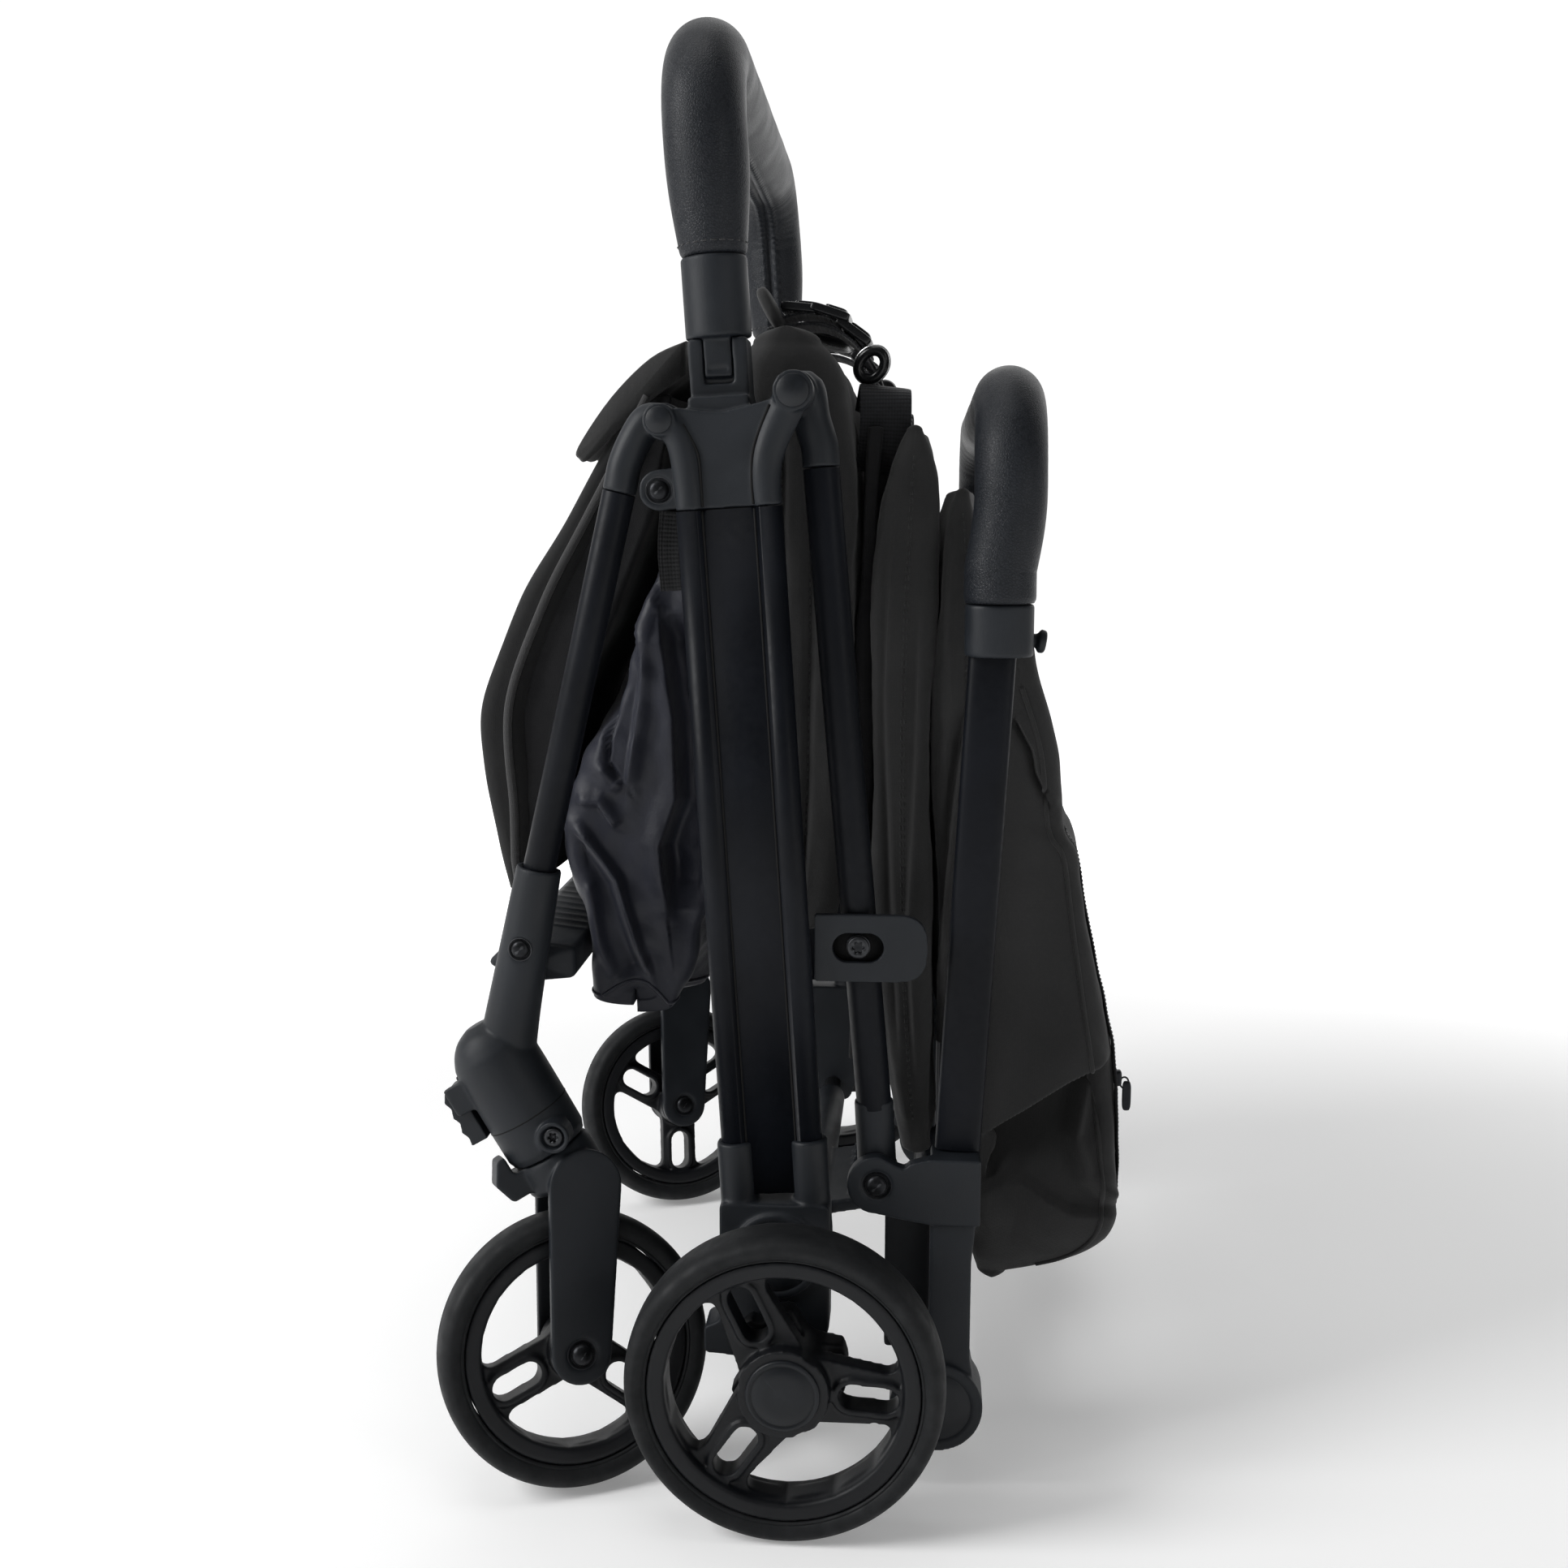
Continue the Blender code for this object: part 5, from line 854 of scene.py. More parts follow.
def rear_leg_surface():
    """Two tubes and the web between them as one section, carried down the leg's axis.

    Each tube's circle is left open where the web leaves it, and a shallow groove runs along each joint.
    """
    bite = math.degrees(math.asin(LEG_WEB_HALF / LEG_TUBE_RADIUS))
    half = LEG_HALF_SPACING
    front = arc((-half, 0), LEG_TUBE_RADIUS, bite, 360 - bite, 40)
    rear = arc((half, 0), LEG_TUBE_RADIUS, 180 + bite, 540 - bite, 40)
    web_start = -half + LEG_TUBE_RADIUS * math.cos(math.radians(bite)) + 0.0007
    lip = LEG_WEB_HALF + 0.0003
    lower = np.array([[web_start, -lip], [0.0, -lip - 0.0002], [-web_start, -lip]])
    section = np.vstack([front, lower, rear, -lower])
    rows = []
    for z in np.linspace(LEG_FOOT_Z + 0.004, LEG_SEAM_Z - GAP, 3):
        base = np.array(leg_point(z))
        square = np.array(leg_point(z, 1.0)) - base
        spots = base + section[:, :1] * square
        rows.append(np.column_stack([LEG_PLANE_X + section[:, 1], spots]))
    return grid(np.array(rows))


both_sides(
    "rear_leg_tubes",
    make_object("rear_leg_tubes", rear_leg_surface()),
    PAINT,
    "rear_frame",
    "rear_leg_",
)


def leg_shade_rods():
    """Painted shade where the web meets the two tubes: thin dark rods down each corner, standing in for the
    shade in the grooves.
    """
    bite = math.asin(LEG_WEB_HALF / LEG_TUBE_RADIUS)
    inward = LEG_HALF_SPACING - LEG_TUBE_RADIUS * math.cos(bite) - 0.0002
    lines = []
    for sign in (-1, 1):
        spots = np.array(
            [leg_point(z, sign * inward) for z in np.linspace(LEG_FOOT_Z + 0.006, LEG_SEAM_Z - 0.0010, 40)]
        )
        across = np.full(len(spots), LEG_PLANE_X + LEG_WEB_HALF + 0.0002)
        lines.append(swept(np.column_stack([across, spots]), 0.00060, 10))
    return merged(*lines)


both_sides("leg_groove_shade", make_object("leg_groove_shade", leg_shade_rods()), PAINTED_GROOVE_SHADE, "rear_frame")


def straight_tube(name, start, end, radius, overlap, edge, body, node):
    """A round tube that starts at a seam and runs on into the moulding at its end by the overlap."""
    run = unit(side_point(end) - side_point(start))
    shape = stick(side_point(start) + run * GAP, side_point(end) + run * overlap, radius, edge=edge)
    both_sides(name, make_object(name, shape), PAINT, body, node)


straight_tube(
    "front_leg_tube", FRONT_TUBE_TOP, FRONT_TUBE_END, FRONT_TUBE_RADIUS,
    overlap=0.010, edge=0.0005, body="front_frame", node="front_tube_",
)
straight_tube(
    "link_leg_tube", LINK_ELBOW_END, LINK_TUBE_END, LINK_TUBE_RADIUS,
    overlap=0.004, edge=0.0006, body="link_frame", node="link_tube_",
)

bar_run = unit(side_point(BAR_TOP) - side_point(BAR_LOW))
bar_shape = stick(
    side_point(BAR_LOW), side_point(BAR_TOP) + bar_run * 0.012, BAR_HALF_SIZES, power=BAR_SQUARENESS, sides=64
)
both_sides(
    "handle_flat_bar",
    make_object("handle_flat_bar", bar_shape),
    PAINT,
    "handle_frame",
    "handle_bar_",
)

cross_bar = stick(
    (-LOWER_BAR_HALF, *ARM_END), (LOWER_BAR_HALF, *ARM_END), 0.0130, across=(0, 1, 0), edge=0.0010
)
finished(
    make_object("handle_lower_bar", cross_bar), PAINT, "handle_frame", ["handle_cross_bar"]
)
axle = stick((-AXLE_HALF, *REAR_AXLE), (AXLE_HALF, *REAR_AXLE), 0.0060, across=(0, 1, 0), edge=0.0008)
finished(make_object("rear_axle", axle), STEEL, "rear_frame", ["rear_axle_tube"])


# Heads: arms from the leg up to the two pivots, panel, bumper socket and D-shaped lug


def head_piece():
    """Two arms on the leg's tubes, the panel between them, the bumper socket and the lug."""
    half = LEG_HALF_SPACING
    fy, fz = FRONT_PIVOT
    ry, rz = LINK_PIVOT
    front = [leg_point(LEG_SEAM_Z, -half), leg_point(LEG_SEAM_Z + 0.012, -half), (fy + 0.0098, fz - 0.0110)]
    front = smooth_line([*front, (fy + 0.0048, fz - 0.0030), FRONT_PIVOT], 6)
    rear = [
        leg_point(LEG_SEAM_Z, half),
        leg_point(LEG_SEAM_Z + 0.016, half),
        (ry - 0.0098, rz - 0.0210),
        LINK_PIVOT,
    ]
    rear = smooth_line(rear, 6)
    wide = LEG_TUBE_RADIUS + 0.0013 * np.minimum(1.0, np.linspace(0, 1.2, len(rear)))
    front_path = np.column_stack([np.full(len(front), LEG_PLANE_X), front])
    rear_path = np.column_stack([np.full(len(rear), LEG_PLANE_X), rear])
    rear_arm = swept(rear_path, np.column_stack([np.full(len(rear), LEG_TUBE_RADIUS), wide]), 36)
    front_arm = swept(front_path, LEG_TUBE_RADIUS, 36)
    web = half - LEG_TUBE_RADIUS / 2
    panel = rounded(
        [
            (*leg_point(LEG_SEAM_Z, -web), 0.0),
            (*leg_point(LEG_SEAM_Z, web), 0.0),
            (ry - 0.0130, rz - 0.0200, 0.004),
            (ry - 0.0060, rz - 0.0020, 0.003),
            (ry - 0.0160, rz - 0.0050, 0.006),
            (fy + 0.0280, fz + 0.0035, 0.020),
            (fy + 0.0060, fz + 0.0060, 0.004),
            (fy + 0.0020, fz - 0.0010, 0.003),
            (fy + 0.0130, fz - 0.0160, 0.006),
        ]
    )
    inner = LEG_PLANE_X - LEG_TUBE_RADIUS
    core = box_outline((-0.0145, 0.0145), (0.0, 0.0420), 0.002)
    socket = box_outline((-0.0141, 0.0141), (0.0030, SOCKET_TOP), 0.0012)
    shells = [
        rear_arm,
        front_arm,
        prism(panel, LEG_PLANE_X - 0.0045, LEG_PLANE_X + 0.0036),
        prism(circle(FRONT_PIVOT, 0.0078), inner, HEAD_OUTER_X),
        prism(circle(LINK_PIVOT, 0.0095), inner, 0.2062),
        prism(core, 0.1600, LEG_PLANE_X - 0.002, matrix=BUMPER_PLACE),
        prism(socket, SOCKET_INNER_X, SOCKET_OUTER_X, matrix=BUMPER_PLACE),
        prism(tapered((fy + 0.014, fz - 0.030), 0.0096, LUG_POINT, 0.0096), 0.1880, 0.1945),
    ]
    hollow = box_outline((-0.0115, 0.0115), (0.0450, 0.14))
    slot = box_outline((-0.0070, 0.0070), (0.0480, 0.20), 0.001)
    lug_recess = circle(LUG_POINT, 0.0070)
    cuts = [
        prism(hollow, 0.1660, 0.1840, matrix=BUMPER_PLACE),
        prism(slot, 0.1825, 0.1900, matrix=BUMPER_PLACE),
        prism(lug_recess, 0.1936, 0.2000),
    ]
    return mould("head_moulding", shells, cuts)


both_sides("head_moulding", head_piece(), PLASTIC, "rear_frame", "head_")


def head_shade_rods():
    """Painted shade in the grooves where the panel meets the arms: thin dark rods in each corner, bowed as
    the arms are.
    """
    half = LEG_HALF_SPACING
    lines = []
    for sign, tops in (
        (
            -1,
            [
                (FRONT_PIVOT[0] + 0.0178, FRONT_PIVOT[1] - 0.0150),
                (FRONT_PIVOT[0] + 0.0110, FRONT_PIVOT[1] - 0.0020),
            ],
        ),
        (
            1,
            [
                (LINK_PIVOT[0] - 0.0182, LINK_PIVOT[1] - 0.0250),
                (LINK_PIVOT[0] - 0.0110, LINK_PIVOT[1] - 0.0060),
            ],
        ),
    ):
        inward = sign * (half - LEG_TUBE_RADIUS * 0.90)
        low = [leg_point(LEG_SEAM_Z + 0.0010, inward), leg_point(LEG_SEAM_Z + 0.0130, inward)]
        line = evenly(smooth_line([*low, *tops], 8), 0.0015)
        lines.append(swept(np.column_stack([np.full(len(line), LEG_PLANE_X + 0.0042), line]), 0.00065, 10))
    seam = [
        leg_point(LEG_SEAM_Z + dz, dy)
        for dz, dy in ((-0.004, -0.0180), (-0.004, 0.0180), (0.004, 0.0180), (0.004, -0.0180))
    ]
    lines.append(prism(rounded([(*spot, 0.0) for spot in seam]), LEG_PLANE_X - 0.0030, LEG_PLANE_X + 0.0026))
    return merged(*lines)


both_sides("head_groove_shade", make_object("head_groove_shade", head_shade_rods()), PAINTED_GROOVE_SHADE, "rear_frame")


def domed_bolt(radius, rise, matrix, ring=None):
    """A domed head: radius falls as cos while it rises as sin, on a thin countersunk ring."""
    turn = np.linspace(0, np.pi / 2, 10)
    profile = np.column_stack([radius * np.cos(turn) ** 0.8, rise * np.sin(turn)])
    profile[-1, 0] = radius * 0.03
    profile = np.vstack([[radius, -0.0010], profile])
    shapes = [turned(profile, matrix, 36)]
    if ring:
        lip = [
            (radius + 0.0004, 0.0),
            (ring - 0.0006, 0.0),
            (ring - 0.0002, 0.0004),
            (ring, 0.0002),
            (ring, -0.0012),
        ]
        lip.append((radius + 0.0004, -0.0012))
        shapes.append(turned(lip, matrix, 48, looped=True))
    return merged(*shapes)


lug_bolt = domed_bolt(0.0048, 0.0024, shift(LUG_TOP_X, *LUG_POINT), 0.0066)
both_sides("lug_bolt", make_object("lug_bolt", lug_bolt), STEEL, "rear_frame")
for pivot, radius, label in ((FRONT_PIVOT, 0.0062, "front"), (LINK_PIVOT, 0.0077, "rear")):
    cap = turned(
        [(radius, -0.0008), (radius, 0.0003), (radius - 0.0004, 0.0007), (0.0003, 0.0008)],
        shift(HEAD_OUTER_X, *pivot),
    )
    both_sides(f"head_pin_cap_{label}", make_object("pin_cap", cap), CAP_PLASTIC, "rear_frame")


# Rear feet


def foot_piece():
    """Sleeves for the leg's tubes, a round spring cover, a forward stub and the axle boss."""
    half = LEG_HALF_SPACING
    front_y = leg_point(LEG_FOOT_Z, -half)[0] - 0.0092
    rear_y = leg_point(LEG_FOOT_Z, half)[0] + 0.0092
    axle_y, axle_z = REAR_AXLE
    body = rounded(
        [
            (front_y, LEG_FOOT_Z, 0.003),
            (front_y, axle_z + 0.0110, 0.004),
            (front_y - 0.0080, axle_z + 0.0075, 0.003),
            (front_y - 0.0080, axle_z - 0.0060, 0.003),
            (front_y + 0.0060, axle_z - 0.0070, 0.004),
            (axle_y - 0.0120, axle_z - 0.0120, 0.006),
            (axle_y + 0.0120, axle_z - 0.0120, 0.008),
            (rear_y, axle_z + 0.0090, 0.006),
            (rear_y, LEG_FOOT_Z, 0.003),
        ]
    )
    shells = [prism(body, FOOT_INNER_X, FOOT_OUTER_X)]
    for offset in (-half, half):
        low, high = leg_point(LEG_FOOT_Z - 0.020, offset), leg_point(FOOT_SLEEVE_TOP_Z, offset)
        ends = side_point(low, LEG_PLANE_X), side_point(high, LEG_PLANE_X)
        shells.append(stick(*ends, FOOT_SLEEVE_RADIUS, edge=0.0012, sides=36))
    shells.append(prism(circle(SUSPENSION_POINT, 0.0220), 0.2050, 0.2114))
    shells.append(prism(circle(REAR_AXLE, 0.0120), 0.2070, 0.2216))
    seam = np.array(leg_point(0.1655))
    web_gap = rounded(
        [
            (seam[0] - 0.0100, seam[1] - 0.0155, 0.002),
            (seam[0] + 0.0090, seam[1] - 0.0150, 0.002),
            (seam[0] + 0.0080, seam[1] + 0.0400, 0.0),
            (seam[0] - 0.0110, seam[1] + 0.0400, 0.0),
        ]
    )
    cuts = [
        prism(circle(SUSPENSION_POINT, 0.0190), 0.2102, 0.2200),
        prism(web_gap, 0.2050, 0.2200),
    ]
    return mould("foot_moulding", shells, cuts)


both_sides("foot_moulding", foot_piece(), PLASTIC, "rear_frame", "rear_foot_")
spring_cap = turned(
    [(0.0186, -0.0010), (0.0186, 0.0), (0.0178, 0.0009), (0.0120, 0.0016), (0.0003, 0.0018)], shift(
        0.2100, *SUSPENSION_POINT
    )
)
both_sides(
    "foot_round_cover", make_object("foot_round_cover", spring_cap), CAP_PLASTIC, "rear_frame"
)


# Wheels, about X with their middle at x = 0


def tyre_surface(radius, seat, width):
    """Foam tyre: a bead, a rounded sidewall with a moulded step, and a full crown, turned about the axle."""
    half = width / 2
    deep = radius - seat
    side = [
        (seat + 0.0004, 0.80),
        (seat + deep * 0.10, 0.86),
        (seat + deep * 0.16, 0.845),
        (seat + deep * 0.22, 0.90),
        (seat + deep * 0.42, 0.985),
        (seat + deep * 0.62, 0.99),
        (seat + deep * 0.82, 0.86),
        (seat + deep * 0.94, 0.62),
        (seat + deep * 0.99, 0.32),
    ]
    right = np.array([(r, x * half) for r, x in side] + [(radius, 0.0)])
    curve = smooth_line(right, 4)
    left = curve[::-1][1:] * np.array([1.0, -1.0])
    return turned(np.vstack([curve, left]), sides=160, looped=True)


def rim_piece(name, seat, width, hub, hub_half, slot_start, first_turn, matrix, extra=()):
    """Ring with lips, hub, and a web cut to three slotted spokes with rounded windows between them."""
    lip = width / 2 * 0.84
    ring = seat - RIM_DEPTH
    web = WEB_HALF
    ring_profile = [
        (ring, -lip + 0.0022), (ring + 0.0012, -lip + 0.0006), (seat - 0.0012, -lip), (seat, -lip + 0.0006),
        (seat, lip - 0.0006), (seat - 0.0012, lip), (ring + 0.0012, lip - 0.0006), (ring, lip - 0.0022),
    ]
    disc = [(0.003, -web), (ring + 0.004, -web), (ring + 0.004, web), (0.003, web)]
    shells = [
        turned(disc, sides=96),
        turned(ring_profile, sides=144, looped=True),
        turned([(0.003, -hub_half), (hub, -hub_half), (hub, hub_half), (0.003, hub_half)], sides=64),
        *extra,
    ]
    cuts = []
    half = SPOKE_HALF
    window_reach = ring + 0.0004
    spread = 60 - math.degrees(math.asin((half + 0.0008) / window_reach))
    for i in range(3):
        turn = first_turn + 120 * i
        middle = math.radians(turn + 60)
        corners = []
        for share, radius in ((-1, 0.0085), (-0.5, 0.0), (0, 0.0), (0.5, 0.0), (1, 0.0085)):
            angle = middle + math.radians(spread * share)
            corners.append((window_reach * math.cos(angle), window_reach * math.sin(angle), radius))
        root = max(2 * half / math.sqrt(3) + 0.001, hub * 0.9)
        corners.append((root * math.cos(middle), root * math.sin(middle), 0.012))
        cuts.append(prism(rounded(corners, 8), -width, width))
        reach = (slot_start + ring - 0.0020) / 2
        centre = (reach * math.cos(math.radians(turn)), reach * math.sin(math.radians(turn)))
        length = ring - 0.0020 - slot_start
        for face in (-1, 1):
            low, high = sorted((face * (web - 0.0010), face * (web + 0.0022)))
            shells.append(prism(stadium(centre, length + SLOT_RIB_LONGER, SLOT_RIB_WIDTH, turn), low, high))
        cuts.append(prism(stadium(centre, length, SLOT_WIDTH, turn), -width, width))
    item = mould(name, shells, cuts, 0.0010, 4)
    item.data.transform(Matrix(matrix.tolist()))
    return item


def rear_wheels():
    """Rim with its brake drum, tyre and hub cap, mirrored for the right."""
    place = shift(REAR_WHEEL_X, *REAR_AXLE)
    drum = turned(
        [(0.006, -0.0240), (0.0300, -0.0240), (0.0300, -0.0130), (0.0200, -0.0090), (0.006, -0.0090)]
    )
    rim = rim_piece("rear_wheel_rim", *REAR_TYRE[1:], *REAR_HUB, 0.0260, -5, place, [drum])
    both_sides("rear_wheel_rim", rim, RIM_PLASTIC, "rear_wheel_", "rear_rim_")
    tyre = make_object("rear_wheel_tyre", tyre_surface(*REAR_TYRE).placed(place))
    both_sides("rear_wheel_tyre", tyre, RUBBER, "rear_wheel_", "rear_tyre_")
    cap = [
        (0.0177, 0.0096), (0.0177, 0.0138), (0.0172, 0.0144), (0.0158, 0.0147), (0.0153, 0.0141), (
            0.0148, 0.0141
        ),
        (0.0143, 0.0147), (0.0080, 0.0149), (0.0003, 0.0150),
    ]
    cap_item = make_object("rear_wheel_cap", turned(cap, place, 72))
    both_sides("rear_wheel_cap", cap_item, CAP_PLASTIC, "rear_wheel_", "rear_hub_cap_")


rear_wheels()


# Castors, in the castor's own place


def front_wheels():
    """Rim and tyre of each castor. The two rims stand at different turns."""
    for letter, sign, first_turn in (("L", 1, 54), ("R", -1, 0)):
        wheel = castor_place(sign) @ shift(0, -CASTOR_TRAIL, 0)
        rim = rim_piece("front_wheel_rim_" + letter, *FRONT_TYRE[1:], *FRONT_HUB, 0.0200, first_turn, wheel)
        finished(rim, RIM_PLASTIC, "front_wheel_" + letter, ["front_rim_" + letter])
        tyre = make_object("front_wheel_tyre_" + letter, tyre_surface(*FRONT_TYRE).placed(wheel))
        finished(tyre, RUBBER, "front_wheel_" + letter, ["front_tyre_" + letter])


def castor_forks():
    """Two plates, a crown and a front lip, made once and put in both castors' places."""
    centre = (-CASTOR_TRAIL, 0.0)
    plate = tapered((0.003, 0.0695), 0.0184, centre, 0.0150, 28)
    top = CASTOR_SEAT - 0.0006
    crown = [(0.0190, 0.0740), (0.0205, 0.0765), (0.0205, top - 0.0030), (0.0190, top)]
    front = -COLLAR_RADIUS - 0.0006
    lip = rounded(
        [
            (0.0, 0.0780, 0.0),
            (front - 0.0080, 0.0800, 0.003),
            (front - 0.0115, top, 0.002),
            (front - 0.0050, top + 0.0105, 0.001),
            (front - 0.0006, top + 0.0105, 0.001),
            (front - 0.0006, top, 0.0),
            (0.0, top, 0.0),
        ]
    )
    shells = [
        prism(plate, FORK_INNER, FORK_OUTER),
        prism(plate, -FORK_OUTER, -FORK_INNER),
        turned(crown, UPRIGHT, 56),
        prism(lip, -0.0085, 0.0085),
    ]
    cuts = []
    for side in (1, -1):
        near, far = sorted((side * (FORK_OUTER - 0.0012), side * 0.03))
        cuts.append(prism(circle(centre, 0.0079), near, far))
    fork = mould("castor_fork", shells, cuts)
    for letter, sign in (("L", 1), ("R", -1)):
        place = castor_place(sign)
        item = put_in_scene("castor_fork_cover_" + letter, fork.data.copy())
        item.data.transform(Matrix(place.tolist()))
        finished(item, PLASTIC, "castor_" + letter, ["castor_fork_" + letter])
        bolts = []
        for side in (1, -1):
            head = place @ shift(side * (FORK_OUTER - 0.0010), *centre) @ rotation(
                0 if side > 0 else 180, "Z"
            )
            bolts.append(domed_bolt(0.0056, 0.0040 if side == sign else 0.0026, head, 0.0076))
        bolts.append(
            stick(apply(place, (-0.021, *centre)), apply(place, (0.021, *centre)), 0.0040, across=(0, 0, 1))
        )
        bolt = make_object("front_axle_bolt_cover_" + letter, merged(*bolts))
        finished(bolt, STEEL, "castor_" + letter, ["front_axle_bolt_" + letter])
    bpy.data.objects.remove(fork, do_unlink=True)


front_wheels()
castor_forks()


def housing_piece():
    """Sleeve on the front tube, swept into the upright collar that the castor turns in."""
    place = castor_place(1, 0.0)
    radius, top = COLLAR_RADIUS, COLLAR_TOP
    collar = smooth_line(
        [
            (radius - 0.0004, CASTOR_SEAT + 0.0040),
            (radius, CASTOR_SEAT + 0.0080),
            (radius, top - 0.0230),
            (radius - 0.0022, top - 0.0120),
            (radius - 0.0080, top - 0.0042),
            (radius - 0.0160, top),
        ],
        5,
    )
    collar = np.vstack([[(radius - 0.0016, CASTOR_SEAT)], collar])
    sleeve = np.array(
        [side_point(FRONT_TUBE_END), side_point(FRONT_SLEEVE_LOW), apply(place, (0, 0, top - 0.028))]
    )
    along = smooth_line(sleeve, 8)
    size = smooth_line(np.array([(0.01125, 0.0), (0.0135, 0.0), (0.0155, 0.0)]), 8)[:, :1]
    screw = apply(place, (0, 0.0123, 0.1003))
    cheek = box_outline((-radius - 0.0074, -radius + 0.006), (0.1300, 0.1460), 0.002)
    shells = [
        turned(collar, place @ UPRIGHT, 72),
        swept(along, size, 48),
        prism(cheek, 0.0099, 0.0124, matrix=place),
        prism(cheek, -0.0124, -0.0099, matrix=place),
        prism(circle(screw[1:], 0.0082), FOLD_PLANE_X + radius / 2, FOLD_PLANE_X + radius + 0.0012),
    ]
    run = unit(side_point(FRONT_TUBE_END) - side_point(FRONT_TUBE_TOP))
    mouth = side_point(FRONT_TUBE_END)
    stem = [apply(place, (0, 0, CASTOR_SEAT - 0.01)), apply(place, (0, 0, CASTOR_SEAT + 0.031))]
    bolt_low = np.array(FRONT_TUBE_END) + (np.array(FRONT_SLEEVE_LOW) - np.array(FRONT_TUBE_END)) * 0.55
    cuts = [
        stick(mouth - run * 0.010, mouth + run * 0.030, FRONT_TUBE_RADIUS + 0.0003, sides=36),
        stick(*stem, 0.0056, sides=24),
        prism(circle(screw[1:], 0.0060), FOLD_PLANE_X + radius - 0.0016, FOLD_PLANE_X + radius + 0.01),
        prism(circle(bolt_low, 0.0064), FOLD_PLANE_X + 0.0112, FOLD_PLANE_X + 0.02),
    ]
    return mould("castor_housing_cover", shells, cuts), screw, bolt_low


housing, shell_screw, sleeve_bolt = housing_piece()
both_sides("castor_housing_cover", housing, PLASTIC, "front_frame", "castor_housing_")


def recessed_screw(radius, matrix, lobes=6):
    """A pan head with a lobed socket, whose radius waves with the angle and whose floor lies deeper."""
    angle = 2 * np.pi * np.arange(72) / 72
    star = 0.46 + 0.09 * np.cos(lobes * angle)
    rings = [
        (1.0 + 0 * star, -0.0010), (1.0 + 0 * star, 0.0), (0.94 + 0 * star, 0.0006), (0.72 + 0 * star, 0.0008)
    ]
    rings += [(star + 0.03, 0.0007), (star, 0.0004), (star * 0.96, -0.0008), (0.02 + 0 * star, -0.0009)]
    points = np.stack(
        [
            np.stack([x + 0 * angle, radius * r * np.cos(angle), radius * r * np.sin(angle)], -1)
            for r, x in rings
        ]
    )
    return grid(points).placed(matrix).outward()


shell_x = FOLD_PLANE_X + COLLAR_RADIUS - 0.0004
both_sides(
    "housing_screw", make_object("housing_screw", recessed_screw(0.0048, shift(shell_x, *shell_screw[1:]))),
    STEEL, "front_frame",
)
sleeve_head = domed_bolt(0.0044, 0.0022, shift(FOLD_PLANE_X + 0.0118, *sleeve_bolt), 0.0060)
both_sides("sleeve_bolt", make_object("sleeve_bolt", sleeve_head), STEEL, "front_frame")


def groove_shade_ring(radius, height, matrix, thickness=0.00022):
    """A thin dark ring round a collar: painted shade standing in for the groove of its parting line."""
    profile = arc((radius, height), thickness, 0, 330, 11)
    return turned(profile, matrix @ UPRIGHT, 96, looped=True)


castor_zero = castor_place(1, 0.0)
both_sides(
    "housing_groove_shade", make_object(
        "housing_groove_shade", groove_shade_ring(COLLAR_RADIUS - 0.0001, CASTOR_SEAT + 0.0215, castor_zero, 0.0004)
    ),
    PAINTED_GROOVE_SHADE, "front_frame",
)


def swivel_lock_piece():
    """Serrated tab: a wedge with three teeth on its face."""
    inner = -COLLAR_RADIUS - 0.0006
    outer = inner - 0.0105
    low, top = 0.1135, 0.1440
    chamfer = 0.0024
    outline = [(inner, low), (inner, top - chamfer), (inner - chamfer, top), (outer + 0.003, top)]
    pitch = (top - low) / 3.5
    for i in range(3):
        z = top - 0.002 - pitch * i
        outline += [(outer, z - pitch * 0.30), (outer + 0.0018, z - pitch * 0.75)]
    outline.append((outer + 0.001, low))
    shape = prism(outline, -0.0095, 0.0095, matrix=castor_zero)
    return mould("swivel_lock_tab", [shape], (), 0.0006, 3)


both_sides("swivel_lock_tab", swivel_lock_piece(), PLASTIC, "lock_", "swivel_lock_")


# Elbows and sleeves of the folding tubes


def elbow_piece(name, path, radii, pivot, eye, body, node, half_x):
    """A bent rod with a pivot's eye."""
    line = smooth_line(path, 6)
    along = np.column_stack([np.full(len(line), FOLD_PLANE_X), line])
    shells = [
        swept(along, radii, 40), prism(circle(pivot, eye), FOLD_PLANE_X - half_x, FOLD_PLANE_X + half_x)
    ]
    item = mould(name, shells, (), 0.0008, 4)
    both_sides(name, item, PLASTIC, body, node)


fy, fz = FRONT_PIVOT
front_run = unit(np.array(FRONT_TUBE_END) - np.array(FRONT_TUBE_TOP))
front_top = np.array(FRONT_TUBE_TOP)
front_bend = [FRONT_PIVOT, (fy - 0.0081, fz + 0.0010), (fy - 0.0140, fz - 0.0065)]
front_bend += [tuple(front_top - front_run * 0.014), tuple(front_top - front_run * 0.004), FRONT_TUBE_TOP]
elbow_piece(
    "front_elbow_cover", front_bend, 0.0082, FRONT_PIVOT, 0.0088, "front_frame", "front_elbow_", 0.0080
)

ly, lz = LINK_PIVOT
link_top = np.array(LINK_ELBOW_END)
link_way = unit(np.array(LINK_TUBE_END) - link_top)
link_bend = [
    LINK_PIVOT, (ly + 0.0048, lz + 0.0015), (ly + 0.0074, lz - 0.0120), tuple(link_top - link_way * 0.010)
]
link_bend.append(LINK_ELBOW_END)
elbow_piece(
    "link_elbow_cover", link_bend, (0.0085, 0.0090), LINK_PIVOT, 0.0105, "link_frame", "link_elbow_", 0.0085
)

sleeve_low = [LINK_TUBE_END, tuple((np.array(LINK_TUBE_END) + np.array(MID_PIVOT)) / 2), MID_PIVOT]
elbow_piece(
    "link_sleeve_cover", sleeve_low, (0.0086, 0.0098), MID_PIVOT, 0.0105, "link_frame", "link_sleeve_", 0.0086
)


# Fold latch


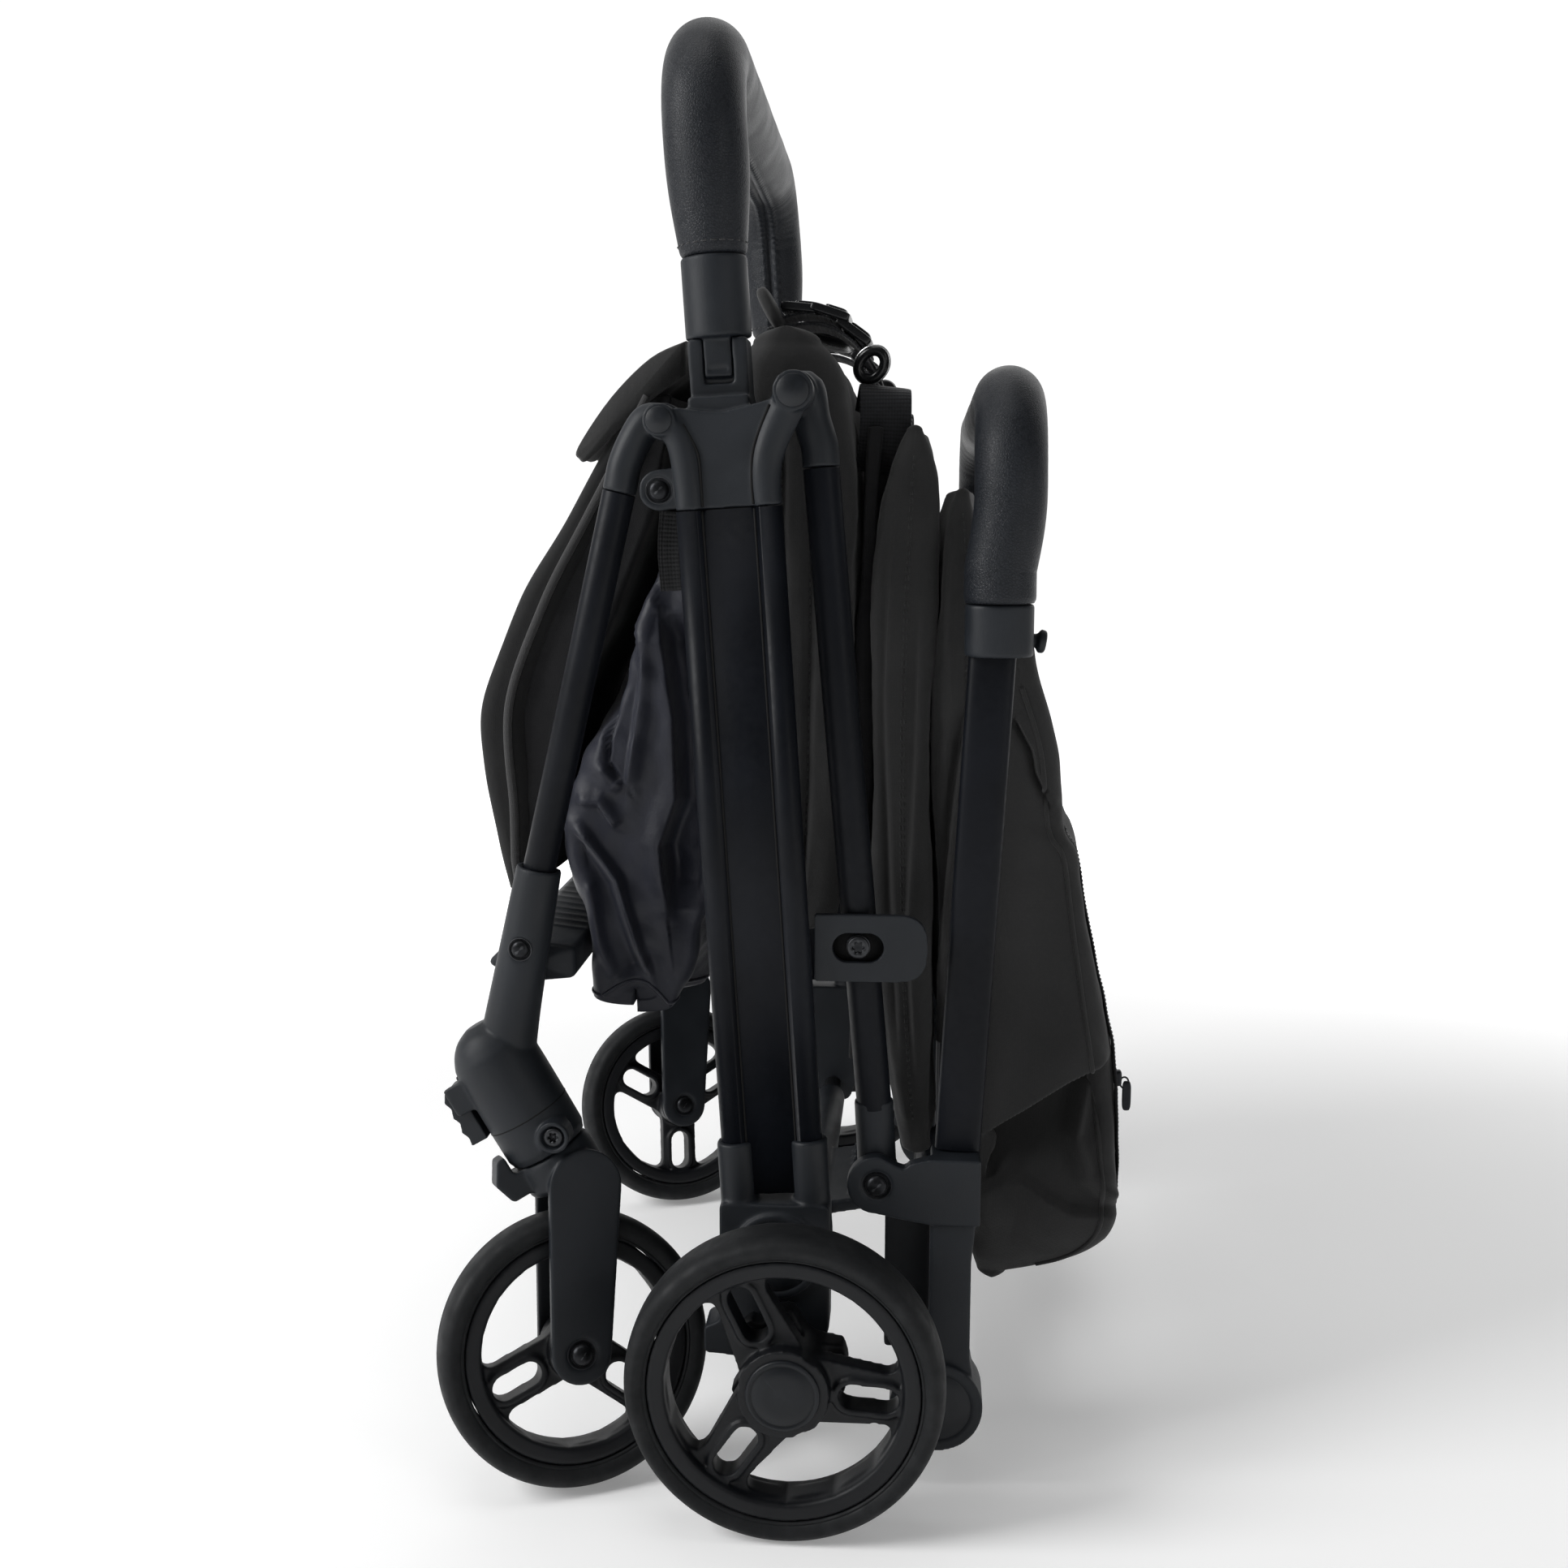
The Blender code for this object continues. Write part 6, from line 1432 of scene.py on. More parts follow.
def latch_pieces():
    """Slotted plate, its screw with a collar, and a dark sheet behind the slot: painted shade in the slot."""
    inner, outer = 0.19200, 0.19600
    outline = rounded(
        [(0.0175, 0.2610, 0.001), (0.0726, 0.2610, 0.014), (0.0726, 0.2944, 0.014), (0.0175, 0.2944, 0.001)]
    )
    slot = stadium(LATCH_SCREW, 0.0250, 0.0146)
    plate = mould("latch_plate_cover", [prism(outline, inner, outer)], [prism(slot, 0.18, 0.21)], 0.0005, 4)
    finished(plate, PLASTIC, "latch", ["latch_plate"])
    screw = merged(
        recessed_screw(0.0055, shift(0.1950, *LATCH_SCREW)),
        turned(
            [(0.0060, 0.1917), (0.0060, 0.1928), (0.0058, 0.1932), (0.0040, 0.1932)],
            shift(0, *LATCH_SCREW),
            40,
        ),
        turned([(0.0050, 0.1925), (0.0050, 0.1945), (0.0020, 0.1946)], shift(0, *LATCH_SCREW), 40),
    )
    finished(make_object("latch_screw_head", screw), STEEL, "link_frame", ["latch_screw"])
    # Painted shade: a near-black sheet just behind the plate that darkens the slot
    slot_shade_sheet = prism(stadium((0.0370, 0.2779), 0.0330, 0.0220), 0.1902, 0.1912)
    finished(make_object("latch_slot_shade", slot_shade_sheet), PAINTED_GROOVE_SHADE, "link_frame")


latch_pieces()


# Handle brackets


def bracket_piece():
    """Plate from the middle pivot to the flat bar, with the arm down to the lower bar."""
    py, pz = MID_PIVOT
    inner, outer = BRACKET_INNER_X, BRACKET_OUTER_X
    front_y, rear_y = BAR_LOW[0] - 0.0134, BAR_LOW[0] + 0.0114
    top = BAR_LOW[1] - GAP
    low = top - 0.0340
    lobe = arc(MID_PIVOT, 0.0148, 90, 270, 24)
    edge = smooth_line(
        [
            (py + 0.002, pz + 0.0146),
            (py + 0.0130, top - 0.0050),
            (front_y - 0.010, top - 0.0026),
            (front_y, top),
        ],
        5,
    )
    outline = np.vstack(
        [lobe, [(py + 0.012, low + 0.0025), (front_y, low), (rear_y, low), (rear_y, top)], edge[::-1]]
    )
    ay, az = ARM_END
    arm = rounded(
        [
            (front_y, low + 0.010, 0.0),
            (rear_y - 0.001, low + 0.010, 0.0),
            (rear_y - 0.004, low - 0.020, 0.010),
            (rear_y - 0.004, az + 0.025, 0.010),
            (ay + 0.020, az + 0.005, 0.0),
            (ay - 0.018, az + 0.005, 0.0),
            (front_y, az + 0.030, 0.010),
        ]
    )
    inner_block = box_outline((ay - 0.027, ay + 0.002), (az + 0.018, low), 0.002)
    bridge = box_outline((front_y + 0.001, ay + 0.004), (az + 0.019, low - 0.004))
    shells = [
        prism(outline, inner, outer),
        prism(box_outline((front_y, rear_y), (low, top), 0.002), 0.1765, outer - 0.0004),
        prism(arm, 0.1763, 0.1975),
        prism(circle(ARM_END, 0.0235), 0.1759, 0.2010),
        prism(inner_block, 0.1500, 0.1733),
        prism(bridge, 0.1540, 0.1805),
    ]
    cuts = [
        prism(circle(MID_PIVOT, 0.0080), outer - 0.0012, 0.21), prism(circle(ARM_END, 0.0185), 0.1998, 0.21)
    ]
    return mould("handle_bracket_cover", shells, cuts)


both_sides("handle_bracket_cover", bracket_piece(), PLASTIC, "handle_frame", "handle_bracket_")
mid_bolt = domed_bolt(0.0055, 0.0034, shift(0.1990, *MID_PIVOT), 0.0077)
both_sides(
    "middle_bolt", make_object("middle_bolt", mid_bolt), STEEL, "handle_frame", "mid_pivot_bolt_"
)
arm_cap = turned(
    [(0.0180, -0.0008), (0.0180, 0.0002), (0.0172, 0.0009), (0.0100, 0.0014), (0.0003, 0.0015)],
    shift(0.1996, *ARM_END),
)
both_sides("arm_round_cap", make_object("arm_round_cap", arm_cap), CAP_PLASTIC, "handle_frame")


def handle_collar_piece():
    """Collar between the flat bar and the grip, with a stud at its rear."""
    middle = np.array([FOLD_PLANE_X, HANDLE_COLLAR_Y, 0.0])
    up = np.array([0.0, 0.0, 1.0])
    low, top = middle + up * HANDLE_COLLAR_LOW, middle + up * (HANDLE_COLLAR_LOW + HANDLE_COLLAR_LENGTH)
    stud = middle + np.array([-0.008, 0.0125, HANDLE_COLLAR_LOW + 0.008])
    reach = np.array([0.0, 0.0060, 0.0066, 0.0072, 0.0098, 0.0105])
    knob = stud + reach[:, None] * np.array([0.0, 1.0, -0.15])
    size = 0.0058 * np.array([0.52, 0.58, 0.86, 1.0, 0.96, 0.70])
    shells = [stick(low, top, (0.0140, 0.0165), edge=0.0014, power=2.3), swept(knob, size[:, None], 32)]
    run = unit(side_point(BAR_TOP) - side_point(BAR_LOW))
    start = side_point(BAR_TOP) - run * 0.010
    cuts = [stick(start, side_point(BAR_TOP) + run * 0.020, (0.0064, 0.0118), power=BAR_SQUARENESS)]
    return mould("handle_collar_cover", shells, cuts, 0.0008, 4)


both_sides(
    "handle_collar_cover", handle_collar_piece(), PLASTIC, "handle_frame", "handle_collar_"
)


# Bumper collars and their tongues


def bumper_collar_piece():
    """Collar on the socket, with the plug and the sprung tongue that go into it."""
    def at(height):
        return apply(BUMPER_PLACE, (SOCKET_MIDDLE_X, 0.0, height))

    top = SOCKET_TOP + BUMPER_COLLAR_LENGTH
    inner = 0.0035
    plug = box_outline((-0.0110, 0.0110), (0.0455, SOCKET_TOP + 0.004), 0.0015)
    tongue = box_outline((-0.0065, 0.0065), (0.0510, SOCKET_TOP + 0.004), 0.0010)
    shells = [
        stick(at(SOCKET_TOP + GAP), at(top), BUMPER_COLLAR_RADIUS, edge=0.0012),
        prism(plug, SOCKET_INNER_X + inner, SOCKET_OUTER_X - inner, matrix=BUMPER_PLACE),
        prism(tongue, 0.1815, 0.1868, matrix=BUMPER_PLACE),
    ]
    pull = prism(
        box_outline((-0.0050, 0.0050), (0.0530, 0.0560), 0.0008), 0.1862, 0.1900, matrix=BUMPER_PLACE
    )
    return mould("bumper_collar_cover", shells, [pull], 0.0008, 4)


both_sides("bumper_collar_cover", bumper_collar_piece(), PLASTIC, "bumper", "bumper_collar_")


# Leatherette grips


def half_loop(leg_x, low, top, bend):
    """Half of a U seen from the front, as (x, height): up the leg, round the bend, in to the middle."""
    leg = np.column_stack([np.full(20, leg_x), np.linspace(low, top - bend, 20)])
    corner = arc((leg_x - bend, top - bend), bend, 0, 90, 30)
    across = np.column_stack([np.linspace(leg_x - bend, 0.0, 24), np.full(24, top)])
    return np.vstack([leg, corner[1:], across[1:]])


def whole_loop(half):
    """Both halves of a loop, from one end to the other."""
    other = half[::-1][1:] * np.array([-1.0] + [1.0] * (half.shape[1] - 1))
    return np.vstack([half, other])


def grip_surface(path, radii, across, seam_width=0.0042, pitch=0.0065):
    """A wrapped bar: radius + a laced seam along the inside of the bend.

    The seam is two ridges either side of a groove, each a bell curve across it whose height waves along it.
    Columns crowd together near the seam. Soft wrinkles cross the inside where the bar bends.
    """
    run = run_of(path)[:, None]
    count = 104
    t = 2 * np.pi * (np.arange(count) + 0.5) / count
    near = t - 0.62 * np.sin(t)
    angles = np.pi / 2 + near
    away = (near + np.pi) % (2 * np.pi) - np.pi
    sideways = away[None] * radii[:, None]
    scallop = 0.62 + 0.38 * np.cos(2 * np.pi * run / pitch + 1.2 * np.sign(sideways))
    ridges = RIDGE_HEIGHT * np.exp(-(((np.abs(sideways) - seam_width) / RIDGE_SPREAD) ** 2)) * scallop
    groove = GROOVE_DEPTH * np.exp(-((sideways / GROOVE_SPREAD) ** 2))
    ahead = unit(np.gradient(path, axis=0))
    bending = np.linalg.norm(np.gradient(ahead, axis=0), axis=1) / np.gradient(run[:, 0])
    wrinkle = 0.00022 * np.minimum(1.0, bending / 15)[:, None] * np.sin(run * 900 + 3 * np.sin(run * 160))
    relief = ridges - groove + wrinkle * np.exp(-((away[None] / 1.1) ** 2))
    clouds = 0.00010 * np.sin(run * 95 + 2.0 * np.cos(angles)[None]) * np.cos(
        run * 41 + np.sin(angles)[None] * 3
    )
    return swept(path, radii[:, None], across=across, relief=relief + clouds, angles=angles)


def stitches(line, outward, length=0.0030, gap=0.0012, radius=0.00030):
    """Thread stitches along a line: five small rings each, whose radius falls off towards both ends."""
    run = run_of(line)
    count = max(1, int(run[-1] / (length + gap)))
    middle = (np.arange(count) + 0.5) * (run[-1] / count)
    offsets = np.array([-1.0, -0.75, 0.0, 0.75, 1.0]) * length / 2
    at = np.clip(middle[:, None] + offsets[None], 0, run[-1])
    place = np.stack([np.interp(at, run, line[:, k]) for k in range(3)], -1)
    out = np.stack([np.interp(at, run, outward[:, k]) for k in range(3)], -1)
    ahead = unit(place[:, -1:] - place[:, :1] + 1e-9)
    out = unit(out - ahead * np.sum(out * ahead, axis=-1, keepdims=True))
    side = np.cross(np.broadcast_to(ahead, out.shape), out)
    size = radius * np.array([0.25, 0.9, 1.0, 0.9, 0.25])[None, :, None, None]
    lift = radius * np.array([-0.6, 0.35, 0.8, 0.35, -0.6])[None, :, None]
    angle = 2 * np.pi * np.arange(6) / 6
    ring = side[:, :, None] * np.cos(angle)[None, None, :, None] + out[:, :, None] * np.sin(angle)[
        None, None, :, None
    ]
    points = (place + out * lift)[:, :, None] + ring * size
    return merged(*[grid(one) for one in points])


def end_tuck(loop):
    """How far a grip's radius is drawn in, a bell curve from each end of its loop."""
    run = run_of(loop)
    end = np.minimum(run, run[-1] - run)
    return 0.0010 * np.exp(-((end / 0.0012) ** 2))


def make_bumper_grip():
    """The wrapped bumper bar, wider at its bend, with a row of stitches at each end."""
    low = SOCKET_TOP + BUMPER_COLLAR_LENGTH + GAP
    half = half_loop(SOCKET_MIDDLE_X, low, BUMPER_HEIGHT - BUMPER_GRIP_RADIUS, BUMPER_BEND)
    loop = evenly(whole_loop(half), GRIP_STEP)
    height = loop[:, 1]
    widening = np.sin(np.minimum(1.0, (height - low) / GRIP_WIDENS_OVER) * np.pi / 2)
    radii = BUMPER_COLLAR_RADIUS + (BUMPER_GRIP_RADIUS - BUMPER_COLLAR_RADIUS) * widening - end_tuck(loop)
    path = np.column_stack([loop[:, 0], np.zeros(len(loop)), height])
    path = path @ BUMPER_PLACE[:3, :3].T + BUMPER_PLACE[:3, 3]
    across = BUMPER_PLACE[:3, 1]
    item = make_object("bumper_grip_cover", grip_surface(path, radii, across))
    finished(item, LEATHERETTE, "bumper", ["bumper_grip"])
    rows = []
    turn = 2 * np.pi * np.arange(73) / 72
    for sign in (1, -1):
        centre = apply(BUMPER_PLACE, (sign * SOCKET_MIDDLE_X, 0.0, low + 0.0050))
        out = np.cos(turn)[:, None] * np.array([1.0, 0, 0]) + np.sin(turn)[:, None] * BUMPER_PLACE[:3, 1]
        radius = np.interp(low + 0.0050, height[: len(height) // 2], radii[: len(radii) // 2])
        rows.append(stitches(centre + out * (radius + 0.00005), out))
    finished(make_object("bumper_edge_stitches", merged(*rows)), THREAD, "bumper")


make_bumper_grip()


def make_handle_grip():
    """The wrapped push bar, and the release button in its frame on top."""
    low = HANDLE_COLLAR_LOW + HANDLE_COLLAR_LENGTH + GAP
    top_y, top = HANDLE_GRIP_TOP
    loop = evenly(whole_loop(half_loop(FOLD_PLANE_X, low, top, HANDLE_GRIP_BEND)), GRIP_STEP)
    straight = low + 0.0160
    share = np.clip((loop[:, 1] - straight) / (top - HANDLE_GRIP_BEND - straight), 0, 1)
    y = HANDLE_COLLAR_Y + (top_y - HANDLE_COLLAR_Y) * np.sin(share * np.pi / 2)
    path = np.column_stack([loop[:, 0], y, loop[:, 1]])
    radii = HANDLE_GRIP_RADIUS - end_tuck(loop)
    item = make_object("push_grip_cover", grip_surface(path, radii, (0, 1, 0)))
    finished(item, LEATHERETTE, "handle_frame", ["handle_grip"])
    place = shift(0, *HANDLE_GRIP_TOP) @ SKYWARD
    frame_ring = stadium((0, 0), 0.0372, 0.0162)
    collar = mould(
        "release_button_frame", [prism(frame_ring, 0.0150, 0.0180, matrix=place)],
        [prism(stadium((0, 0), 0.0344, 0.0134), 0.01, 0.03, matrix=place)], 0.0004, 3,
    )
    finished(collar, PLASTIC, "handle_frame")
    button = prism(stadium((0, 0), 0.0340, 0.0130, steps=20), 0.0100, 0.0184, 0.0012, place)
    finished(
        make_object("release_button_cover", button), GLOSS_PLASTIC, "release", ["release_button"]
    )


make_handle_grip()


# Footrest and brake pedal


def footrest_surface():
    """Rounded panel between the front legs: an outline carried across, with a lip and shallow ribs."""
    y, z = -0.1535, 0.2590
    outline = rounded(
        [
            (y, z, 0.003),
            (y + 0.0140, 0.2720, 0.005),
            (y + 0.0465, 0.2680, 0.004),
            (y + 0.0465, 0.2520, 0.004),
            (y + 0.0186, 0.2490, 0.004),
        ],
        8,
    )
    x = np.linspace(-FOOTREST_HALF, FOOTREST_HALF, 181)
    drawn = drawn_in(outline, x, FOOTREST_HALF, 0.10)
    ribs = 0.00035 * np.maximum(0, np.sin(x * 2 * np.pi / 0.0125)) * (np.abs(x) < 0.13)
    drawn[:, :, 1] += ribs[:, None] * (outline[None, :, 1] > 0.2655)
    return grid(carried(x, drawn))


finished(make_object("footrest_panel", footrest_surface()), PLASTIC, "front_frame", ["footrest"])


def brake_piece():
    """A sleeve on the axle with a ribbed pedal in its middle."""
    y, z = REAR_AXLE
    reach, lift = y + 0.0460, z + 0.0100
    pedal = rounded(
        [
            (y + 0.004, z - 0.0020, 0.0),
            (reach, lift - 0.0040, 0.003),
            (reach, lift + 0.0030, 0.003),
            (y + 0.004, z + 0.0060, 0.0),
        ]
    )
    shells = [
        stick((-BRAKE_BAR_HALF, y, z), (BRAKE_BAR_HALF, y, z), 0.0100, across=(0, 1, 0), sides=40),
        prism(pedal, -0.045, 0.045),
    ]
    for i in range(7):
        x = (i - 3) * 0.0115
        rib = box_outline((y + 0.022, reach - 0.003), (lift - 0.001, lift + 0.0042), 0.0006)
        shells.append(prism(rib, x - 0.0018, x + 0.0018))
    bore = stick((-0.17, y, z), (0.17, y, z), 0.0064, across=(0, 1, 0), sides=32)
    return mould("brake_pedal_cover", shells, [bore], 0.0011, 3)


finished(brake_piece(), PLASTIC, "brake", ["brake_pedal"])


# Cloth


def ring_columns(side, corner, face):
    """A bundle's ring by columns: share across the width, share of the depth, and which way it faces."""
    along = np.linspace(-1, 1, side)
    turn = np.linspace(0, np.pi / 2, corner + 2)[1:-1]
    over = np.linspace(1, -1, face + 2)[1:-1]
    one, zero = np.ones, np.zeros
    parts = [
        (one(side), along, one(side), zero(side)),
        (one(corner), one(corner), np.cos(turn), np.sin(turn)),
        (over, one(face), zero(face), one(face)),
        (-one(corner), one(corner), -np.sin(turn), np.cos(turn)),
        (-one(side), -along, -one(side), zero(side)),
        (-one(corner), -one(corner), -np.cos(turn), -np.sin(turn)),
        (-over, -one(face), zero(face), -one(face)),
        (one(corner), -one(corner), np.sin(turn), -np.cos(turn)),
    ]
    return (np.concatenate([part[k] for part in parts]) for k in range(4))


def waves(y, z, x, size, seed, count=7):
    """Soft uneven relief between -1 and 1: a sum of sines of chosen length in directions drawn once."""
    drawn = np.random.default_rng(seed)
    total = np.zeros(np.broadcast(y, z, x).shape)
    for _ in range(count):
        way = drawn.normal(size=3)
        way = way / np.linalg.norm(way) * (2 * np.pi / size) * drawn.uniform(0.6, 1.5)
        total = total + np.sin(x * way[0] + y * way[1] + z * way[2] + drawn.uniform(0, 6.28))
    return total / count**0.5 * 0.7


def line_place(y, z, line):
    """Signed distance to a side-view line, positive on the left of its run, and the share of its run."""
    line = np.asarray(line, float)
    run = run_of(line)
    best = np.full(np.shape(y), 1e9)
    signed, share = np.zeros(np.shape(y)), np.zeros(np.shape(y))
    for i, (a, b) in enumerate(zip(line[:-1], line[1:])):
        step = b - a
        length = np.linalg.norm(step)
        along = np.clip(((y - a[0]) * step[0] + (z - a[1]) * step[1]) / length**2, 0, 1)
        gap = np.hypot(y - a[0] - along * step[0], z - a[1] - along * step[1])
        side = np.sign(step[0] * (z - a[1]) - step[1] * (y - a[0]))
        nearer = gap < best
        best = np.where(nearer, gap, best)
        signed = np.where(nearer, gap * side, signed)
        share = np.where(nearer, (run[i] + along * length) / run[-1], share)
    return signed, share


def crease(y, z, line, left, right):
    """A fold's crest: 1 on the line, a bell curve of one width on its left and of another on its right,
    and a sine towards both of its ends."""
    gap, share = line_place(y, z, line)
    width = np.where(gap > 0, left, right)
    return np.exp(-((gap / width) ** 2)) * np.minimum(1.0, 3.2 * np.sin(np.pi * np.clip(share, 0.02, 0.98)))


def hollow(y, z, line, near, far):
    """The hollow under a fold: 0 on the line and on its left, deepest a little way off on its right."""
    gap, share = line_place(y, z, line)
    gap = np.maximum(-gap, 0.0)
    fade = np.minimum(1.0, 3.0 * np.sin(np.pi * np.clip(share, 0.02, 0.98)))
    return (1 - np.exp(-((gap / near) ** 2))) * np.exp(-((gap / far) ** 2)) * fade


def bundle(levels, relief, rows=150, side=CLOTH_SIDE, face=64, roundness=0.009, lift=None, crown=0.004):
    """Cloth folded flat and standing on edge. A level is (z, front y, rear y, half width).

    Each ring is a rounded oblong of the levels' size at that height, pushed out along its normal by
    relief and raised by lift; crown rows close the top and bottom in a quarter circle. Relief and lift are
    functions of x, y, z, the share b of the depth, and the normal's part c across the width.
    """
    a, b, c, s = ring_columns(side, CLOTH_CORNER, face)
    curve = smooth_line(levels, 12)
    z = np.linspace(curve[0, 0], curve[-1, 0], rows)
    front, rear, half = (np.interp(z, curve[:, 0], curve[:, k])[:, None] for k in (1, 2, 3))
    z = z[:, None] + 0 * a
    turn = np.linspace(0, np.pi / 2, 9)[1:]
    size = np.minimum(roundness, 0.46 * (rear - front))
    middle = (front + rear) / 2
    x = a * (half - size) + size * c
    y = middle + b * ((rear - front) / 2 - size) + size * s
    push = relief(x, y, z, b, c)
    x, y = x + c * push, y + s * push
    if lift is not None:
        z = z + lift(x, y, z, b, c)
    points = np.stack([x, y, z], -1)
    ends = []
    for row, sign in ((points[0], -1.0), (points[-1], 1.0)):
        centre = row.mean(0)
        drawn = []
        for q in turn:
            inner = row.copy()
            inner[:, 1] = centre[1] + (row[:, 1] - centre[1]) * max(math.cos(q), 0.05)
            inner[:, 0] = row[:, 0] * (1 - 0.01 * (1 - math.cos(q)))
            inner[:, 2] = row[:, 2] + sign * crown * math.sin(q)
            drawn.append(inner)
        ends.append(drawn)
    points = np.concatenate([np.array(ends[0][::-1]), points, np.array(ends[1])])
    return points


def surface_line(points, x_sign, rows, share, side=CLOTH_SIDE):
    """Points on one side of a bundle from its grid: at each row, the column whose depth share is nearest."""
    count = points.shape[1]
    start = 0 if x_sign > 0 else count // 2
    column = start + np.clip(np.asarray(share) * (side - 1), 0, side - 1)
    low = np.floor(column).astype(int)
    high = np.minimum(low + 1, start + side - 1)
    part = (column - low)[:, None]
    return points[rows, low] * (1 - part) + points[rows, high] * part


def padded_cloth(name, surface, finish, body, nodes=()):
    """A closed piece of cloth."""
    item = make_object(name, surface)
    finished(item, finish, body, nodes)


def trim(name, shapes, finish, body):
    """Small shapes of one kind on the cloth, as one piece."""
    finished(make_object(name, merged(*shapes)), finish, body)


def seat_relief(x, y, z, b, c):
    """Padded seat: long channels down its sides, buckles across the faces, and a soft swell."""
    side = np.abs(c)
    pleat = -0.0035 * np.exp(-(((b + 0.28) / 0.13) ** 2)) - 0.0030 * np.exp(-(((b - 0.42) / 0.12) ** 2))
    pleat = pleat * np.clip((0.555 - z) / 0.03, 0, 1)
    drag = 0.0012 * waves(y, z, x, 0.05, 3) + 0.0005 * waves(y, z, x, 0.018, 4)
    buckle = 0.0022 * np.sin(x * 62 + 1.4 * np.sin(z * 40)) * (1 - side) * np.sin(z * 25)
    return side * pleat + drag + buckle


def make_seat():
    """The folded seat, with two lines of stitches up each side."""
    half = CLOTH_HALF
    levels = [
        (0.2800, -0.0180, 0.0240, half - 0.006),
        (0.3400, -0.0260, 0.0320, half),
        (0.4200, -0.0290, 0.0350, half),
        (0.5000, -0.0290, 0.0350, half),
        (0.5400, -0.0275, 0.0300, half),
        (0.5600, -0.0240, 0.0240, half - 0.002),
        (0.5710, -0.0170, 0.0150, half - 0.006),
    ]
    points = bundle(levels, seat_relief, roundness=0.012, crown=0.008)
    padded_cloth("seat_pad_cloth", grid(points), CHARCOAL, "rear_frame", ["seat_pad"])
    rows = np.arange(30, 150)
    seams = []
    for sign in (1, -1):
        for share in (0.36, 0.71):
            line = surface_line(points, sign, rows, np.full(len(rows), share))
            seams.append(stitches(line, np.broadcast_to([float(sign), 0, 0], line.shape)))
    trim("seat_pad_stitches", seams, THREAD, "rear_frame")


def canopy_relief(seed, folds=()):
    """Taut canopy cloth: folds where it is pulled, long ripples down the sides, buckles across the faces."""

    def relief(x, y, z, b, c):
        side = np.abs(c)
        total = 0.0007 * waves(y * 2.2, z, x, 0.06, seed) + 0.0004 * waves(y, z, x, 0.02, seed + 1)
        for line, left, right, depth in folds:
            total = total + side * depth * crease(y, z, line, left, right)
        return total + (1 - side) * 0.0020 * np.sin(x * 48 + 1.5 * np.sin(z * 31 + seed))

    return relief


def make_canopy():
    """Two folded panels of the canopy with their stitches, and the backrest's lining."""
    half = CLOTH_HALF
    panels = [
        (
            [
                (0.1540, 0.0590, 0.0775, half - 0.012),
                (0.1900, 0.0530, 0.0755, half - 0.004),
                (0.2600, 0.0465, 0.0735, half),
                (0.3500, 0.0425, 0.0735, half),
                (0.4300, 0.0430, 0.0745, half),
                (0.4850, 0.0475, 0.0745, half),
                (0.5130, 0.0535, 0.0720, half - 0.003),
                (0.5280, 0.0590, 0.0680, half - 0.009),
            ],
            31,
            (0.50, 0.60),
            [
                ([(0.050, 0.26), (0.056, 0.21), (0.064, 0.165)], 0.006, 0.002, 0.0030),
                ([(0.051, 0.49), (0.048, 0.40), (0.053, 0.29), (0.058, 0.20)], 0.0016, 0.0060, -0.0034),
                ([(0.068, 0.44), (0.067, 0.37), (0.063, 0.28), (0.068, 0.20)], 0.0050, 0.0014, 0.0028),
            ],
        ),
        (
            [
                (0.2120, 0.0785, 0.0950, half - 0.014),
                (0.2700, 0.0765, 0.0975, half - 0.003),
                (0.3600, 0.0755, 0.0990, half - 0.001),
                (0.4400, 0.0760, 0.0985, half - 0.001),
                (0.4780, 0.0775, 0.0965, half - 0.004),
                (0.4970, 0.0825, 0.0925, half - 0.011),
            ],
            59,
            (0.86,),
            [
                ([(0.094, 0.400), (0.087, 0.350), (0.080, 0.283), (0.080, 0.230)], 0.0045, 0.0014, 0.0046),
                ([(0.090, 0.385), (0.082, 0.320), (0.079, 0.260)], 0.0016, 0.0050, -0.0042),
                ([(0.083, 0.480), (0.081, 0.430), (0.084, 0.390)], 0.0030, 0.0014, 0.0022),
            ],
        ),
    ]
    shapes, seams = [], []
    for levels, seed, shares, folds in panels:
        points = bundle(levels, canopy_relief(seed, folds), rows=130, face=56, roundness=0.0075, crown=0.003)
        shapes.append(grid(points))
        rows = np.arange(14, 134)
        for share in shares:
            for sign in (1, -1):
                turned_share = share if sign > 0 else 1 - share
                line = surface_line(points, sign, rows, np.full(len(rows), turned_share))
                seams.append(stitches(line, np.broadcast_to([float(sign), 0, 0], line.shape)))
    padded_cloth("canopy_cloth", merged(*shapes), HOOD, "link_frame", ["canopy"])
    trim("canopy_stitches", seams, THREAD, "link_frame")
    back = [
        (0.2000, 0.0330, 0.0430, half - 0.020),
        (0.3500, 0.0355, 0.0435, half - 0.012),
        (0.4800, 0.0365, 0.0455, half - 0.012),
        (0.5300, 0.0390, 0.0480, half - 0.022),
    ]
    inner = bundle(back, canopy_relief(71), rows=90, side=16, face=40, roundness=0.0025, crown=0.001)
    padded_cloth("backrest_lining", grid(inner), LINING, "rear_frame")


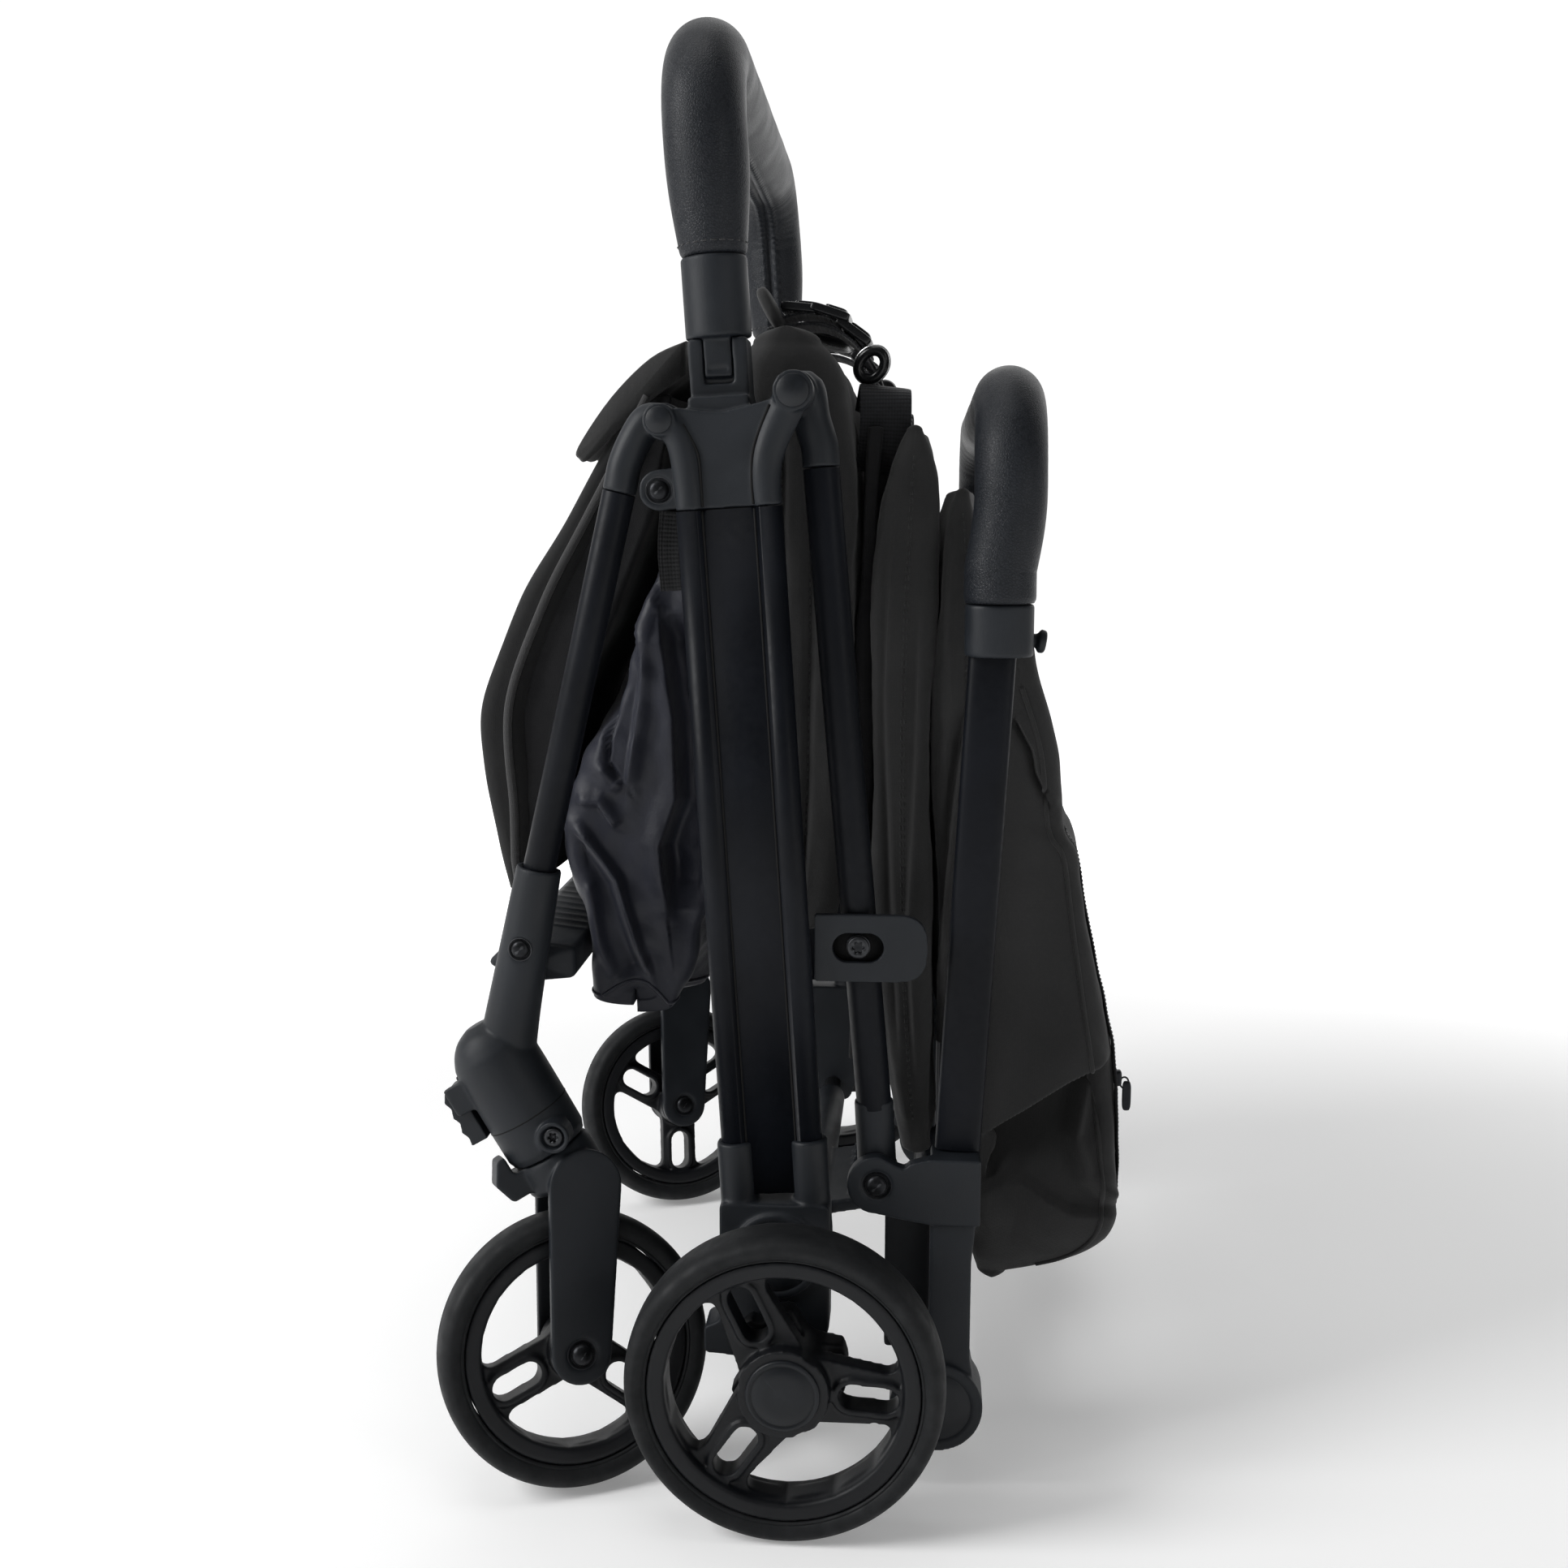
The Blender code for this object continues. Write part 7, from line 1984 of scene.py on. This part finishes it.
def pocket_relief(x, y, z, b, c):
    """Pocket cloth that hangs: one crisp fold slants to the rear edge with a deep shadow under it, the bottom
    bulges, a slit opens near the bar, and the rear face ripples across the width."""
    side = np.abs(c)
    lip = [(0.085, 0.158), (0.101, 0.170), (0.122, 0.184), (0.145, 0.200), (0.168, 0.213)]
    tongue = [(0.161, 0.203), (0.156, 0.188), (0.151, 0.168), (0.158, 0.149), (0.176, 0.133)]
    low = [(0.090, 0.130), (0.108, 0.139), (0.123, 0.143), (0.131, 0.138), (0.148, 0.128), (0.176, 0.126)]
    pulled = [(0.100, 0.270), (0.112, 0.300), (0.124, 0.326), (0.150, 0.320)]
    slit = [(0.1150, 0.388), (0.1250, 0.370), (0.1270, 0.359), (0.1360, 0.340)]
    total = 0.0065 * crease(y, z, lip, 0.030, 0.0018) - 0.0230 * hollow(y, z, lip, 0.0030, 0.0300)
    total = total + 0.0070 * crease(y, z, tongue, 0.0035, 0.0060)
    total = total + 0.0075 * crease(y, z, low, 0.0028, 0.0260)
    total = total + 0.0022 * crease(y, z, pulled, 0.0050, 0.0160)
    total = total - 0.0080 * hollow(y, z, slit, 0.0010, 0.0034) + 0.0020 * crease(y, z, slit, 0.006, 0.0015)
    rest = 0.0008 * waves(y, z, x, 0.08, 11) + 0.0003 * waves(y, z, x, 0.02, 12)
    sag = 0.0030 * np.sin(x * 30 + 1.1 * np.sin(z * 22)) * (1 - side)
    return side * total + rest + sag * np.clip((0.40 - z) / 0.1, 0, 1)


def make_pocket():
    """The rear pocket with a welt up each side. Its points are returned for the zip."""
    half = CLOTH_HALF
    levels = [
        (0.0860, 0.0990, 0.1200, half - 0.012),
        (0.0980, 0.0960, 0.1520, half - 0.004),
        (0.1100, 0.0950, 0.1680, half),
        (0.1270, 0.0950, 0.1750, half + 0.003),
        (0.1550, 0.0955, 0.1745, half + 0.005),
        (0.2000, 0.0970, 0.1690, half + 0.005),
        (0.2760, 0.1020, 0.1570, half + 0.005),
        (0.3150, 0.1030, 0.1510, half + 0.004),
        (0.3300, 0.1030, 0.1430, half + 0.004),
        (0.3700, 0.1040, 0.1380, half + 0.002),
        (0.4050, 0.1060, 0.1270, half),
        (0.4200, 0.1070, 0.1240, half - 0.004),
    ]
    points = bundle(levels, pocket_relief, rows=250, side=POCKET_SIDE, face=44, roundness=0.010, crown=0.004)
    padded_cloth("back_pocket_cloth", grid(points), CHARCOAL, "handle_frame", ["back_pocket"])
    columns = points.shape[1]
    welts = []
    for column in (POCKET_SIDE - 2, columns // 2 + 1):
        line = evenly(points[14:244, column], CLOTH_STEP)
        welts.append(swept(line, (0.0012, 0.0012), 10))
    trim("back_pocket_welts", welts, CHARCOAL, "handle_frame")
    return points


def zip_pieces(points):
    """Zip along the pocket's rear corner: a tape, two rows of teeth, and a slider with its pull."""
    rows = np.arange(40, 190)
    line = points[rows, POCKET_SIDE + CLOTH_CORNER] + np.array([0.0, 0.0010, 0.0])
    out = np.broadcast_to(np.array([0.0, 1.0, 0.0]), line.shape)
    _, side, _ = frames_along(line, (1.0, 0.0, 0.0))
    tape = swept(line, (0.0055, 0.0006), 24, (1.0, 0.0, 0.0), 4.0)
    finished(make_object("pocket_zip_tape", tape), LINING, "handle_frame")
    teeth = []
    for sign in (1, -1):
        row = line + side * 0.0008 * sign
        teeth.append(stitches(row, out, 0.0015, 0.0007, 0.0007))
    trim("pocket_zip_teeth", teeth, GLOSS_PLASTIC, "handle_frame")
    spot = line[len(line) // 3] + out[0] * 0.0012
    slider = merged(
        block(spot, (0.0050, 0.0042, 0.0085), 4.0),
        block(spot + np.array([0.0020, 0.0046, -0.0090]), (0.0022, 0.0046, 0.0160), 4.0),
        ring_tube(spot + np.array([0.0012, 0.0034, -0.0022]), (0.0022, 0.0030), 0.0005, (0, 1, 0), (0, 0, 1)),
    )
    finished(make_object("pocket_zip_slider", slider), STEEL, "handle_frame")


def basket_relief(x, y, z, b, c):
    """Satin basket cloth, drawn up in folds: long slanting ridges with sharp valleys between them."""
    side = np.abs(c)
    total = 0.0016 * waves(y, z * 0.7, x, 0.045, 21) + 0.0007 * waves(y, z, x, 0.016, 22)
    long_fold = [(-0.110, 0.330), (-0.088, 0.300), (-0.080, 0.274), (-0.071, 0.240)]
    rear_fold = [(-0.066, 0.440), (-0.058, 0.385), (-0.057, 0.343), (-0.066, 0.318), (-0.062, 0.280)]
    bend = [(-0.086, 0.400), (-0.090, 0.362), (-0.082, 0.350)]
    folds = (
        ([(-0.075, 0.455), (-0.073, 0.405), (-0.082, 0.348)], 0.0060, 0.0016, 0.0060),
        ([(-0.094, 0.395), (-0.093, 0.358), (-0.083, 0.347)], 0.0016, 0.0050, 0.0055),
        ([(-0.108, 0.340), (-0.097, 0.340), (-0.088, 0.327)], 0.0050, 0.0014, 0.0040),
        (long_fold, 0.0022, 0.0050, 0.0062),
        (rear_fold, 0.0012, 0.0080, 0.0060),
        ([(-0.104, 0.300), (-0.098, 0.265), (-0.090, 0.242)], 0.0030, 0.0030, 0.0030),
    )
    for line, left, right, depth in folds:
        total = total + side * depth * crease(y, z, line, left, right)
    total = total - side * 0.0085 * hollow(y, z, long_fold, 0.0040, 0.0150)
    total = total - side * 0.0070 * hollow(y, z, bend, 0.0020, 0.0060)
    total = total - side * 0.0120 * hollow(y, z, rear_fold[::-1], 0.0040, 0.0200)
    below_top = np.clip((0.48 - z) / 0.05, 0, 1)
    return total + (1 - side) * 0.0045 * np.sin(x * 70 + 2.0 * np.sin(z * 33)) * below_top


def basket_lift(x, y, z, b, c):
    """The hem is arched: it rises in the middle of each side and droops at both ends."""
    low = np.clip((0.30 - z) / 0.07, 0, 1) ** 2
    arch = 0.010 * np.cos(b * np.pi / 2) * np.abs(c) - 0.008 * (b > 0.4) * np.abs(c) * (b - 0.4)
    wave = 0.004 * np.sin(x * 55) * (1 - np.abs(c))
    return low * (arch + wave)


def make_basket():
    """The gathered basket and the tube of its hem."""
    half = CLOTH_HALF
    levels = [
        (0.2340, -0.1055, -0.0560, half - 0.004),
        (0.2600, -0.1060, -0.0440, half),
        (0.2760, -0.1080, -0.0410, half),
        (0.3000, -0.1120, -0.0380, half),
        (0.3400, -0.1110, -0.0350, half),
        (0.3900, -0.0900, -0.0345, half),
        (0.4400, -0.0740, -0.0350, half - 0.002),
        (0.4780, -0.0640, -0.0380, half - 0.008),
    ]
    points = bundle(
        levels, basket_relief, rows=200, side=80, face=60, roundness=0.008, lift=basket_lift, crown=0.003
    )
    padded_cloth("basket_cloth", grid(points), SATIN, "rear_frame", ["basket"])
    hem = points[10]
    hem_tube = swept(hem, 0.0009, 10, (0, 0, 1))
    finished(make_object("basket_hem", hem_tube), SATIN, "rear_frame")


def drape_relief(x, y, z, b, c):
    """Curtain cloth: shallow upright ripples across its faces and a soft uneven edge."""
    side = np.abs(c)
    ripple = 0.0022 * np.sin(x * 58 + 1.2 * np.sin(z * 28)) * (1 - side)
    return ripple + 0.0008 * waves(y, z, x, 0.05, 41)


def make_drape():
    """The front curtain, its lining, the flap over its top and the tape along its edges."""
    half = CLOTH_HALF
    levels = np.array(
        [
            (0.2930, -0.1465, -0.1370, half - 0.006),
            (0.3350, -0.1535, -0.1360, half),
            (0.3900, -0.1560, -0.1370, half),
            (0.4420, -0.1360, -0.1180, half),
            (0.4850, -0.1120, -0.0950, half),
            (0.5200, -0.0920, -0.0760, half),
            (0.5450, -0.0760, -0.0640, half),
        ]
    )
    points = bundle(
        levels.tolist(), drape_relief, rows=130, side=DRAPE_SIDE, face=70, roundness=0.006, crown=0.002
    )
    padded_cloth("front_drape_cloth", grid(points), CURTAIN, "front_frame", ["front_drape"])
    lining = levels.copy()
    lining[:, 1] = levels[:, 2] - 0.0015
    heights = [0.29, 0.335, 0.39, 0.44, 0.485, 0.52, 0.55]
    rear = [-0.132, -0.122, -0.110, -0.089, -0.071, -0.061, -0.056]
    lining[:, 2] = np.interp(levels[:, 0], heights, rear)
    lining[:, 3] = half - 0.005
    inner = bundle(
        lining.tolist(), canopy_relief(63), rows=90, side=16, face=40, roundness=0.0025, crown=0.001
    )
    padded_cloth("front_drape_lining", grid(inner), LINING, "front_frame")
    flap = smooth_line(
        [
            (-0.0505, 0.5720),
            (-0.0680, 0.5640),
            (-0.0880, 0.5450),
            (-0.1050, 0.5210),
            (-0.1045, 0.5150),
            (-0.1000, 0.5145),
            (-0.0860, 0.5275),
            (-0.0690, 0.5425),
            (-0.0505, 0.5560),
        ], 5
    )
    x = np.linspace(-half - 0.001, half + 0.001, 120)
    drawn = drawn_in(flap, x, half + 0.001, 0.06)
    drawn[:, :, 1] += 0.0012 * np.sin(x * 70)[:, None] + 0.0006 * np.sin(x * 190)[:, None]
    padded_cloth("front_drape_flap", grid(carried(x, drawn)), CHARCOAL, "front_frame")
    bindings = []
    for sign in (1, -1):
        rows = np.arange(8, 138)
        start = 0 if sign > 0 else points.shape[1] // 2
        column = start + (DRAPE_SIDE - 1 if sign > 0 else 0)
        line = points[rows, column] + np.array([sign * 0.0003, 0.0, 0.0])
        bindings.append(swept(line, (0.0016, 0.0022), 16, (1, 0, 0)))
    trim("front_drape_binding", bindings, BINDING, "front_frame")


make_seat()
make_canopy()
zip_pieces(make_pocket())
make_basket()
make_drape()


# Harness


def strap_surface(path, width, thickness, x):
    """A flat band along a side-view path, with rounded edges and a slight crown across its width."""
    line = evenly(smooth_line(path, 8), CLOTH_STEP)
    along = np.column_stack([np.full(len(line), x), line])
    return swept(along, (width / 2, thickness / 2), 40, (1, 0, 0), 5.0)


def make_harness():
    """Straps over the seat with their slides and rings, and the webbing that is folded over beside them."""
    over = [(-0.0140, 0.5820), (0.0060, 0.5845), (0.0200, 0.5820), (0.0320, 0.5740), (0.0430, 0.5600)]
    down = [(0.0470, 0.5430), (0.0450, 0.5230), (0.0405, 0.5000), (0.0390, 0.4780)]
    second = [(-0.0120, 0.5860), (0.0040, 0.5900), (0.0180, 0.5880), (0.0300, 0.5800), (0.0400, 0.5680)]
    straps = []
    for sign in (1, -1):
        straps.append(strap_surface(over + down, 0.0370, 0.0020, sign * 0.083))
        straps.append(strap_surface(second, 0.0300, 0.0019, sign * 0.085))
        for i in range(4):
            inset = 0.0027 * i
            turn = np.array(
                [
                    (0.0780, 0.0440, 0.5400),
                    (0.0900, 0.0460, 0.5490 - inset),
                    (0.1040 - inset, 0.0475, 0.5515 - inset),
                    (0.1120 - inset, 0.0480, 0.5465 - inset),
                    (0.1140 - inset, 0.0480, 0.5330),
                    (0.1125 - inset, 0.0470, 0.5180),
                    (0.1060 - inset, 0.0450, 0.5080 + inset),
                ]
            )
            line = evenly(smooth_line(turn * (sign, 1, 1), 8), 0.0012)
            straps.append(swept(line, (0.0132 - 0.0004 * i, 0.0010), 40, (0.0, 1.0, -0.12), 5.0))
    belt = [
        (-0.08, 0.0475, 0.549),
        (-0.04, 0.050, 0.542),
        (0.0, 0.051, 0.540),
        (0.04, 0.050, 0.542),
        (0.08, 0.0475, 0.549),
    ]
    straps.append(swept(smooth_line(belt, 10), (0.0125, 0.0011), 32, (0, 0.35, -1.0), 5.0))
    finished(
        make_object("harness_straps", merged(*straps)), WEBBING, "rear_frame", ["harness_webbing"]
    )
    slides, rings, tabs = [], [], []
    for sign in (1, -1):
        for y, z, lean, x in (
            (0.0040, 0.5920, -6, 0.088), (0.0190, 0.5895, -18, 0.090), (0.0310, 0.5800, -36, 0.088)
        ):
            place = shift(sign * x, y, z) @ rotation(lean, "X")
            for edge in (-0.0085, 0.0, 0.0085):
                slides.append(block((0, edge, 0.0), (0.0400, 0.0042, 0.0046), 5.0, place))
            for side in (-0.0185, 0.0185):
                slides.append(block((side, 0, 0.0), (0.0046, 0.0210, 0.0046), 5.0, place))
            slides.append(block((0.0, 0.002, 0.0030), (0.0320, 0.0120, 0.0022), 5.0, place))
        spot = (sign * 0.1060, 0.0405, 0.5630)
        slides.append(ring_tube(spot, (0.0060, 0.0078), 0.0028, (0, 0.75, -0.66), (0.30 * sign, 0.63, 0.72)))
        rings.append(ring_tube(spot, (0.0084, 0.0104), 0.0008, (0, 0.75, -0.66), (0.30 * sign, 0.63, 0.72)))
        tabs.append(
            block(
                (0, 0, 0),
                (0.0360, 0.0075, 0.0230),
                3.2,
                shift(sign * 0.098, -0.0120, 0.5920) @ rotation(28, "X"),
            )
        )
    trim("harness_slides", slides, GLOSS_PLASTIC, "rear_frame")
    trim("harness_rings", rings, BRIGHT_STEEL, "rear_frame")
    trim("harness_tabs", tabs, CHARCOAL, "rear_frame")
    place = shift(0, 0.010, 0.5900) @ rotation(-14, "X")
    buckle = merged(
        block((0, 0, 0), (0.0560, 0.0360, 0.0135), 4.5, place),
        block((0, 0, 0.0058), (0.0200, 0.0200, 0.0050), 2.6, place),
        block((0.033, 0, 0), (0.0100, 0.0240, 0.0080), 4.0, place),
        block((-0.033, 0, 0), (0.0100, 0.0240, 0.0080), 4.0, place),
    )
    finished(
        make_object("harness_buckle_cover", buckle), GLOSS_PLASTIC, "rear_frame", ["harness_buckle"]
    )


def make_elastic():
    """Ribbed elastic that hangs from the head: a flat band whose face carries cords along its length."""
    strip = []
    t = 2 * np.pi * (np.arange(96) + 0.5) / 96
    for sign in (1, -1):
        path = smooth_line(
            [
                (sign * 0.1700, -0.0535, 0.4880),
                (sign * 0.1712, -0.0545, 0.4700),
                (sign * 0.1700, -0.0535, 0.4500),
            ],
            10,
        )
        cords = 0.0006 * np.abs(np.sin(np.sin(t) * 9.5))[None] * (np.abs(np.cos(t)) > 0.05)
        strip.append(swept(path, (0.0014, 0.0066), relief=cords, power=5.0, angles=t))
    trim("basket_elastic", strip, ELASTIC, "rear_frame")


make_harness()
make_elastic()


# Floor and lights


def make_world():
    """A white wall straight behind the stroller and a dim room round it: strength falls with direction x.

    What the camera sees past the floor is white all round.
    """
    world = bpy.data.worlds.new("studio")
    world.use_nodes = True
    tree = world.node_tree
    parts = tree.nodes.new("ShaderNodeSeparateXYZ")
    tree.links.new(tree.nodes.new("ShaderNodeTexCoord").outputs["Generated"], parts.inputs["Vector"])
    glow = Value(tree, parts.outputs["X"]).ramp(-0.78, -0.35, WALL_STRENGTH, ROOM_STRENGTH)
    seen = Value(tree, tree.nodes.new("ShaderNodeLightPath").outputs["Is Camera Ray"])
    strength = glow * (seen * -1.0 + 1.0) + seen * WHITE_STRENGTH
    tree.links.new(strength.socket, tree.nodes["Background"].inputs["Strength"])
    tree.nodes["Background"].inputs["Color"].default_value = (1.0, 1.0, 1.0, 1.0)
    bpy.context.scene.world = world


def make_stage():
    """A pale floor that glows more with distance, and four lamps aimed at the stroller."""
    edge = np.linspace(-FLOOR_HALF, FLOOR_HALF, 3)
    points = np.stack(np.meshgrid(edge, edge, indexing="ij"), -1)
    floor_points = np.concatenate([points, np.zeros((3, 3, 1))], -1)
    floor = make_object("floor", grid(floor_points, around=False, capped=False).turned_over())
    pale = Finish("pale_floor", (0.86, 0.86, 0.86), 0.75)
    far = pale.node("ShaderNodeVectorMath", {"Vector": pale.place()}, operation="LENGTH")
    glow = Value(pale.tree, far.outputs["Value"]).ramp(0.45, 1.5, 0.22, 0.90)
    pale.tree.links.new(glow.socket, pale.shader.inputs["Emission Color"])
    pale.shader.inputs["Emission Strength"].default_value = 1.0
    floor.data.materials.append(pale.bump(pale.noise(0.02, 3), 0.00005))
    make_world()
    lights = (
        ("key", (0.9, -1.9, 1.5), (1.0, 1.3), 50.0),
        ("top", (0.1, -0.3, 2.2), (1.2, 1.2), 9.0),
        ("fill", (1.5, 1.6, 0.9), (0.4, 1.2), 4.0),
        ("back", (-1.6, 0.6, 1.4), (1.6, 1.6), 3.0),
    )
    for name, place, size, power in lights:
        data = bpy.data.lights.new(name, "AREA")
        data.shape = "RECTANGLE"
        data.size, data.size_y = size
        data.energy = power
        lamp = put_in_scene(name, data)
        aim = np.array(LAMP_AIM) - np.array(place)
        back = unit(-aim)
        right = unit(np.cross([0.0, 0.0, 1.0], back) if abs(back[2]) < 0.99 else np.array([1.0, 0, 0]))
        turn = np.eye(4)
        turn[:3, 0], turn[:3, 1], turn[:3, 2], turn[:3, 3] = right, np.cross(back, right), back, place
        lamp.matrix_world = Matrix(turn.tolist())


make_stage()
bpy.context.scene.view_settings.view_transform = "Standard"
